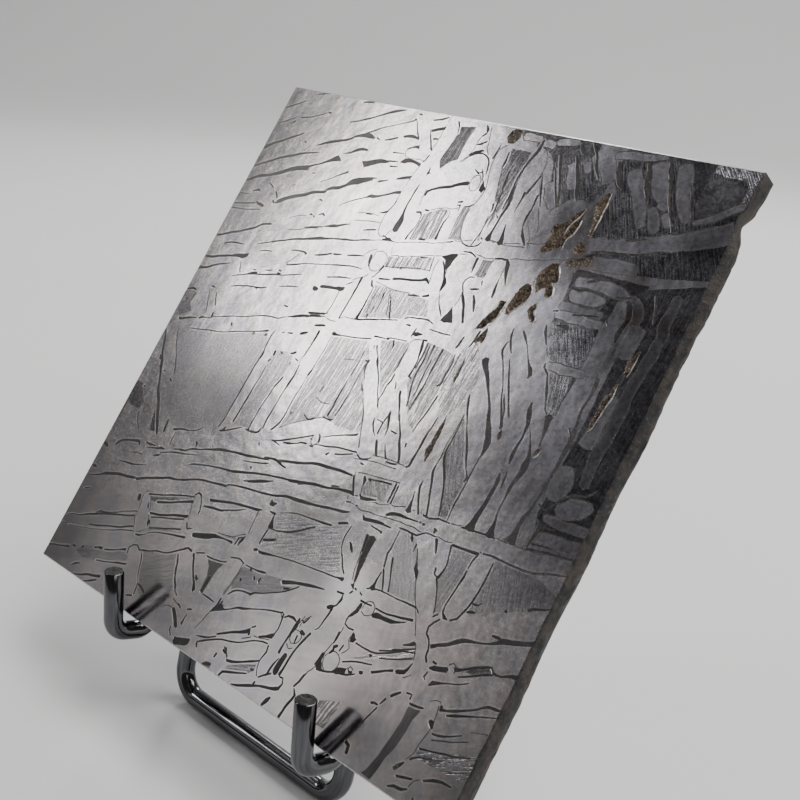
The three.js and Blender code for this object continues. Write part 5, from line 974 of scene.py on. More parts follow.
# Thin etched lines along the edges of bands: x and y at each point
EDGES = [
    (28.2, 70.6, 27.1, 70.3, 26.5, 69.7, 26.8, 69.1, 27.8, 68.9, 29.2, 69, 30.2, 69),
    (31.1, 75.6, 31, 74, 30.9, 72.3, 30.7, 70.9),
    (37.2, 73.2, 37.2, 72, 36.8, 71, 36.2, 70.2, 35.9, 69.9),
    (38.2, 75.3, 38.5, 74.3, 38.9, 73.2, 39.1, 72.4, 39.8, 71.5),
    (41.9, 73.3, 41.1, 72.6, 40.95, 71.2, 41.2, 69.6, 41.6, 68.4, 41.95, 67, 41.8, 65.8, 41.4, 64.6),
    (41.25, 64.2, 41.1, 62.8, 41.4, 61.4, 42, 60.2, 42.8, 59.6, 43.6, 59.5),
    (42.9, 70.2, 43.3, 68.6, 43.8, 67.2, 44.2, 66, 44.5, 64.6),
    (39.2, 67.8, 39.3, 67, 39.9, 66.4, 40.5, 66.5, 40.8, 67.3, 40.6, 68.2, 40.1, 68.7, 39.5, 68.5,
     39.2, 67.8),
    (35.4, 62.7, 36.6, 63.2, 37.8, 63.5, 38.6, 63.5, 39.6, 64),
    (30.2, 68.4, 29.8, 67.2, 29.5, 65.6, 29.3, 64.2, 29.25, 63.3),
    (28.8, 61.1, 28.6, 60.2, 28.7, 58.8, 29, 58, 29.6, 57.6, 30.4, 57.7, 30.6, 58.4, 31, 58.9),
    (33.1, 65.2, 33.1, 64, 33.2, 62.9),
    (34.8, 62, 34.6, 60, 34.5, 58.3),
    (35.5, 62.5, 35.4, 60.2, 35.3, 58.4),
    (36, 62.6, 36, 60, 36, 58.7),
    (37.3, 63, 37.4, 61, 37.3, 59),
    (37.9, 63.2, 37.9, 61, 38, 59.2),
    (40.15, 64.1, 40.1, 62, 40.2, 60.2, 40.3, 59.6),
    (24, 59.9, 26, 60.3, 27.6, 60.2),
    (24, 58.8, 26, 59.1, 28.5, 59.4),
    (30.3, 55.4, 30.9, 55.7, 31.7, 55.7, 32.4, 55.3, 32.7, 54.6, 32.5, 53.8, 32, 53.1, 31.2, 52.9,
     30.5, 53.2, 30.2, 54.1, 30.3, 55.4),
    (29.2, 56.9, 30.5, 57.2, 32.5, 57.4),
    (28.6, 54.7, 29.6, 55.6, 30.3, 55.8),
    (34.3, 55.8, 34.2, 54),
    (35, 56, 34.9, 54.3),
    (36.3, 56.3, 36, 54.8),
    (37.3, 56.4, 37.2, 55),
    (32.8, 53.9, 34, 54.1, 36, 54.5, 38, 54.9, 40, 55.1),
    (32.8, 51.7, 34.5, 51.5, 36.5, 51.4, 38.7, 51.6),
    (40.6, 56.8, 40.4, 55.8, 40.6, 54.6, 40.8, 53.7),
    (27.6, 45.2, 28.6, 45, 29.6, 45.1),
    (30.1, 45.7, 30.6, 46, 31.5, 46.1, 32.5, 46.2),
    (28.9, 50.9, 29.5, 51.4, 30.1, 51.6),
    (30.4, 51.8, 31, 52.4),
    (33.6, 51, 33.6, 49, 33.7, 47.4),
    (34.3, 51.2, 34.4, 49.4, 34.4, 47.6),
    (35, 51.2, 35.1, 49.4, 35.1, 47.8),
    (35.6, 51.2, 36.3, 49.6, 37, 48),
    (42.5, 45.7, 43, 46.3, 43.8, 46.5, 44.3, 46.6),
    (42.9, 57.8, 42.5, 56.8, 42.4, 56, 42.6, 55, 43, 54.3),
    (46.2, 53.6, 46.3, 52.6, 46.1, 51.8),
    (50.2, 59, 50.3, 57.8, 50.4, 56.6),
    (48.3, 58.8, 48.1, 57.6, 48.2, 56.3),
    (50.3, 46.5, 50.2, 44.5, 50, 42.5),
    (52.3, 47.8, 52.2, 46),
    (27.6, 40.9, 27.4, 39.5, 27.3, 38.3),
    (29.9, 38, 29.7, 36.8),
    (29.5, 29.8, 31, 30.9, 33, 32, 35, 33, 36.3, 33.3),
    (35.5, 30.9, 35.4, 30, 35.8, 29.5, 36.3, 29.6, 36.6, 30.3, 36.5, 31, 36.1, 31.2),
    (32.8, 35.2, 34, 34.9, 35.4, 35),
    (33.9, 41, 35, 41.2, 36, 41.4),
    (37.7, 41.5, 37.6, 39.5, 37.5, 37.5),
    (36.1, 33.6, 36.6, 33.3, 37.2, 33.5),
    (46.7, 73.8, 46.3, 72.5, 46.1, 71, 46, 69.5, 46.2, 67.8, 46.6, 66.3),
    (47.2, 73.9, 47.6, 73.8, 48.4, 73, 48.8, 71.8, 48.8, 70.3, 48.4, 68.9, 48, 67.7, 47.9, 66.5, 47.7, 65),
    (48.6, 72.9, 49.4, 72.6, 49.9, 72, 50.2, 71.2),
    (48.9, 70.3, 48.5, 68.6, 48.1, 67.6),
    (49.2, 69.7, 49.6, 68.6, 49.9, 67.7, 49.8, 66.3),
    (44.9, 64.8, 44.6, 63.4, 44.5, 61.8, 44.6, 60.6),
    (50.2, 64.4, 51, 63.2, 51.8, 61.9, 52, 61.2),
    (50.8, 66.2, 51.6, 64.8, 52.2, 63.4),
    (50.3, 65.6, 50.9, 64.6),
    (45.6, 60.8, 46.6, 60.9, 48.4, 60.7, 50, 60.9, 51.6, 61.1),
    (66.9, 28.9, 67.5, 29.7, 67.9, 31),
    (68.8, 29.3, 68.5, 30.5, 68.6, 32, 69, 32.6, 69.8, 32.4, 70, 31.5, 69.9, 30, 69.5, 29),
    (54.8, 40, 54.7, 38, 54.5, 36.5, 54.5, 34.5, 54.4, 33),
    (45.5, 31.5, 47, 31.7, 48.5, 31.8, 50.2, 31.8, 50.9, 31.7),
    (44.6, 28.9, 46.2, 29.2, 48, 29.4, 50, 29.7, 51, 29.8),
    (43, 30.2, 46, 30.8, 49.5, 31.1),
    (44.2, 28.9, 44.6, 28, 45.2, 27, 45.5, 26.4),
    (45.9, 28.8, 46.1, 27.8, 46.5, 26.7),
    (50, 22.9, 50.3, 21.5, 50.6, 20.2, 50.8, 18.9, 51.2, 17.6),
    (53.2, 12.5, 53.05, 11),
    (52.8, 10.4, 52.5, 9.4, 52.3, 8.8),
    (52.2, 7.6, 51.9, 6.8, 51.4, 6.1),
    (52.6, 8.6, 52.8, 7.8, 53.5, 7.3, 54.4, 7.6, 54.9, 8.4, 54.7, 9.3, 53.9, 9.7, 53.1, 9.4, 52.6, 8.6),
    (54.8, 12.6, 54.6, 11.6, 55.2, 10.8, 54.6, 9.9),
    (60.8, 18.3, 61.6, 17, 62.4, 15.6),
    (62.9, 15, 63.4, 13.9, 63.6, 13.3),
    (69, 10.6, 69.2, 9.8, 69.3, 8.8, 69.2, 7.5, 68.9, 6.2, 68.8, 5.2, 68.3, 4.2),
    (73.8, 10, 75.7, 10.6),
    (70, 7.2, 72, 8, 74, 9),
    (21.8, 17.3, 21.9, 16.4, 22.4, 15.1, 22.7, 14.2),
    (35.1, 12.4, 34.95, 11, 34.7, 9.6, 34.4, 8.4),
    (33.7, 5.9, 33.3, 4.8, 32.7, 3.2),
    (6.2, 18.1, 7.4, 18.5, 8.9, 18.7),
    (13.2, 54.9, 15, 55.3, 17, 56, 18.5, 56.3),
    (12.4, 56.6, 14, 57.3, 15.2, 57.5),
    (16.2, 50.4, 17, 51.2, 17.7, 52.1),
    (33.1, 19.4, 33.2, 18, 33.3, 16.4),
    (28.5, 14.6, 30, 14.8, 31.4, 15.1, 32, 15.6, 33, 16.1),
    (34.9, 13, 34.8, 11.5, 34.6, 10, 34.3, 8.6),
    (34.7, 8, 34.6, 7.2, 35.3, 7.4),
    (27, 4.8, 27.6, 4.6, 28.6, 4.4),
    (25.8, 3.2, 26.3, 3.6, 27.3, 3.8, 27.8, 3.7),
    (40.3, 5.3, 40.9, 5.6, 41.5, 6),
    (41.8, 6.3, 42.6, 6.4, 43.5, 6.7, 44.2, 6.9),
    (43.9, 10.3, 44.3, 9.9, 44.6, 9.7),
    (47, 9.9, 47.3, 10.8, 47.5, 11.3),
    (47.4, 10, 47.6, 10.9, 48.3, 11.7),
    (46.8, 9.2, 47.2, 9.5, 48, 9.5, 48.4, 9.1, 48.3, 8.5, 47.9, 8.1, 47.3, 7.9, 46.9, 8.2, 46.8, 9.2),
    (46.8, 7.6, 47.4, 7.2, 47.9, 7.5),
    (56.3, 8.8, 56.5, 9.2, 57, 9.1, 56.9, 8.7, 56.3, 8.7),
    (54.3, 15.3, 54.5, 16.2, 55.3, 16.5, 55.9, 16, 55.8, 15.2, 55, 14.8, 54.4, 15),
    (63.4, 11.1, 63.9, 11.5, 64.2, 11.8),
    (67.8, 10.5, 68.4, 10.9, 69, 11, 69.3, 10.6),
    (67.9, 14.7, 68.3, 15.1, 68.9, 14.9, 68.9, 14.2),
    (70, 2, 70.3, 2.8, 70.8, 3.2),
]

# Dark pockets where the gaps between bands widen: outlines
POCKETS = [
    ((40.7, 57.3), (41.4, 57.5), (42.2, 57.7), (43, 58.1), (42.7, 57.2), (42.5, 56.2), (42.3, 55.8),
     (41.9, 56.1), (41.5, 56.9)),
    ((45.1, 49.5), (45.5, 50.2), (45.8, 51.2), (45.95, 51.6), (46.3, 50.9), (46.9, 49.9), (46.9, 49.7),
     (46, 49.5)),
    ((31, 59), (31.1, 60.2), (31.3, 60.5), (32.1, 60.3), (31.9, 59.1)),
    ((61.8, 28.4), (62.3, 29.2), (62.6, 30.5), (62.9, 31.5), (62.95, 30.5), (62.9, 29.4), (63.1, 28.5)),
    ((64.7, 28.7), (64.9, 29.6), (65, 30.5), (65.2, 29.8), (65.8, 28.8), (65.3, 28.6)),
    ((58.3, 40.4), (59.2, 38.6), (59.7, 38.3), (59.5, 37), (59.4, 36.2), (59.1, 37.8), (58.6, 39.3)),
    ((12, 13), (12.2, 13.9), (12.45, 13.9), (12.75, 13.3), (12.6, 13), (12.3, 13.1)),
    ((20, 67), (20.9, 66.2), (21.9, 66.7), (23, 67.2), (24, 67.6), (24, 68), (23, 67.8), (21.8, 67.5),
     (21.2, 67.1)),
    ((19.8, 63.8), (20.4, 64.2), (21.3, 64.6), (22.4, 64.8), (23.4, 65.1), (23.5, 64.7), (22.3, 64.1),
     (21.2, 63.6), (20.2, 63.3), (19.5, 63.1)),
    ((14.7, 66.4), (15.4, 67.1), (15.7, 66.8), (16.2, 66.3), (15.1, 66.2)),
    ((33.9, 6.1), (34.5, 6.6), (35.6, 7.1), (35, 7.3), (34.5, 7.4), (34.2, 6.8)),
    ((28.5, 8.7), (29.3, 8.5), (29, 8.1), (28.6, 8.3)),
    ((26, 6.3), (26.5, 6.2), (26.3, 5.8)),
    ((38.4, 3.4), (38.8, 3), (39.2, 2.7), (39.7, 2.3), (39.6, 2.7), (39.2, 3), (38.9, 3.4)),
    ((15.9, 11.5), (16.3, 11.6), (16.6, 11.2), (16.1, 11)),
    ((51.8, 7.3), (52.1, 8.9), (52.5, 9), (52.5, 8), (53, 7.4), (53.6, 7.2), (52.4, 6.9)),
    ((54.5, 7.7), (55, 8.4), (56.1, 8.8), (56.2, 8.1), (55, 7.6)),
]

# Pits where inclusions weathered or fell out: how deep, how rusty, and the outline
PITS = [
    (0.8, 1.0, (57.3, 67.8), (56.8, 67.2), (56.1, 66.7), (55.7, 65.7), (54.9, 65), (54.1, 64.8),
     (53.9, 64.3), (54.2, 63.4), (54.1, 62.4), (53.6, 60.8), (54.6, 61.2), (55.6, 61.7), (56.4, 62.4),
     (56.5, 63.5), (57.1, 64), (57.3, 65), (57.2, 66.2), (57.1, 67)),
    (0.55, 0.8, (59.3, 70), (58.9, 70), (58.3, 69), (58.1, 68), (58.3, 67.3), (58.7, 66.5), (58.9, 65.5),
     (59, 64.5), (59.3, 64), (59.4, 66), (59.4, 69.8)),
    (0.55, 1.0, (58.3, 63.4), (58.8, 63.6), (59.4, 63), (59.6, 62.3), (59.2, 61.9), (58.4, 61.9),
     (57.9, 62.3), (58.2, 62.8)),
    (0.8, 1.0, (57.2, 60.3), (56.2, 60.1), (55.9, 59.5), (55.4, 58.9), (55.2, 58.2), (55.4, 57.3),
     (55.6, 56.8), (56, 56.1), (56.5, 56.8), (57, 57), (57.3, 56), (57.9, 55.9), (58.2, 56.4),
     (57.9, 57.3), (57.5, 57.8), (58, 58), (58.1, 58.6), (57.7, 59.2), (57.3, 59.7)),
    (0.8, 1.0, (54.3, 57), (55.2, 56.9), (55.6, 56.2), (55.5, 55.2), (55, 54.3), (54.4, 53.5),
     (53.9, 52.6), (53.4, 52.6), (53.2, 53.3), (53.3, 54.3), (53.5, 55.4), (53.8, 56.3)),
    (0.5, 0.6, (56.8, 55), (56.3, 54.5), (56.1, 53.9), (56.7, 53.1), (57.3, 52.6), (57.7, 52.8),
     (57.5, 53.4), (57, 53.8), (57.1, 54.5)),
    (0.75, 0.55, (52.9, 54.2), (52, 54.1), (52, 53.2), (51.3, 52.2), (50.9, 51.3), (50.6, 50.5),
     (50.4, 49.8), (51.5, 50.2), (52, 51), (52.6, 51.8), (52.7, 53)),
    (0.35, 0.5, (52.1, 50.6), (52.4, 50), (52.5, 49), (52.3, 48.4), (51.9, 48.6), (51.5, 48.2),
     (51.2, 48.5), (51.5, 49.2), (51.8, 50)),
    (0.55, 0.5, (71.9, 53.2), (71.4, 52.6), (71.1, 51.7), (71.2, 50.6), (71, 50), (71.7, 50.1),
     (71.9, 50.9), (71.8, 51.6), (72, 52.4)),
    (0.55, 0.7, (71.2, 49.2), (70.9, 48.6), (70.8, 47.5), (70.4, 46.5), (70.4, 45.3), (70.2, 44.3),
     (70.3, 43.2), (70.7, 43.7), (70.8, 44.6), (71, 46), (71.2, 47.5)),
    (0.4, 0.2, (66.1, 39.6), (65.7, 39.3), (65.5, 38.8), (65.7, 38.4), (66.1, 38.8)),
    (0.35, 0.25, (52.6, 39.2), (52.9, 38.2), (53, 36.5), (53, 34.8), (52.8, 33.1), (52.3, 33.9),
     (52.1, 34.5), (52.3, 35.6), (52.4, 37.4)),
    (0.2, 0.5, (51.2, 46.6), (51.4, 45.4), (51.5, 44), (51.4, 42.9), (51.1, 43.2), (51.1, 44.6)),
    (0.3, 0.3, (34.2, 21.3), (34.6, 21.25), (35.1, 21.3), (35.2, 21), (34.8, 20.7), (34.3, 20.6),
     (34.15, 20.9)),
    (0.2, 0.3, (42, 75.7), (43, 75.7), (43.2, 74.6), (42.7, 73.7), (41.8, 73.6), (41.2, 74.3),
     (41.4, 75.2)),
    (0.2, 0.35, (57.8, 60.6), (58.6, 61.2), (59.5, 61.5), (60.4, 61.9), (61.1, 62), (61.3, 61.4),
     (60.7, 60.8), (60, 60.4), (59, 60.2), (58.2, 60.1)),
    (0.25, 0.4, (67.4, 3.1), (67.8, 3.3), (67.9, 2.8), (67.5, 2.5), (67.2, 2.7)),
    (0.2, 0.3, (60.3, 40), (60.6, 39.8), (60.8, 39.1), (60.5, 38.6), (60.2, 39.2)),
]

# Bright raised rims of bare metal beside the pits: x, y and width at each point
RIMS = [
    (55.9, 63.4, 0.1, 56, 64.5, 0.2, 56.3, 65.4, 0.22, 56.9, 66.5, 0.22, 57.2, 67.4, 0.12),
    (56.6, 61.9, 0.1, 56.6, 63.3, 0.2, 57.1, 64, 0.22, 57.35, 65, 0.22, 57.3, 66, 0.15),
    (59.45, 64, 0.1, 59.5, 66, 0.2, 59.5, 68.5, 0.18, 59.4, 70, 0.1),
    (57.4, 60, 0.12, 57.9, 59.1, 0.22, 58.2, 58.3, 0.2),
    (57.5, 57.8, 0.12, 58.1, 57.2, 0.2, 58.35, 56.3, 0.2, 57.9, 55.8, 0.12),
    (55.2, 58, 0.1, 55.1, 57, 0.2, 55.55, 56, 0.22, 55.55, 55.2, 0.22, 54.9, 54.1, 0.2, 54.2, 53.3, 0.2,
     53.8, 52.5, 0.12),
    (53, 53.8, 0.1, 52.8, 52.4, 0.18, 52.2, 51, 0.18, 51.6, 50.1, 0.12),
    (57.5, 52.6, 0.1, 57.8, 52.9, 0.16, 57.5, 53.6, 0.16, 57.2, 54.2, 0.1),
    (72.05, 53.1, 0.1, 72, 52.2, 0.17, 71.95, 51.4, 0.18, 71.95, 50.6, 0.17, 71.75, 50, 0.12),
    (71.3, 49.1, 0.1, 71.3, 48.4, 0.16, 71.35, 47.5, 0.18, 71.1, 46, 0.18, 70.9, 44.6, 0.18,
     70.75, 43.6, 0.17, 70.3, 42.9, 0.12),
    (66.25, 39.3, 0.1, 66.1, 38.7, 0.22, 65.7, 38.3, 0.14),
    (63.95, 35.6, 0.06, 63.95, 34.6, 0.12, 63.9, 33.9, 0.08),
    (66.05, 44.4, 0.08, 66.1, 43.9, 0.16, 66, 43.6, 0.06),
]


def grown_line(stroke, step):
    """A smooth line through a stroke's points, as an array of x, y and width."""
    points = np.array(stroke, float).reshape(-1, 3)
    padded = np.vstack([2 * points[0] - points[1], points, 2 * points[-1] - points[-2]])
    line = []
    for i in range(1, len(padded) - 2):
        p0, p1, p2, p3 = padded[i - 1:i + 3]
        count = max(1, round(float(np.hypot(*(p2 - p1)[:2])) / step))
        for t in np.arange(count) / count:
            bent = 0.5 * (2 * p1 + (p2 - p0) * t + (2 * p0 - 5 * p1 + 4 * p2 - p3) * t**2
                          + (3 * p1 - p0 - 3 * p2 + p3) * t**3)
            bent[2] = p1[2] + (p2[2] - p1[2]) * t
            line.append(bent)
    line.append(padded[-2])
    return np.array(line)


def wander(count, rng):
    """A soft random wander along a line, between about -1.5 and 1.5."""
    raw = np.array([rng.uniform(-1, 1) for _ in range(count + 2)])
    return (raw[:-2] + raw[1:-1] * 1.4 + raw[2:]) / 2.2


def stroke_outlines(rng, stroke, insets, step, roughness):
    """Outlines of a stroke, one for each inset, with the same rough edges."""
    line = grown_line(stroke, step)
    places, widths = line[:, :2], line[:, 2]
    along = np.gradient(places, axis=0)
    along /= np.maximum(np.linalg.norm(along, axis=1), 1e-9)[:, None]
    across = np.stack([-along[:, 1], along[:, 0]], 1)
    size = np.minimum(roughness, 0.16 * widths + 0.012)
    middle = (wander(len(line), rng) * size * 0.7)[:, None]
    left = (wander(len(line), rng) * size * 0.6)[:, None]
    right = (wander(len(line), rng) * size * 0.6)[:, None]
    start_reach = min(0.3 * widths[0], 0.2)
    end_reach = min(0.3 * widths[-1], 0.2)
    outlines = []
    for inset in insets:
        half = np.maximum(widths / 2 - inset, 0.008)[:, None]
        left_side = places + across * (middle + half + left)
        right_side = places + across * (middle - half + right)
        start = places[0] - along[0] * start_reach + along[0] * inset
        end = places[-1] + along[-1] * end_reach - along[-1] * inset
        outlines.append(np.vstack([start, right_side, end, left_side[::-1]]))
    return outlines


def rough_polygon(rng, points, step, roughness):
    """A closed outline through points, divided evenly and made a little rough."""
    points = np.array(points, float)
    closed = []
    for a, b in zip(points, np.roll(points, -1, 0)):
        length = float(np.hypot(*(b - a)))
        count = max(1, round(length / step))
        across = np.array([a[1] - b[1], b[0] - a[0]]) / max(length, 1e-9)
        for i in range(count):
            closed.append(a + (b - a) * i / count + across * rng.uniform(-roughness, roughness))
    return np.array(closed)


def inside(outline, points):
    """Which points lie inside a closed outline."""
    x, y = points[:, 0], points[:, 1]
    result = np.zeros(len(points), bool)
    for (x0, y0), (x1, y1) in zip(outline, np.roll(outline, -1, 0)):
        if y0 == y1:
            continue
        crossed = (y0 > y) != (y1 > y)
        result ^= crossed & (x < (x1 - x0) * (y - y0) / (y1 - y0) + x0)
    return result


def distance_to(outline, points):
    """How far points are from a closed outline."""
    nearest = np.full(len(points), 1e9)
    for a, b in zip(outline, np.roll(outline, -1, 0)):
        along = b - a
        share = np.clip(((points - a) @ along) / max(float(along @ along), 1e-12), 0, 1)
        away = points - a - share[:, None] * along
        nearest = np.minimum(nearest, np.hypot(away[:, 0], away[:, 1]))
    return nearest


class Pattern:
    """Shapes painted over each other on a face; the last one over a place owns it."""

    def __init__(self, border):
        self.border = border
        self.shapes = []
        self.loose_points = []

    def add(self, kind, outline, tone=1.0, angle=0.0, lines=0.0, depth=0.0):
        self.shapes.append(Shape(kind, np.asarray(outline, float), tone, angle, lines, depth))

    def triangles(self):
        """Vertices, triangles and the number of the shape that owns each triangle."""
        points, edges = [], []
        for outline in [self.border] + [shape.outline for shape in self.shapes]:
            start, count = len(points), len(outline)
            points.extend(Vector(p) for p in outline)
            edges.extend((start + i, start + (i + 1) % count) for i in range(count))
        points.extend(Vector(p) for p in self.loose_points)
        found = delaunay_2d_cdt(points, edges, [], 0, 1e-4, False)
        places = np.array([tuple(v) for v in found[0]])
        faces = np.array([f for f in found[2] if len(f) == 3])
        a, b, c = places[faces[:, 0]], places[faces[:, 1]], places[faces[:, 2]]
        area = (b - a)[:, 0] * (c - a)[:, 1] - (b - a)[:, 1] * (c - a)[:, 0]
        faces[area < 0] = faces[area < 0][:, ::-1]
        middles = (a + b + c) / 3
        kept = inside(self.border, middles)
        faces, middles = faces[kept], middles[kept]
        owners = np.full(len(faces), -1)
        for number, shape in enumerate(self.shapes):
            low, high = shape.outline.min(0), shape.outline.max(0)
            near = np.flatnonzero(((middles > low) & (middles < high)).all(1))
            if len(near):
                owners[near[inside(shape.outline, middles[near])]] = number
        return places, faces, owners

    def fact(self, owner, smooth=False):
        """What is stored with a triangle that a shape owns, or with bare ground."""
        if owner < 0:
            return Fact(KIND_SLOTS[GROUND], 1.0, 0.0, 0.0, smooth)
        shape = self.shapes[owner]
        return Fact(KIND_SLOTS[shape.kind], shape.tone, shape.angle, shape.lines, smooth)


def boundary_loop(faces):
    """The vertices round the outside of a patch of triangles, in order."""
    sides = {}
    for f in faces:
        for a, b in ((f[0], f[1]), (f[1], f[2]), (f[2], f[0])):
            sides[(int(a), int(b))] = True
    following = {a: b for a, b in sides if (b, a) not in sides}
    loop = [next(iter(following))]
    while following[loop[-1]] != loop[0]:
        loop.append(following[loop[-1]])
    return loop


def eased(x, low, high):
    share = min(1.0, max(0.0, (x - low) / (high - low)))
    return share * share * (3 - 2 * share)


def natural_edge_at(height):
    """How far the natural edge stands out and is broken away at a height up the slice."""
    height = min(max(height, 0.001), SLICE_SIDE)
    upper = next(i for i, row in enumerate(NATURAL_EDGE) if row[0] >= height)
    h0, out0, broken0 = NATURAL_EDGE[upper - 1]
    h1, out1, broken1 = NATURAL_EDGE[upper]
    share = eased(height, h0, h1)
    return out0 + (out1 - out0) * share, broken0 + (broken1 - broken0) * share


def add_attribute(mesh, name, values, kind="FLOAT", domain="FACE"):
    """Numbers or places stored with the mesh, for its materials to read."""
    attribute = mesh.attributes.new(name, kind, domain)
    attribute.data.foreach_set("vector" if kind == "FLOAT_VECTOR" else "value", values)


def make_object(name, vertices, polygons, materials, slots, smooth):
    mesh = bpy.data.meshes.new(name)
    mesh.from_pydata(vertices, [], polygons)
    for material in materials:
        mesh.materials.append(material)
    mesh.polygons.foreach_set("material_index", slots)
    mesh.polygons.foreach_set("use_smooth", smooth)
    mesh.update()
    made = bpy.data.objects.new(name, mesh)
    bpy.context.scene.collection.objects.link(made)
    return made


def face_border(spacing):
    """The face's outline, anticlockwise, with the natural edge on the right a little uneven."""
    count = round((FACE_HIGH - FACE_LOW) / spacing)
    steps = [FACE_LOW + (FACE_HIGH - FACE_LOW) * i / count for i in range(count)]
    right = []
    for y in steps:
        calm = min(1, (y - FACE_LOW) / 2, (FACE_HIGH - y) / 2)
        uneven = 0.1 + 0.13 * noise.noise(Vector((0.55 * y, 2.3, 0)))
        uneven += 0.06 * noise.noise(Vector((2.1 * y, 7, 0)))
        chip = CHIP_DEPTH * math.exp(-((y - CHIP_MIDDLE) / CHIP_REACH) ** 2)
        right.append((FACE_HIGH - calm * max(0, uneven) - chip, y))
    sides = [(x, FACE_LOW) for x in steps] + right
    sides += [(FACE_HIGH - (x - FACE_LOW), FACE_HIGH) for x in steps]
    sides += [(FACE_LOW, FACE_HIGH - (y - FACE_LOW)) for y in steps]
    return np.array(sides)


def paint_fields(pattern, rng):
    for tone, angle, lines, *outline in FIELDS:
        outline = rough_polygon(rng, outline, step=0.8, roughness=0.06)
        pattern.add(FIELD, outline, tone, math.radians(angle), lines)


def paint_bands(pattern, rng):
    """The light bands, each between two seams, with a darker core where it is wide, so that the lighter
    edge paints a highlight of a domed relief.
    """
    for tone, *stroke in BANDS:
        insets = (-SEAM_WIDTH, 0, BAND_CORE_INSET)
        outer, inner, core = stroke_outlines(rng, stroke, insets, step=0.5, roughness=0.16)
        tone *= rng.uniform(0.97, 1.03)
        pattern.add(SEAM, outer, SEAM_TONE)
        # The band's lighter edge is a painted highlight
        pattern.add(BAND, inner, BAND_EDGE_HIGHLIGHT_TONE * tone)
        if max(stroke[2::3]) > NARROW_BAND_WIDTH:
            pattern.add(BAND, core, tone)


def paint_gap_highlights(pattern, rng):
    """A painted highlight, a lighter border along the gaps that run between bands; returns every gap's own
    outlines.
    """
    gaps = []
    for stroke in GAPS:
        wide = max(stroke[2::3]) >= WIDE_GAP_WIDTH
        own_insets = (-RIM_WIDTH, 0) if wide else (-THIN_GAP_OUTSET,)
        insets = (-GAP_HIGHLIGHT_WIDTH, *own_insets)
        border, *outlines = stroke_outlines(rng, stroke, insets, step=0.6, roughness=0.06)
        gaps.append((wide, outlines))
        middle = border.mean(0)
        in_field = any(inside(np.array(outline, float), middle[None])[0] for _, _, _, *outline in FIELDS)
        tarnished_and_shaded = middle[0] + 0.4 * middle[1] >= 82
        # The lighter border is a painted highlight; none inside the fields or where the face is darkened at
        # the upper right
        if not in_field and not tarnished_and_shaded:
            pattern.add(BAND, border, GAP_HIGHLIGHT_TONE)
    return gaps


def paint_edges(pattern, rng):
    """Thin grey lines between grains."""
    for edge in EDGES:
        stroke = [value for x, y in zip(edge[::2], edge[1::2]) for value in (x, y, EDGE_WIDTH)]
        outline, = stroke_outlines(rng, stroke, (0,), step=0.5, roughness=0.05)
        pattern.add(SEAM, outline, rng.uniform(*EDGE_TONES))


def paint_gaps(pattern, gaps, rng):
    """The gaps and the dark pockets, with thin bright rims round the pockets and the wide gaps."""
    pockets = [rough_polygon(rng, outline, step=0.3, roughness=0.04) for outline in POCKETS]
    for outline in pockets:
        away = outline - outline.mean(0)
        grown = outline + RIM_WIDTH * away / np.linalg.norm(away, axis=1)[:, None]
        pattern.add(RIM, grown, POCKET_RIM_TONE)
    for wide, outlines in gaps:
        if wide:
            # Rims at the right are dimmer: tarnishing and painted shade
            tarnished_and_shaded = outlines[0][:, 0].mean() >= RIMS_TARNISHED_AND_SHADED_FROM
            tones = TARNISHED_AND_SHADED_RIM_TONES if tarnished_and_shaded else GAP_RIM_TONES
            pattern.add(RIM, outlines[0], rng.uniform(*tones))
    for outline in pockets:
        pattern.add(GAP, outline, rng.uniform(*WIDE_GAP_TONES))
    for wide, outlines in gaps:
        pattern.add(GAP, outlines[-1], rng.uniform(*(WIDE_GAP_TONES if wide else THIN_GAP_TONES)))


def paint_pits(pattern, rng):
    """The rusty pits, each with a grid of loose points for its crumbly floor."""
    for depth, rust, *points in PITS:
        outline = rough_polygon(rng, points, step=0.28, roughness=0.05)
        pattern.add(PIT, outline, rust, depth=depth)
        low, high = outline.min(0), outline.max(0)
        grid = np.array([
            (x + rng.uniform(-PIT_STRAY, PIT_STRAY), y + rng.uniform(-PIT_STRAY, PIT_STRAY))
            for x in np.arange(low[0], high[0], PIT_GRID) for y in np.arange(low[1], high[1], PIT_GRID)
        ])
        grid = grid[inside(outline, grid)]
        if len(grid):
            grid = grid[distance_to(outline, grid) > PIT_MARGIN]
        pattern.loose_points.extend(grid)


def paint_ridges(pattern, rng):
    """The raised edges of bare metal beside the pits, each with loose points along its crest."""
    for stroke in RIMS:
        outline, = stroke_outlines(rng, stroke, (RIDGE_INSET,), step=0.25, roughness=0.05)
        pattern.add(RIDGE, outline)
        crest = grown_line(stroke, step=0.25)[1:-1, :2]
        strays = np.array([rng.uniform(-RIDGE_STRAY, RIDGE_STRAY) for _ in crest])
        pattern.loose_points.extend(crest + strays[:, None])


def front_pattern():
    """Everything that the etched face shows, in the order in which it is painted."""
    rng = random.Random(7)
    pattern = Pattern(face_border(spacing=0.5))
    paint_fields(pattern, rng)
    paint_bands(pattern, rng)
    gaps = paint_gap_highlights(pattern, rng)
    paint_edges(pattern, rng)
    paint_gaps(pattern, gaps, rng)
    paint_pits(pattern, rng)
    paint_ridges(pattern, rng)
    return pattern


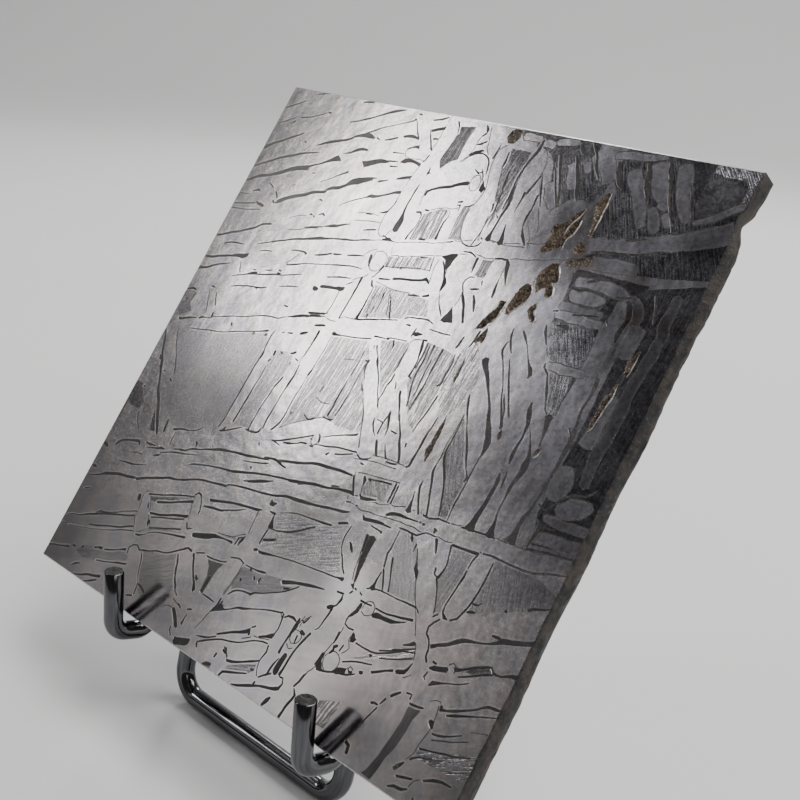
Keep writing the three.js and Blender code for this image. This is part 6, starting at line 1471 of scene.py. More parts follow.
def back_pattern(border):
    """The other face shows the same bands, a little shifted, and none of the pits."""
    rng = random.Random(11)
    pattern = Pattern(border)

    def shifted(points):
        return np.clip(points + BACK_SHIFT, BACK_LOW, BACK_HIGH)

    for tone, angle, lines, *outline in FIELDS:
        outline = rough_polygon(rng, outline, step=1.2, roughness=0.06)
        pattern.add(FIELD, shifted(outline), tone, math.radians(angle), lines)
    for tone, *stroke in BANDS:
        outline, = stroke_outlines(rng, stroke, (0,), step=1.0, roughness=0.16)
        pattern.add(BAND, shifted(outline), tone)
    for stroke in GAPS:
        if max(stroke[2::3]) >= BACK_GAP_WIDTH:
            outline, = stroke_outlines(rng, stroke, (0,), step=1.0, roughness=0.06)
            pattern.add(GAP, shifted(outline), rng.uniform(*BACK_GAP_TONES))
    return pattern


def face_heights(pattern, places, faces, owners):
    """How far each place stands out of the face: gaps and pits are sunk, ridges are raised."""
    kinds = np.array([GROUND if n < 0 else pattern.shapes[n].kind for n in owners])

    def touched(faces):
        mark = np.zeros(len(places), bool)
        mark[faces.ravel()] = True
        return mark

    def beside(*wanted):
        return touched(faces[np.isin(kinds, wanted)])

    heights = np.zeros(len(places))
    at_face = beside(GROUND, FIELD, BAND, SEAM)
    heights[~at_face & beside(GAP)] = -GAP_DEPTH
    heights[~at_face & beside(RIDGE) & ~beside(PIT, GAP, RIM)] = RIDGE_HEIGHT
    in_pit = beside(PIT) & ~at_face & ~beside(GAP, RIM, RIDGE)
    for number, shape in enumerate(pattern.shapes):
        if shape.kind != PIT:
            continue
        own = np.flatnonzero(touched(faces[owners == number]) & in_pit)
        for i, distance in zip(own, distance_to(shape.outline, places[own])):
            x, y = places[i]
            rough = noise.noise(Vector((2.3 * x, 2.3 * y, 1)))
            rough += 0.6 * noise.noise(Vector((5.5 * x, 5.5 * y, 4)))
            floor = shape.depth * (0.62 + 0.42 * rough)
            heights[i] = -max(SHALLOWEST_PIT, min(shape.depth, floor)) * eased(distance, *PIT_SLOPE)
    return heights


def wall_ring(loop_places, depth):
    """The slice's outline at a depth behind its face, one place for each place round the face."""
    bulge = np.interp(depth, EDGE_DEPTHS, BULGE_AT_DEPTH)
    broken = np.interp(depth, EDGE_DEPTHS, BROKEN_AT_DEPTH)
    at_back = depth > SLICE_THICKNESS - 0.01
    middle = SLICE_SIDE / 2
    grow = 1 if at_back else middle / (middle - SAWN_EDGE_BEVEL)
    ring = []
    for x, y in loop_places:
        ring_x = middle + (x - middle) * grow
        if x > FACE_HIGH - NATURAL_EDGE_REACH and FACE_LOW + 0.01 < y < FACE_HIGH - 0.01:
            out, gone = natural_edge_at(y)
            calm = min(1, (y - FACE_LOW) / 1.5, (FACE_HIGH - y) / 1.5)
            rough = 0.16 * noise.noise(Vector((0.8 * y, 1.2 * depth, 3)))
            rough += 0.09 * noise.noise(Vector((2.6 * y, 3.1 * depth, 8)))
            edge = FACE_HIGH if at_back else SLICE_SIDE
            uneven = (x - FACE_HIGH) * max(0, 1 - depth / 1.6)
            ring_x = edge + bulge * out - broken * gone + calm * rough * (0.3 + 0.7 * bulge) + uneven
            ring_x = min(ring_x, SLICE_MOST_X)
        ring.append((ring_x, middle + (y - middle) * grow, -depth))
    return ring


def add_walls(vertices, polygons, facts, loop, loop_places):
    """The walls, ring by ring from the face to the back; returns the last ring's vertices."""
    count = len(loop)
    above = loop
    for depth in WALL_RING_DEPTHS:
        below = list(range(len(vertices), len(vertices) + count))
        vertices.extend(wall_ring(loop_places, depth))
        for i in range(count):
            j = (i + 1) % count
            polygons.append((above[i], below[i], below[j], above[j]))
            (x, y), (next_x, next_y) = loop_places[i], loop_places[j]
            on_right = min(x, next_x) > SLICE_SIDE - NATURAL_WALL_REACH
            natural = on_right and abs(x - next_x) < abs(y - next_y)
            slot = NATURAL_WALL_SLOT if natural else CUT_WALL_SLOT
            facts.append(Fact(slot, 1.0, 0.0, 0.0, natural))
        above = below
    return above


def add_back(vertices, polygons, facts, ring):
    """The back face, joined to the last ring of the walls."""
    border = np.array([vertices[i][:2] for i in ring])
    pattern = back_pattern(border)
    places, faces, owners = pattern.triangles()
    numbers = np.full(len(places), -1)
    for i, place in zip(ring, border):
        numbers[np.argmin(((places - place) ** 2).sum(1))] = i
    for i, (x, y) in enumerate(places):
        if numbers[i] < 0:
            numbers[i] = len(vertices)
            vertices.append((x, y, -SLICE_THICKNESS))
    for face, owner in zip(faces, owners):
        polygons.append([numbers[i] for i in face[::-1]])
        facts.append(pattern.fact(owner))


def without_unused(vertices, polygons):
    """The vertices that polygons use, and the polygons with the vertices' new numbers."""
    used = np.zeros(len(vertices), bool)
    for polygon in polygons:
        used[list(polygon)] = True
    new_number = np.cumsum(used) - 1
    vertices = [vertex for vertex, keep in zip(vertices, used) if keep]
    return vertices, [tuple(int(new_number[i]) for i in polygon) for polygon in polygons]


def make_slice(materials):
    pattern = front_pattern()
    places, faces, owners = pattern.triangles()
    heights = face_heights(pattern, places, faces, owners)
    vertices = [(x, y, height) for (x, y), height in zip(places, heights)]
    polygons = list(faces)
    facts = []
    for owner in owners:
        in_pit = owner >= 0 and pattern.shapes[owner].kind == PIT
        facts.append(pattern.fact(owner, smooth=in_pit))
    loop = boundary_loop(faces)
    ring = add_walls(vertices, polygons, facts, loop, places[loop])
    add_back(vertices, polygons, facts, ring)
    vertices, polygons = without_unused(vertices, polygons)

    slots = [fact.slot for fact in facts]
    smooth = [bool(fact.smooth) for fact in facts]
    in_model = [FACE_TO_MODEL @ Vector(vertex) for vertex in vertices]
    etched_slice = make_object("etched_slice", in_model, polygons, materials, slots, smooth)
    mesh = etched_slice.data
    add_attribute(mesh, "tone", [fact.tone for fact in facts])
    add_attribute(mesh, "line_angle", [fact.angle for fact in facts])
    add_attribute(mesh, "line_strength", [fact.lines for fact in facts])
    add_attribute(mesh, "face_place", np.array(vertices, np.float32).ravel(), "FLOAT_VECTOR", "POINT")
    return etched_slice


def bent_sections(corners, bend_radii, steps_per_bend):
    """Places and directions along a wire that turns each corner in a round bend."""
    sections = [(corners[0], (corners[1] - corners[0]).normalized())]
    for before_corner, corner, after_corner, radius in zip(corners, corners[1:], corners[2:], bend_radii):
        before = (corner - before_corner).normalized()
        after = (after_corner - corner).normalized()
        turn = before.angle(after)
        start = corner - before * radius * math.tan(turn / 2)
        axis = before.cross(after).normalized()
        inward = axis.cross(before)
        centre = start + inward * radius
        for step in range(steps_per_bend + 1):
            turned = Matrix.Rotation(turn * step / steps_per_bend, 3, axis)
            sections.append((centre + turned @ (inward * -radius), turned @ before))
    sections.append((corners[-1], (corners[-1] - corners[-2]).normalized()))
    return sections


def make_wire(name, corners, bend_radii, materials):
    """A round wire with saw-cut ends whose edges are a little rounded."""
    sections = bent_sections([Vector(c) for c in corners], bend_radii, BEND_STEPS)
    first, along_first = sections[0]
    last, along_last = sections[-1]
    end_radius = wire_radius - WIRE_END_CHAMFER
    rings = [
        (first, along_first, end_radius),
        (first + along_first * WIRE_END_CHAMFER, along_first, wire_radius),
    ]
    rings += [(place, along, wire_radius) for place, along in sections[1:-1]]
    rings += [
        (last - along_last * WIRE_END_CHAMFER, along_last, wire_radius),
        (last, along_last, end_radius),
    ]
    upright = Vector((0, 0, 1)) if abs(along_first.z) < 0.9 else Vector((0, 1, 0))
    across = along_first.cross(upright).normalized()
    vertices, wire_places = [], []
    run = 0.0
    previous = first
    for place, along, radius in rings:
        across = (across - along * across.dot(along)).normalized()
        other = along.cross(across)
        run += (place - previous).length
        previous = place
        for i in range(WIRE_SIDES):
            angle = 2 * math.pi * i / WIRE_SIDES
            vertices.append(place + (across * math.cos(angle) + other * math.sin(angle)) * radius)
            wire_places.append((run, angle * wire_radius, 0))
    polygons = []
    for ring in range(len(rings) - 1):
        a, b = ring * WIRE_SIDES, (ring + 1) * WIRE_SIDES
        for i in range(WIRE_SIDES):
            j = (i + 1) % WIRE_SIDES
            polygons.append((a + i, a + j, b + j, b + i))
    side_count = len(polygons)
    end = (len(rings) - 1) * WIRE_SIDES
    polygons += [tuple(reversed(range(WIRE_SIDES))), tuple(range(end, end + WIRE_SIDES))]
    slots = [0] * side_count + [1, 1]
    smooth = [True] * side_count + [False, False]
    shift = Vector((SLICE_CORNER_X, SLICE_CORNER_Y, 0))
    in_model = [(v + shift) * 0.001 for v in vertices]
    wire = make_object(name, in_model, polygons, materials, slots, smooth)
    places = np.array(wire_places, np.float32).ravel()
    add_attribute(wire.data, "wire_place", places, "FLOAT_VECTOR", "POINT")
    return wire


def side_point(x, behind, height):
    """A place by its distance from the stand's middle, behind the slice's lower edge and up."""
    return Vector((STAND_MIDDLE_X + x, behind, height))


stand_off = REST_GAP + wire_radius
seat_slope = math.radians(SEAT_SLOPE_DEG)
back_foot_behind = SLICE_THICKNESS * math.cos(lean)
back_foot_height = SLICE_EDGE_HEIGHT - SLICE_THICKNESS * math.sin(lean)
arm_start_behind = back_foot_behind + stand_off * math.cos(lean)
arm_start_height = back_foot_height - stand_off * math.sin(lean)
arm_top_behind = arm_start_behind + BACKREST_LENGTH * math.sin(lean)
arm_top_height = arm_start_height + BACKREST_LENGTH * math.cos(lean)


def seat_height_at(behind):
    """How high the axis of the sloping seat lies at a place behind the slice's lower edge."""
    drop = stand_off / math.cos(seat_slope)
    return back_foot_height - drop - math.tan(seat_slope) * (behind - back_foot_behind)


def seat_end():
    """Where the seat's axis meets the axis of the backrest's arm."""
    arm_slope = 1 / math.tan(lean)
    arm_height_at_edge = arm_start_height - arm_slope * arm_start_behind
    behind = (seat_height_at(0) - arm_height_at_edge) / (arm_slope + math.tan(seat_slope))
    return behind, seat_height_at(behind)


def make_stand_wire(name, width, side, side_radii, materials):
    """A wire down one side of the stand and up the other, through a side's places behind and up."""
    corners = [side_point(-width / 2, *place) for place in side]
    corners += [side_point(width / 2, *place) for place in reversed(side)]
    return make_wire(name, corners, side_radii + side_radii[::-1], materials)


def make_cradle(materials):
    peg = -PEG_AXIS_BEFORE_EDGE
    side = [
        (peg, SLICE_EDGE_HEIGHT + PEG_TIP_ABOVE_EDGE),
        (peg, seat_height_at(peg)),
        seat_end(),
        (arm_top_behind, arm_top_height),
    ]
    side_radii = (WIRE_BEND_RADIUS, SEAT_BEND_RADIUS, FOOT_BEND_RADIUS)
    return make_stand_wire("cradle_rod", PEG_SPACING, side, side_radii, materials)


def make_front_foot(materials):
    rise = FRONT_FOOT_ARM_TOP - wire_radius
    top_behind = FRONT_FOOT_BEHIND_EDGE + rise * math.tan(math.radians(FRONT_FOOT_LEAN_DEG))
    side = [(top_behind, FRONT_FOOT_ARM_TOP), (FRONT_FOOT_BEHIND_EDGE, wire_radius)]
    return make_stand_wire("front_foot_rod", FRONT_FOOT_WIDTH, side, (FOOT_BEND_RADIUS,), materials)


def make_rear_leg(materials):
    top_behind = arm_top_behind + WIRE_DIAMETER + WELD_GAP
    side = [(top_behind, arm_top_height + wire_radius), (REAR_FOOT_BEHIND_EDGE, wire_radius)]
    return make_stand_wire("rear_leg_rod", REAR_LEG_WIDTH, side, (FOOT_BEND_RADIUS,), materials)


# Soft lighter and darker patches on the etched face, partly painted highlight and shade of the light and
# partly the etch's uneven tone: x, y, how far each reaches, how much lighter
SHEEN_AND_TONE_PATCHES = [
    (0, 66, 24, -0.46), (12, 75, 11, -0.25), (45, 73, 11, -0.55), (57, 66, 13, -0.62), (55, 62, 9, -0.45),
    (66, 57, 9, -0.35), (77, 45, 17, -0.5), (74, 31, 9, -0.45), (60, 36, 13, -0.5), (8, 28, 13, -0.45),
    (20, 28, 14, -0.48), (41, 21, 11, -0.5), (46, 30, 10, -0.45), (1, 39, 10, -0.35), (60, 3, 9, -0.6),
    (28, 3, 9, -0.2), (3, 3, 9, -0.3), (24, 10, 8, 0.25), (61, 24, 9, 0.35), (54, 15, 8, 0.25),
    (10, 47, 5, 0.6), (22, 61, 7, 0.2), (36, 58, 7, 0.2), (73, 75, 5, 0.7), (51, 16.5, 5, 0.7),
    (74, 66, 6, -0.3), (51, 65, 10, -0.3), (69, 54, 10, -0.35), (69, 35, 9, -0.35), (52, 35, 7, -0.3),
    (18, 33, 10, -0.25), (66, 2, 10, -0.25), (20, 2, 9, -0.2), (62, 67, 7, -0.2), (66, 65, 5, -0.25),
    (72, 67, 6, -0.25), (73, 62, 6, -0.15), (68, 61.5, 4, -0.3),
]

# Brown stains: x, y, how far each reaches, how strong it is
STAINS = [
    (69.5, 56.5, 2.4, 0.6), (73.6, 57, 2.2, 0.5), (60, 61.2, 3.5, 0.5), (67.5, 60.6, 3, 0.35),
    (58.5, 66, 3.5, 0.4), (67.5, 70, 3, 0.25), (14.8, 11.3, 2.5, 0.15),
]

# Warmer patches of the metal: x, y, how far each reaches, how much warmer
WARM_PATCHES = [
    (17, 66, 20, 0.8), (28, 44, 10, 0.4), (50, 56, 7, 0.6), (57, 11, 15, 0.8), (67, 17, 8, 0.5),
    (50, 40, 8, 0.5), (22, 9, 9, 0.5),
]

# Colours of the metal, its tarnishing with painted shade, the pits, the walls and the rods, the rods
# painted dark for dark reflections
KAMACITE_LAVENDER = (0.512, 0.486, 0.512, 1)
KAMACITE_PEACH = (0.626, 0.568, 0.556, 1)
KAMACITE_TARNISH_AND_SHADE = (0.223, 0.219, 0.247, 1)
INTERGROWTH_LAVENDER = (0.516, 0.49, 0.514, 1)
INTERGROWTH_PEACH = (0.592, 0.546, 0.538, 1)
INTERGROWTH_TARNISH_AND_SHADE = (0.202, 0.197, 0.222, 1)
STAIN_BROWN = (0.125, 0.092, 0.072, 1)
GAP_CHARCOAL = (0.038, 0.037, 0.038, 1)
GAP_BROWN = (0.054, 0.049, 0.046, 1)
GAP_SPECK = (0.24, 0.205, 0.18, 1)
RIM_DULL = (0.4, 0.38, 0.38, 1)
RIM_BRIGHT = (0.61, 0.57, 0.55, 1)
RIM_TARNISH_AND_SHADE = (0.12, 0.12, 0.125, 1)
RUST_DARK_BROWN = (0.036, 0.025, 0.018, 1)
RUST_BROWN = (0.16, 0.105, 0.066, 1)
RUST_OCHRE = (0.38, 0.3, 0.2, 1)
PIT_BLACK = (0.014, 0.013, 0.012, 1)
PIT_GREY = (0.08, 0.07, 0.06, 1)
PIT_METAL = (0.46, 0.4, 0.34, 1)
SAWN_DARK = (0.34, 0.34, 0.345, 1)
SAWN_BRIGHT = (0.52, 0.51, 0.5, 1)
CRUST_BLACK = (0.014, 0.013, 0.013, 1)
CRUST_BROWN = (0.045, 0.036, 0.03, 1)
CRUST_WORN = (0.2, 0.2, 0.205, 1)
# The rods' colours are painted dark, standing in for dark reflections of a dim room
ROD_DARK = (0.075, 0.076, 0.08, 1)
ROD_LIGHT = (0.112, 0.113, 0.118, 1)
ROD_END_DARK = (0.12, 0.12, 0.125, 1)
ROD_END_BRIGHT = (0.34, 0.335, 0.33, 1)


class Tree:
    """A short way to write a material's nodes."""

    def __init__(self, name):
        self.material = bpy.data.materials.new(name)
        self.material.use_nodes = True
        self.nodes = self.material.node_tree.nodes
        self.links = self.material.node_tree.links
        self.nodes.clear()

    def feed(self, socket, value):
        if isinstance(value, bpy.types.NodeSocket):
            self.links.new(value, socket)
        else:
            socket.default_value = value

    def add(self, kind, inputs=None, **settings):
        node = self.nodes.new(kind)
        for name, value in settings.items():
            setattr(node, name, value)
        for key, value in (inputs or {}).items():
            self.feed(node.inputs[key], value)
        return node

    def number(self, name):
        """A number stored with the mesh."""
        return self.add("ShaderNodeAttribute", attribute_name=name).outputs["Fac"]

    def place(self, name):
        """A place stored with the mesh."""
        return self.add("ShaderNodeAttribute", attribute_name=name).outputs["Vector"]

    def parts(self, place):
        """A place's three numbers."""
        return self.add("ShaderNodeSeparateXYZ", {0: place}).outputs

    def plus(self, a, b):
        return self.add("ShaderNodeMath", {0: a, 1: b}, operation="ADD").outputs[0]

    def minus(self, a, b):
        return self.add("ShaderNodeMath", {0: a, 1: b}, operation="SUBTRACT").outputs[0]

    def times(self, a, b):
        return self.add("ShaderNodeMath", {0: a, 1: b}, operation="MULTIPLY").outputs[0]

    def noise(self, place, scale, detail=3.0, roughness=0.55):
        inputs = {"Vector": place, "Scale": scale, "Detail": detail, "Roughness": roughness}
        return self.add("ShaderNodeTexNoise", inputs).outputs[0]

    def stretched(self, place, angle, along, across):
        """A place turned by an angle, then scaled along and across that direction."""
        turned = self.add("ShaderNodeVectorRotate", {"Vector": place}, rotation_type="Z_AXIS")
        self.feed(turned.inputs["Angle"], self.times(angle, -1.0))
        return self.scaled(turned.outputs[0], (along, across, 1))

    def scaled(self, place, scales):
        node = self.add("ShaderNodeVectorMath", {0: place, 1: scales}, operation="MULTIPLY")
        return node.outputs[0]

    def ramp(self, fac, low, high, at_low=0.0, at_high=1.0):
        """A number eased from one range to another."""
        inputs = {"Value": fac, "From Min": low, "From Max": high, "To Min": at_low, "To Max": at_high}
        return self.add("ShaderNodeMapRange", inputs, interpolation_type="SMOOTHSTEP").outputs[0]

    def mix(self, fac, a, b):
        node = self.add("ShaderNodeMix", data_type="RGBA")
        self.feed(node.inputs["Factor"], fac)
        self.feed(node.inputs["A"], a)
        self.feed(node.inputs["B"], b)
        return node.outputs["Result"]

    def tarnish_and_shade(self, parts, cloud):
        """How far the face is darkened, partly by real tarnishing and partly by painted shade: from none at
        the left to all over at the upper right.
        """
        across = self.times(parts[0], 0.94)
        across = self.plus(across, self.times(parts[1], 0.35))
        across = self.plus(across, self.times(cloud, 10.0))
        return self.times(self.ramp(across, 62.0, 84.0), self.ramp(parts[1], 16.0, 38.0))

    def left_side_shade(self, parts):
        """Painted shade: the face is a little darker along its left side."""
        return self.ramp(parts[0], -4.0, 16.0, 0.55, 1.0)

    def patch(self, place, x, y, core, reach, at_middle, beyond=0.0):
        """A number that eases from a round patch's core to its reach."""
        away = self.add("ShaderNodeVectorMath", {0: place, 1: (x, y, 0)}, operation="DISTANCE")
        return self.ramp(away.outputs["Value"], core, reach, at_middle, beyond)

    def stain(self, place, color):
        """The face is stained brown in a few places."""
        for x, y, reach, strength in STAINS:
            color = self.mix(self.patch(place, x, y, 0.2 * reach, reach, strength), color, STAIN_BROWN)
        return color

    def warmth(self, place):
        """How far the metal leans from lavender to peach in its warmer patches."""
        amount = 0.0
        for x, y, reach, warmer in WARM_PATCHES:
            amount = self.plus(self.patch(place, x, y, 0.0, reach, warmer), amount)
        return amount

    def sheen_and_tone(self, place):
        """Painted highlight and shade, partly the etch's uneven tone: soft lighter and darker patches of
        the face, multiplied together.
        """
        amount = 1.0
        for x, y, reach, lighter in SHEEN_AND_TONE_PATCHES:
            amount = self.times(self.patch(place, x, y, 0.0, reach, 1.0 + lighter, 1.0), amount)
        return amount

    def mottle(self, place, tarnish_and_shade, depth):
        """The tarnishing at the upper right is uneven, with small dark and light specks and cloudy patches.
        """
        specks = self.ramp(self.noise(place, 1.9, 6.0, 0.8), 0.34, 0.66, -depth, depth)
        clouds = self.ramp(self.noise(place, 0.45, 3.0, 0.6), 0.35, 0.65, -0.6 * depth, 0.6 * depth)
        return self.plus(1.0, self.times(tarnish_and_shade, self.plus(specks, clouds)))

    def near_pegs(self, parts):
        """The face is more polished along its bottom, where the pegs are mirrored in it."""
        return self.ramp(parts[1], 4.0, 16.0, 0.55, 1.0)

    def scaled_color(self, color, amount):
        node = self.add("ShaderNodeVectorMath", {0: color, "Scale": amount}, operation="SCALE")
        return node.outputs[0]

    def bump(self, height, distance, strength=1.0, before=None):
        node = self.add("ShaderNodeBump", {"Height": height, "Distance": distance, "Strength": strength})
        if before is not None:
            self.feed(node.inputs["Normal"], before)
        return node.outputs[0]

    def surface(self, **inputs):
        shader = self.add("ShaderNodeBsdfPrincipled")
        for name, value in inputs.items():
            self.feed(shader.inputs[name.replace("_", " ")], value)
        output = self.add("ShaderNodeOutputMaterial")
        self.links.new(shader.outputs[0], output.inputs[0])
        return self.material


def kamacite_look():
    """The light bands: satin etched metal, faintly mottled, duller and bluer at the upper right from
    tarnishing and painted shade.
    """
    t = Tree("kamacite")
    place = t.place("face_place")
    tone = t.number("tone")
    parts = t.parts(place)
    cloud = t.noise(place, 0.16, 4.0, 0.6)
    grain = t.noise(place, 2.2, 5.0, 0.65)
    streak = t.noise(t.stretched(place, 0.3, 0.12, 0.9), 1.0, 2.0)
    hue = t.noise(place, 0.34, 2.0, 0.5)
    warmth = t.plus(t.ramp(hue, 0.4, 0.62, 0.0, 0.7), t.warmth(place))
    color = t.mix(warmth, KAMACITE_LAVENDER, KAMACITE_PEACH)
    tarnish_and_shade = t.tarnish_and_shade(parts, cloud)
    # Tarnishing and painted shade: the colour darkens and turns bluer toward the upper right
    color = t.mix(t.times(tarnish_and_shade, 0.9), color, KAMACITE_TARNISH_AND_SHADE)
    color = t.stain(place, color)
    shade = t.ramp(grain, 0.25, 0.75, 0.95, 1.04)
    shade = t.times(shade, t.ramp(streak, 0.3, 0.7, 0.94, 1.05))
    # Painted shade along the left side, and soft patches of painted highlight and shade mixed with the
    # etch's uneven tone
    shade = t.times(t.times(shade, t.left_side_shade(parts)), t.sheen_and_tone(place))
    shade = t.times(shade, t.mottle(place, tarnish_and_shade, 0.09))
    color = t.scaled_color(color, t.times(shade, tone))
    roughness = t.plus(t.ramp(grain, 0.3, 0.7, 0.21, 0.28), t.times(tarnish_and_shade, 0.04))
    roughness = t.times(roughness, t.near_pegs(parts))
    fine = t.noise(place, 9.0, 3.0, 0.7)
    normal = t.bump(hue, 0.00006, t.ramp(parts[1], 4.0, 16.0, 0.25, 1.0))
    normal = t.bump(grain, 0.00004, 0.05, normal)
    normal = t.bump(fine, 0.00002, 0.03, normal)
    return t.surface(Base_Color=color, Metallic=1.0, Roughness=roughness, Normal=normal)


def intergrowth_look():
    """The fields between the bands: duller metal with fine lines that follow each field's own direction."""
    t = Tree("intergrowth")
    place = t.place("face_place")
    tone = t.number("tone")
    angle = t.number("line_angle")
    parts = t.parts(place)
    grain = t.noise(place, 3.0, 5.0, 0.7)
    cloud = t.noise(place, 0.22, 3.0, 0.6)
    tarnish_and_shade = t.tarnish_and_shade(parts, cloud)
    strength = t.number("line_strength")
    strength = t.times(strength, t.ramp(tarnish_and_shade, 0.0, 1.0, 1.0, 0.5))
    lines = t.noise(t.stretched(place, angle, 0.28, 4.2), 1.0, 3.0, 0.6)
    lines = t.ramp(lines, 0.4, 0.58)
    darker = t.times(strength, t.minus(1.0, lines))
    shade = t.plus(1.0, t.times(strength, 0.35))
    shade = t.minus(shade, t.times(darker, 1.15))
    grainy = t.times(t.ramp(grain, 0.25, 0.75, -0.3, 0.3), strength)
    shade = t.times(shade, t.plus(1.0, grainy))
    shade = t.times(shade, t.ramp(cloud, 0.35, 0.65, 0.94, 1.05))
    # Painted shade along the left side, and soft patches of painted highlight and shade mixed with the
    # etch's uneven tone
    shade = t.times(t.times(shade, t.left_side_shade(parts)), t.sheen_and_tone(place))
    shade = t.times(shade, t.mottle(place, tarnish_and_shade, 0.42))
    speckle = t.ramp(t.noise(place, 3.4, 3.0, 0.6), 0.36, 0.62, -0.2, 0.26)
    shade = t.times(shade, t.plus(1.0, t.times(speckle, strength)))
    warmth = t.plus(t.ramp(cloud, 0.4, 0.65, 0.0, 0.7), t.warmth(place))
    color = t.mix(warmth, INTERGROWTH_LAVENDER, INTERGROWTH_PEACH)
    # Tarnishing and painted shade: the colour darkens and turns bluer toward the upper right
    color = t.mix(t.times(tarnish_and_shade, 0.9), color, INTERGROWTH_TARNISH_AND_SHADE)
    color = t.stain(place, color)
    color = t.scaled_color(color, t.times(shade, tone))
    roughness = t.times(t.ramp(grain, 0.3, 0.7, 0.22, 0.29), t.near_pegs(parts))
    normal = t.bump(lines, 0.00003, t.times(strength, 0.6))
    normal = t.bump(grain, 0.00004, t.times(strength, 0.25), normal)
    return t.surface(Base_Color=color, Metallic=1.0, Roughness=roughness, Normal=normal)


def gap_look():
    """The etched gaps: brownish charcoal, greyer at the upper left with painted glare, specked in the
    tarnishing at the upper right.
    """
    t = Tree("etched_gap")
    place = t.place("face_place")
    tone = t.number("tone")
    grain = t.noise(place, 4.0, 5.0, 0.7)
    patch = t.noise(place, 0.5, 2.0)
    color = t.mix(t.ramp(patch, 0.4, 0.65), GAP_CHARCOAL, GAP_BROWN)
    parts = t.parts(place)
    specks = t.ramp(t.noise(place, 3.5, 5.0, 0.75), 0.55, 0.66, 0.0, 0.7)
    color = t.mix(t.times(specks, t.tarnish_and_shade(parts, patch)), color, GAP_SPECK)
    # Painted glare: the gaps are lighter at the upper left
    painted_glare = t.times(t.ramp(parts[0], 22.0, 42.0, 1.5, 0.0), t.ramp(parts[1], 44.0, 58.0))
    shade = t.times(t.ramp(grain, 0.25, 0.75, 0.6, 1.6), t.plus(1.0, painted_glare))
    color = t.scaled_color(color, t.times(shade, tone))
    normal = t.bump(grain, 0.00005, 0.6)
    roughness = t.ramp(grain, 0.3, 0.7, 0.34, 0.5)
    return t.surface(Base_Color=color, Metallic=0.6, Roughness=roughness, Normal=normal)


def rim_look():
    """The thin edges of bare metal: dim along the gaps, bright and rough beside the pits."""
    t = Tree("bright_rim")
    place = t.place("face_place")
    tone = t.number("tone")
    parts = t.parts(place)
    cloud = t.noise(place, 0.16, 4.0, 0.6)
    grain = t.noise(place, 3.0, 3.0)
    color = t.mix(t.ramp(grain, 0.3, 0.7), RIM_DULL, RIM_BRIGHT)
    # Tarnishing and painted shade dim the rims at the upper right
    dimmed = t.times(t.tarnish_and_shade(parts, cloud), t.ramp(tone, 0.5, 0.9, 0.8, 0.0))
    color = t.mix(dimmed, color, RIM_TARNISH_AND_SHADE)
    color = t.scaled_color(color, tone)
    roughness = t.plus(t.ramp(grain, 0.3, 0.7, 0.26, 0.36), t.ramp(tone, 0.5, 1.2, 0.0, 0.22))
    return t.surface(Base_Color=color, Metallic=1.0, Roughness=roughness)


def rust_look():
    """The pits' floors: crumbly rust in browns, with a few bright grains of metal."""
    t = Tree("pit_rust")
    place = t.place("face_place")
    rust = t.number("tone")
    grain = t.noise(place, 3.2, 6.0, 0.75)
    patch = t.noise(place, 1.1, 4.0, 0.65)
    brown = t.mix(t.ramp(patch, 0.36, 0.66), RUST_DARK_BROWN, RUST_BROWN)
    ochre = t.mix(t.ramp(grain, 0.5, 0.66), brown, RUST_OCHRE)
    dark = t.mix(t.ramp(patch, 0.36, 0.66), PIT_BLACK, PIT_GREY)
    color = t.mix(rust, dark, ochre)
    metal = t.ramp(t.noise(place, 5.0, 2.0), 0.57, 0.66)
    color = t.mix(metal, color, PIT_METAL)
    normal = t.bump(grain, 0.00015, 0.8)
    roughness = t.ramp(metal, 0.0, 1.0, 0.8, 0.35)
    return t.surface(Base_Color=color, Metallic=metal, Roughness=roughness, Normal=normal)


def cut_wall_look():
    """The sawn walls: bright metal with fine saw lines along the wall."""
    t = Tree("sawn_wall")
    place = t.place("face_place")
    parts = t.parts(place)
    along = t.plus(parts[0], parts[1])
    run = t.times(along, 0.12)
    depth = t.times(parts[2], 9.0)
    lines = t.noise(t.add("ShaderNodeCombineXYZ", {0: run, 2: depth}).outputs[0], 1.0, 3.0)
    grain = t.noise(place, 1.6, 4.0)
    color = t.mix(t.ramp(lines, 0.35, 0.65), SAWN_DARK, SAWN_BRIGHT)
    color = t.scaled_color(color, t.ramp(grain, 0.3, 0.7, 0.8, 1.1))
    normal = t.bump(lines, 0.00003, 0.5)
    roughness = t.ramp(lines, 0.3, 0.7, 0.3, 0.46)
    return t.surface(Base_Color=color, Metallic=1.0, Roughness=roughness, Normal=normal)


def natural_wall_look():
    """The natural edge: dark weathered crust with rusty patches and worn bright spots."""
    t = Tree("natural_crust")
    place = t.place("face_place")
    grain = t.noise(place, 1.8, 6.0, 0.7)
    patch = t.noise(place, 0.45, 4.0, 0.6)
    color = t.mix(t.ramp(patch, 0.4, 0.62), CRUST_BLACK, CRUST_BROWN)
    color = t.scaled_color(color, t.ramp(grain, 0.25, 0.75, 0.6, 1.5))
    worn = t.times(t.ramp(grain, 0.56, 0.7), t.ramp(patch, 0.42, 0.55, 0.75, 0.1))
    color = t.mix(worn, color, CRUST_WORN)
    normal = t.bump(grain, 0.0003, 0.9)
    metallic = t.ramp(worn, 0.0, 1.0, 0.35, 1.0)
    roughness = t.ramp(grain, 0.3, 0.7, 0.42, 0.68)
    return t.surface(Base_Color=color, Metallic=metallic, Roughness=roughness, Normal=normal)


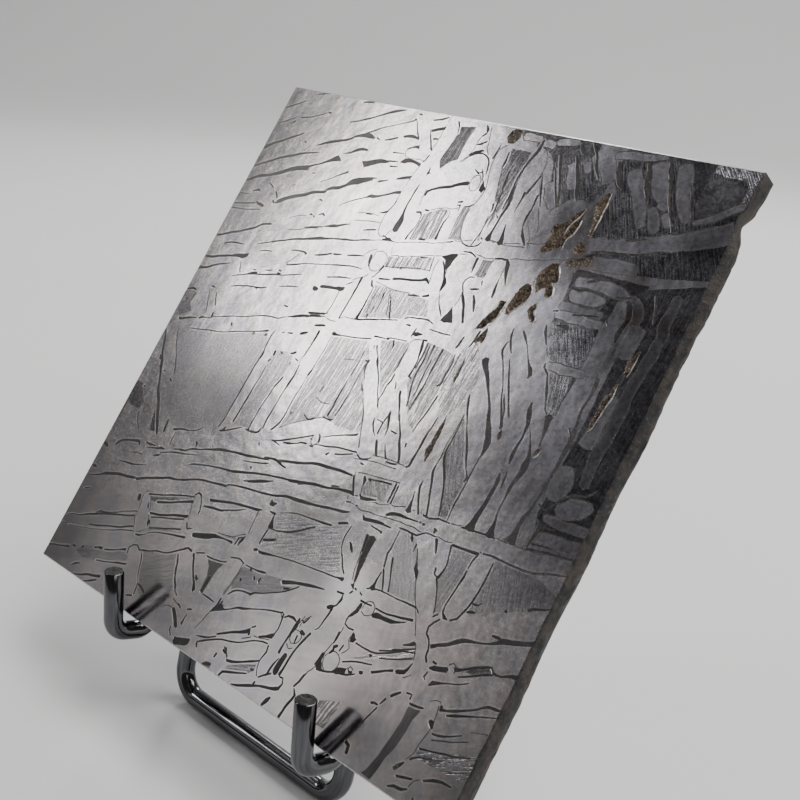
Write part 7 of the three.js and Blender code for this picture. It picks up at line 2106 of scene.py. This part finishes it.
def chrome_look():
    """The rods: plated steel, painted dark to stand in for dark reflections of a dim room, with faint lines
    and a few dull spots.
    """
    t = Tree("rod_chrome")
    place = t.place("wire_place")
    drawn = t.noise(t.stretched(place, 0.0, 0.15, 3.0), 1.0, 3.0)
    spots = t.noise(place, 1.4, 5.0, 0.7)
    color = t.mix(t.ramp(drawn, 0.35, 0.65), ROD_DARK, ROD_LIGHT)
    color = t.scaled_color(color, t.ramp(spots, 0.28, 0.42, 0.75, 1.0))
    roughness = t.plus(t.ramp(spots, 0.55, 0.75, 0.09, 0.2), t.ramp(drawn, 0.3, 0.7, 0.0, 0.04))
    normal = t.bump(drawn, 0.00001, 0.25)
    return t.surface(Base_Color=color, Metallic=1.0, Roughness=roughness, Normal=normal)


def cut_end_look():
    """The rods' saw-cut ends: bare steel with short saw marks."""
    t = Tree("rod_cut_end")
    place = t.add("ShaderNodeTexCoord").outputs["Object"]
    marks = t.noise(t.scaled(place, (900, 5200, 900)), 1.0, 3.0)
    cloud = t.noise(place, 1500.0, 3.0)
    color = t.mix(t.ramp(marks, 0.35, 0.65), ROD_END_DARK, ROD_END_BRIGHT)
    color = t.scaled_color(color, t.ramp(cloud, 0.3, 0.7, 0.7, 1.1))
    normal = t.bump(marks, 0.00004, 0.6)
    roughness = t.ramp(marks, 0.3, 0.7, 0.3, 0.45)
    return t.surface(Base_Color=color, Metallic=1.0, Roughness=roughness, Normal=normal)


# The stage in metres and degrees: a floor that sweeps up into a backdrop
BACKDROP_TURN_DEG = 43
FLOOR_HALF_WIDTH = 2.5
SWEEP_START = 0.6
SWEEP_RADIUS = 0.6
BACKDROP_TOP = 2.6
FLOOR_GREY = (0.7, 0.7, 0.7, 1)
FLOOR_PALE = (0.74, 0.74, 0.735, 1)
ROOM_COLOR = (0.87, 0.845, 0.83, 1)
ROOM_STRENGTH = 0.12

# The camera in the model's frame, as solved from the photo: its place in metres and its axes
CAMERA_LENS_MM = 54.82
CAMERA_PLACE = (0.10012, -0.09983, 0.09285)
CAMERA_RIGHT = (0.71013, 0.69853, 0.08813)
CAMERA_UP = (-0.28471, 0.17042, 0.94335)
CAMERA_BACK = (0.64394, -0.69499, 0.31989)

# Soft panels mirrored in the face: how far they stand before it, then for each one the part of the
# face that shows it, from left to right and from bottom to top in millimetres, and its power
GLARE_HEIGHT = 400
GLARES = [
    ("glare_left", 13, 24, 36, 78, 0.05),
    ("glare_middle", 26, 43, 31, 78, 0.7),
    ("glare_low", 38, 62, -6, 20, 0.036),
    ("glare_bottom", -10, 72, -12, 13, 0.03),
]

# Where the face's upper bevel glints
GLINT_PLACE = (50, 75.9, 0)


def make_stage():
    """A pale floor that curves up into a backdrop behind the object, as seen from the camera."""
    azimuth = math.radians(BACKDROP_TURN_DEG)
    away = Vector((-math.sin(azimuth), math.cos(azimuth), 0))
    sideways = Vector((away.y, -away.x, 0))
    profile = [(-FLOOR_HALF_WIDTH, 0), (SWEEP_START, 0)]
    for degrees in range(6, 91, 6):
        turn = math.radians(degrees)
        forth, up = SWEEP_RADIUS * math.sin(turn), SWEEP_RADIUS * math.cos(turn)
        profile.append((SWEEP_START + forth, SWEEP_RADIUS - up))
    profile.append((SWEEP_START + SWEEP_RADIUS, BACKDROP_TOP))
    vertices = []
    for side in (-FLOOR_HALF_WIDTH, FLOOR_HALF_WIDTH):
        vertices += [away * forth + sideways * side + Vector((0, 0, up)) for forth, up in profile]
    count = len(profile)
    polygons = [(i, i + count, i + count + 1, i + 1) for i in range(count - 1)]
    t = Tree("pale_floor")
    place = t.add("ShaderNodeTexCoord").outputs["Object"]
    color = t.mix(t.noise(place, 6.0, 3.0), FLOOR_GREY, FLOOR_PALE)
    material = t.surface(Base_Color=color, Roughness=0.8)
    return make_object("floor", vertices, polygons, [material], [0] * (count - 1), [True] * (count - 1))


def add_light(name, target, direction, distance, width, height, power):
    """An area light that shines at a target from some distance in a direction, in metres and watts."""
    light = bpy.data.lights.new(name, "AREA")
    light.shape = "RECTANGLE"
    light.size = width
    light.size_y = height
    light.energy = power
    lamp = bpy.data.objects.new(name, light)
    direction = Vector(direction).normalized()
    lamp.location = Vector(target) + direction * distance
    lamp.rotation_mode = "QUATERNION"
    lamp.rotation_quaternion = direction.to_track_quat("Z", "Y")
    bpy.context.scene.collection.objects.link(lamp)
    return lamp


def make_camera():
    camera = bpy.data.cameras.new("camera")
    camera.lens = CAMERA_LENS_MM
    camera.sensor_width = 36
    camera.clip_start = 0.005
    camera.clip_end = 20
    viewer = bpy.data.objects.new("camera", camera)
    turned = Matrix((CAMERA_RIGHT, CAMERA_UP, CAMERA_BACK)).transposed()
    viewer.matrix_world = Matrix.Translation(CAMERA_PLACE) @ turned.to_4x4()
    bpy.context.scene.collection.objects.link(viewer)
    bpy.context.scene.camera = viewer
    return viewer


viewer = make_camera()
camera_on_face = FACE_TO_MODEL.inverted() @ viewer.matrix_world.translation
make_stage()

world = bpy.data.worlds.new("soft_room")
world.use_nodes = True
world.node_tree.nodes["Background"].inputs["Color"].default_value = ROOM_COLOR
world.node_tree.nodes["Background"].inputs["Strength"].default_value = ROOM_STRENGTH
bpy.context.scene.world = world


def add_glare(name, x0, x1, y0, y1, power):
    """A soft panel parallel to the face, where the camera sees it mirrored in this part of the face."""
    spread = (GLARE_HEIGHT + camera_on_face.z) / camera_on_face.z
    middle = Vector(((x0 + x1) / 2, (y0 + y1) / 2, 0))
    mirrored = Vector((camera_on_face.x, camera_on_face.y, -camera_on_face.z))
    width, height = (x1 - x0) * spread / 1000, (y1 - y0) * spread / 1000
    panel = add_light(name, (0, 0, 0), (0, 0, 1), distance=1, width=width, height=height, power=power)
    place = FACE_TO_MODEL @ (mirrored + (middle - mirrored) * spread)
    panel.matrix_world = Matrix.Translation(place) @ FACE_TURN.to_4x4()


def add_glint():
    """A small light that the camera sees mirrored in the slice's upper bevel."""
    bevel_place = Vector(GLINT_PLACE)
    bevel_normal = Vector((0, 1, 1)).normalized()
    seen_from = (camera_on_face - bevel_place).normalized()
    glint_way = FACE_TURN @ (2 * bevel_normal.dot(seen_from) * bevel_normal - seen_from)
    target = FACE_TO_MODEL @ bevel_place
    add_light("bevel_glint", target, glint_way, distance=0.6, width=0.12, height=0.12, power=0.9)


for glare in GLARES:
    add_glare(*glare)
add_glint()
add_light("overhead_light", (0, 0, 0), (0.4, 0.4, 1), distance=1.1, width=0.9, height=0.9, power=17.0)
add_light("side_light", (0, 0, 0.04), (0.9, -0.25, 0.5), distance=0.9, width=0.5, height=0.5, power=1.6)

slice_looks = [
    kamacite_look(),
    intergrowth_look(),
    gap_look(),
    rim_look(),
    rust_look(),
    cut_wall_look(),
    natural_wall_look(),
]
rod_looks = [chrome_look(), cut_end_look()]
built = [
    (make_slice(slice_looks), "meteorite_slice", "meteoritic_iron"),
    (make_cradle(rod_looks), "cradle_wire", "stand_chrome"),
    (make_front_foot(rod_looks), "front_foot_wire", "stand_chrome"),
    (make_rear_leg(rod_looks), "rear_leg_wire", "stand_chrome"),
]
for piece, node, slot in built:
    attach(piece, "root")
    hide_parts(node)
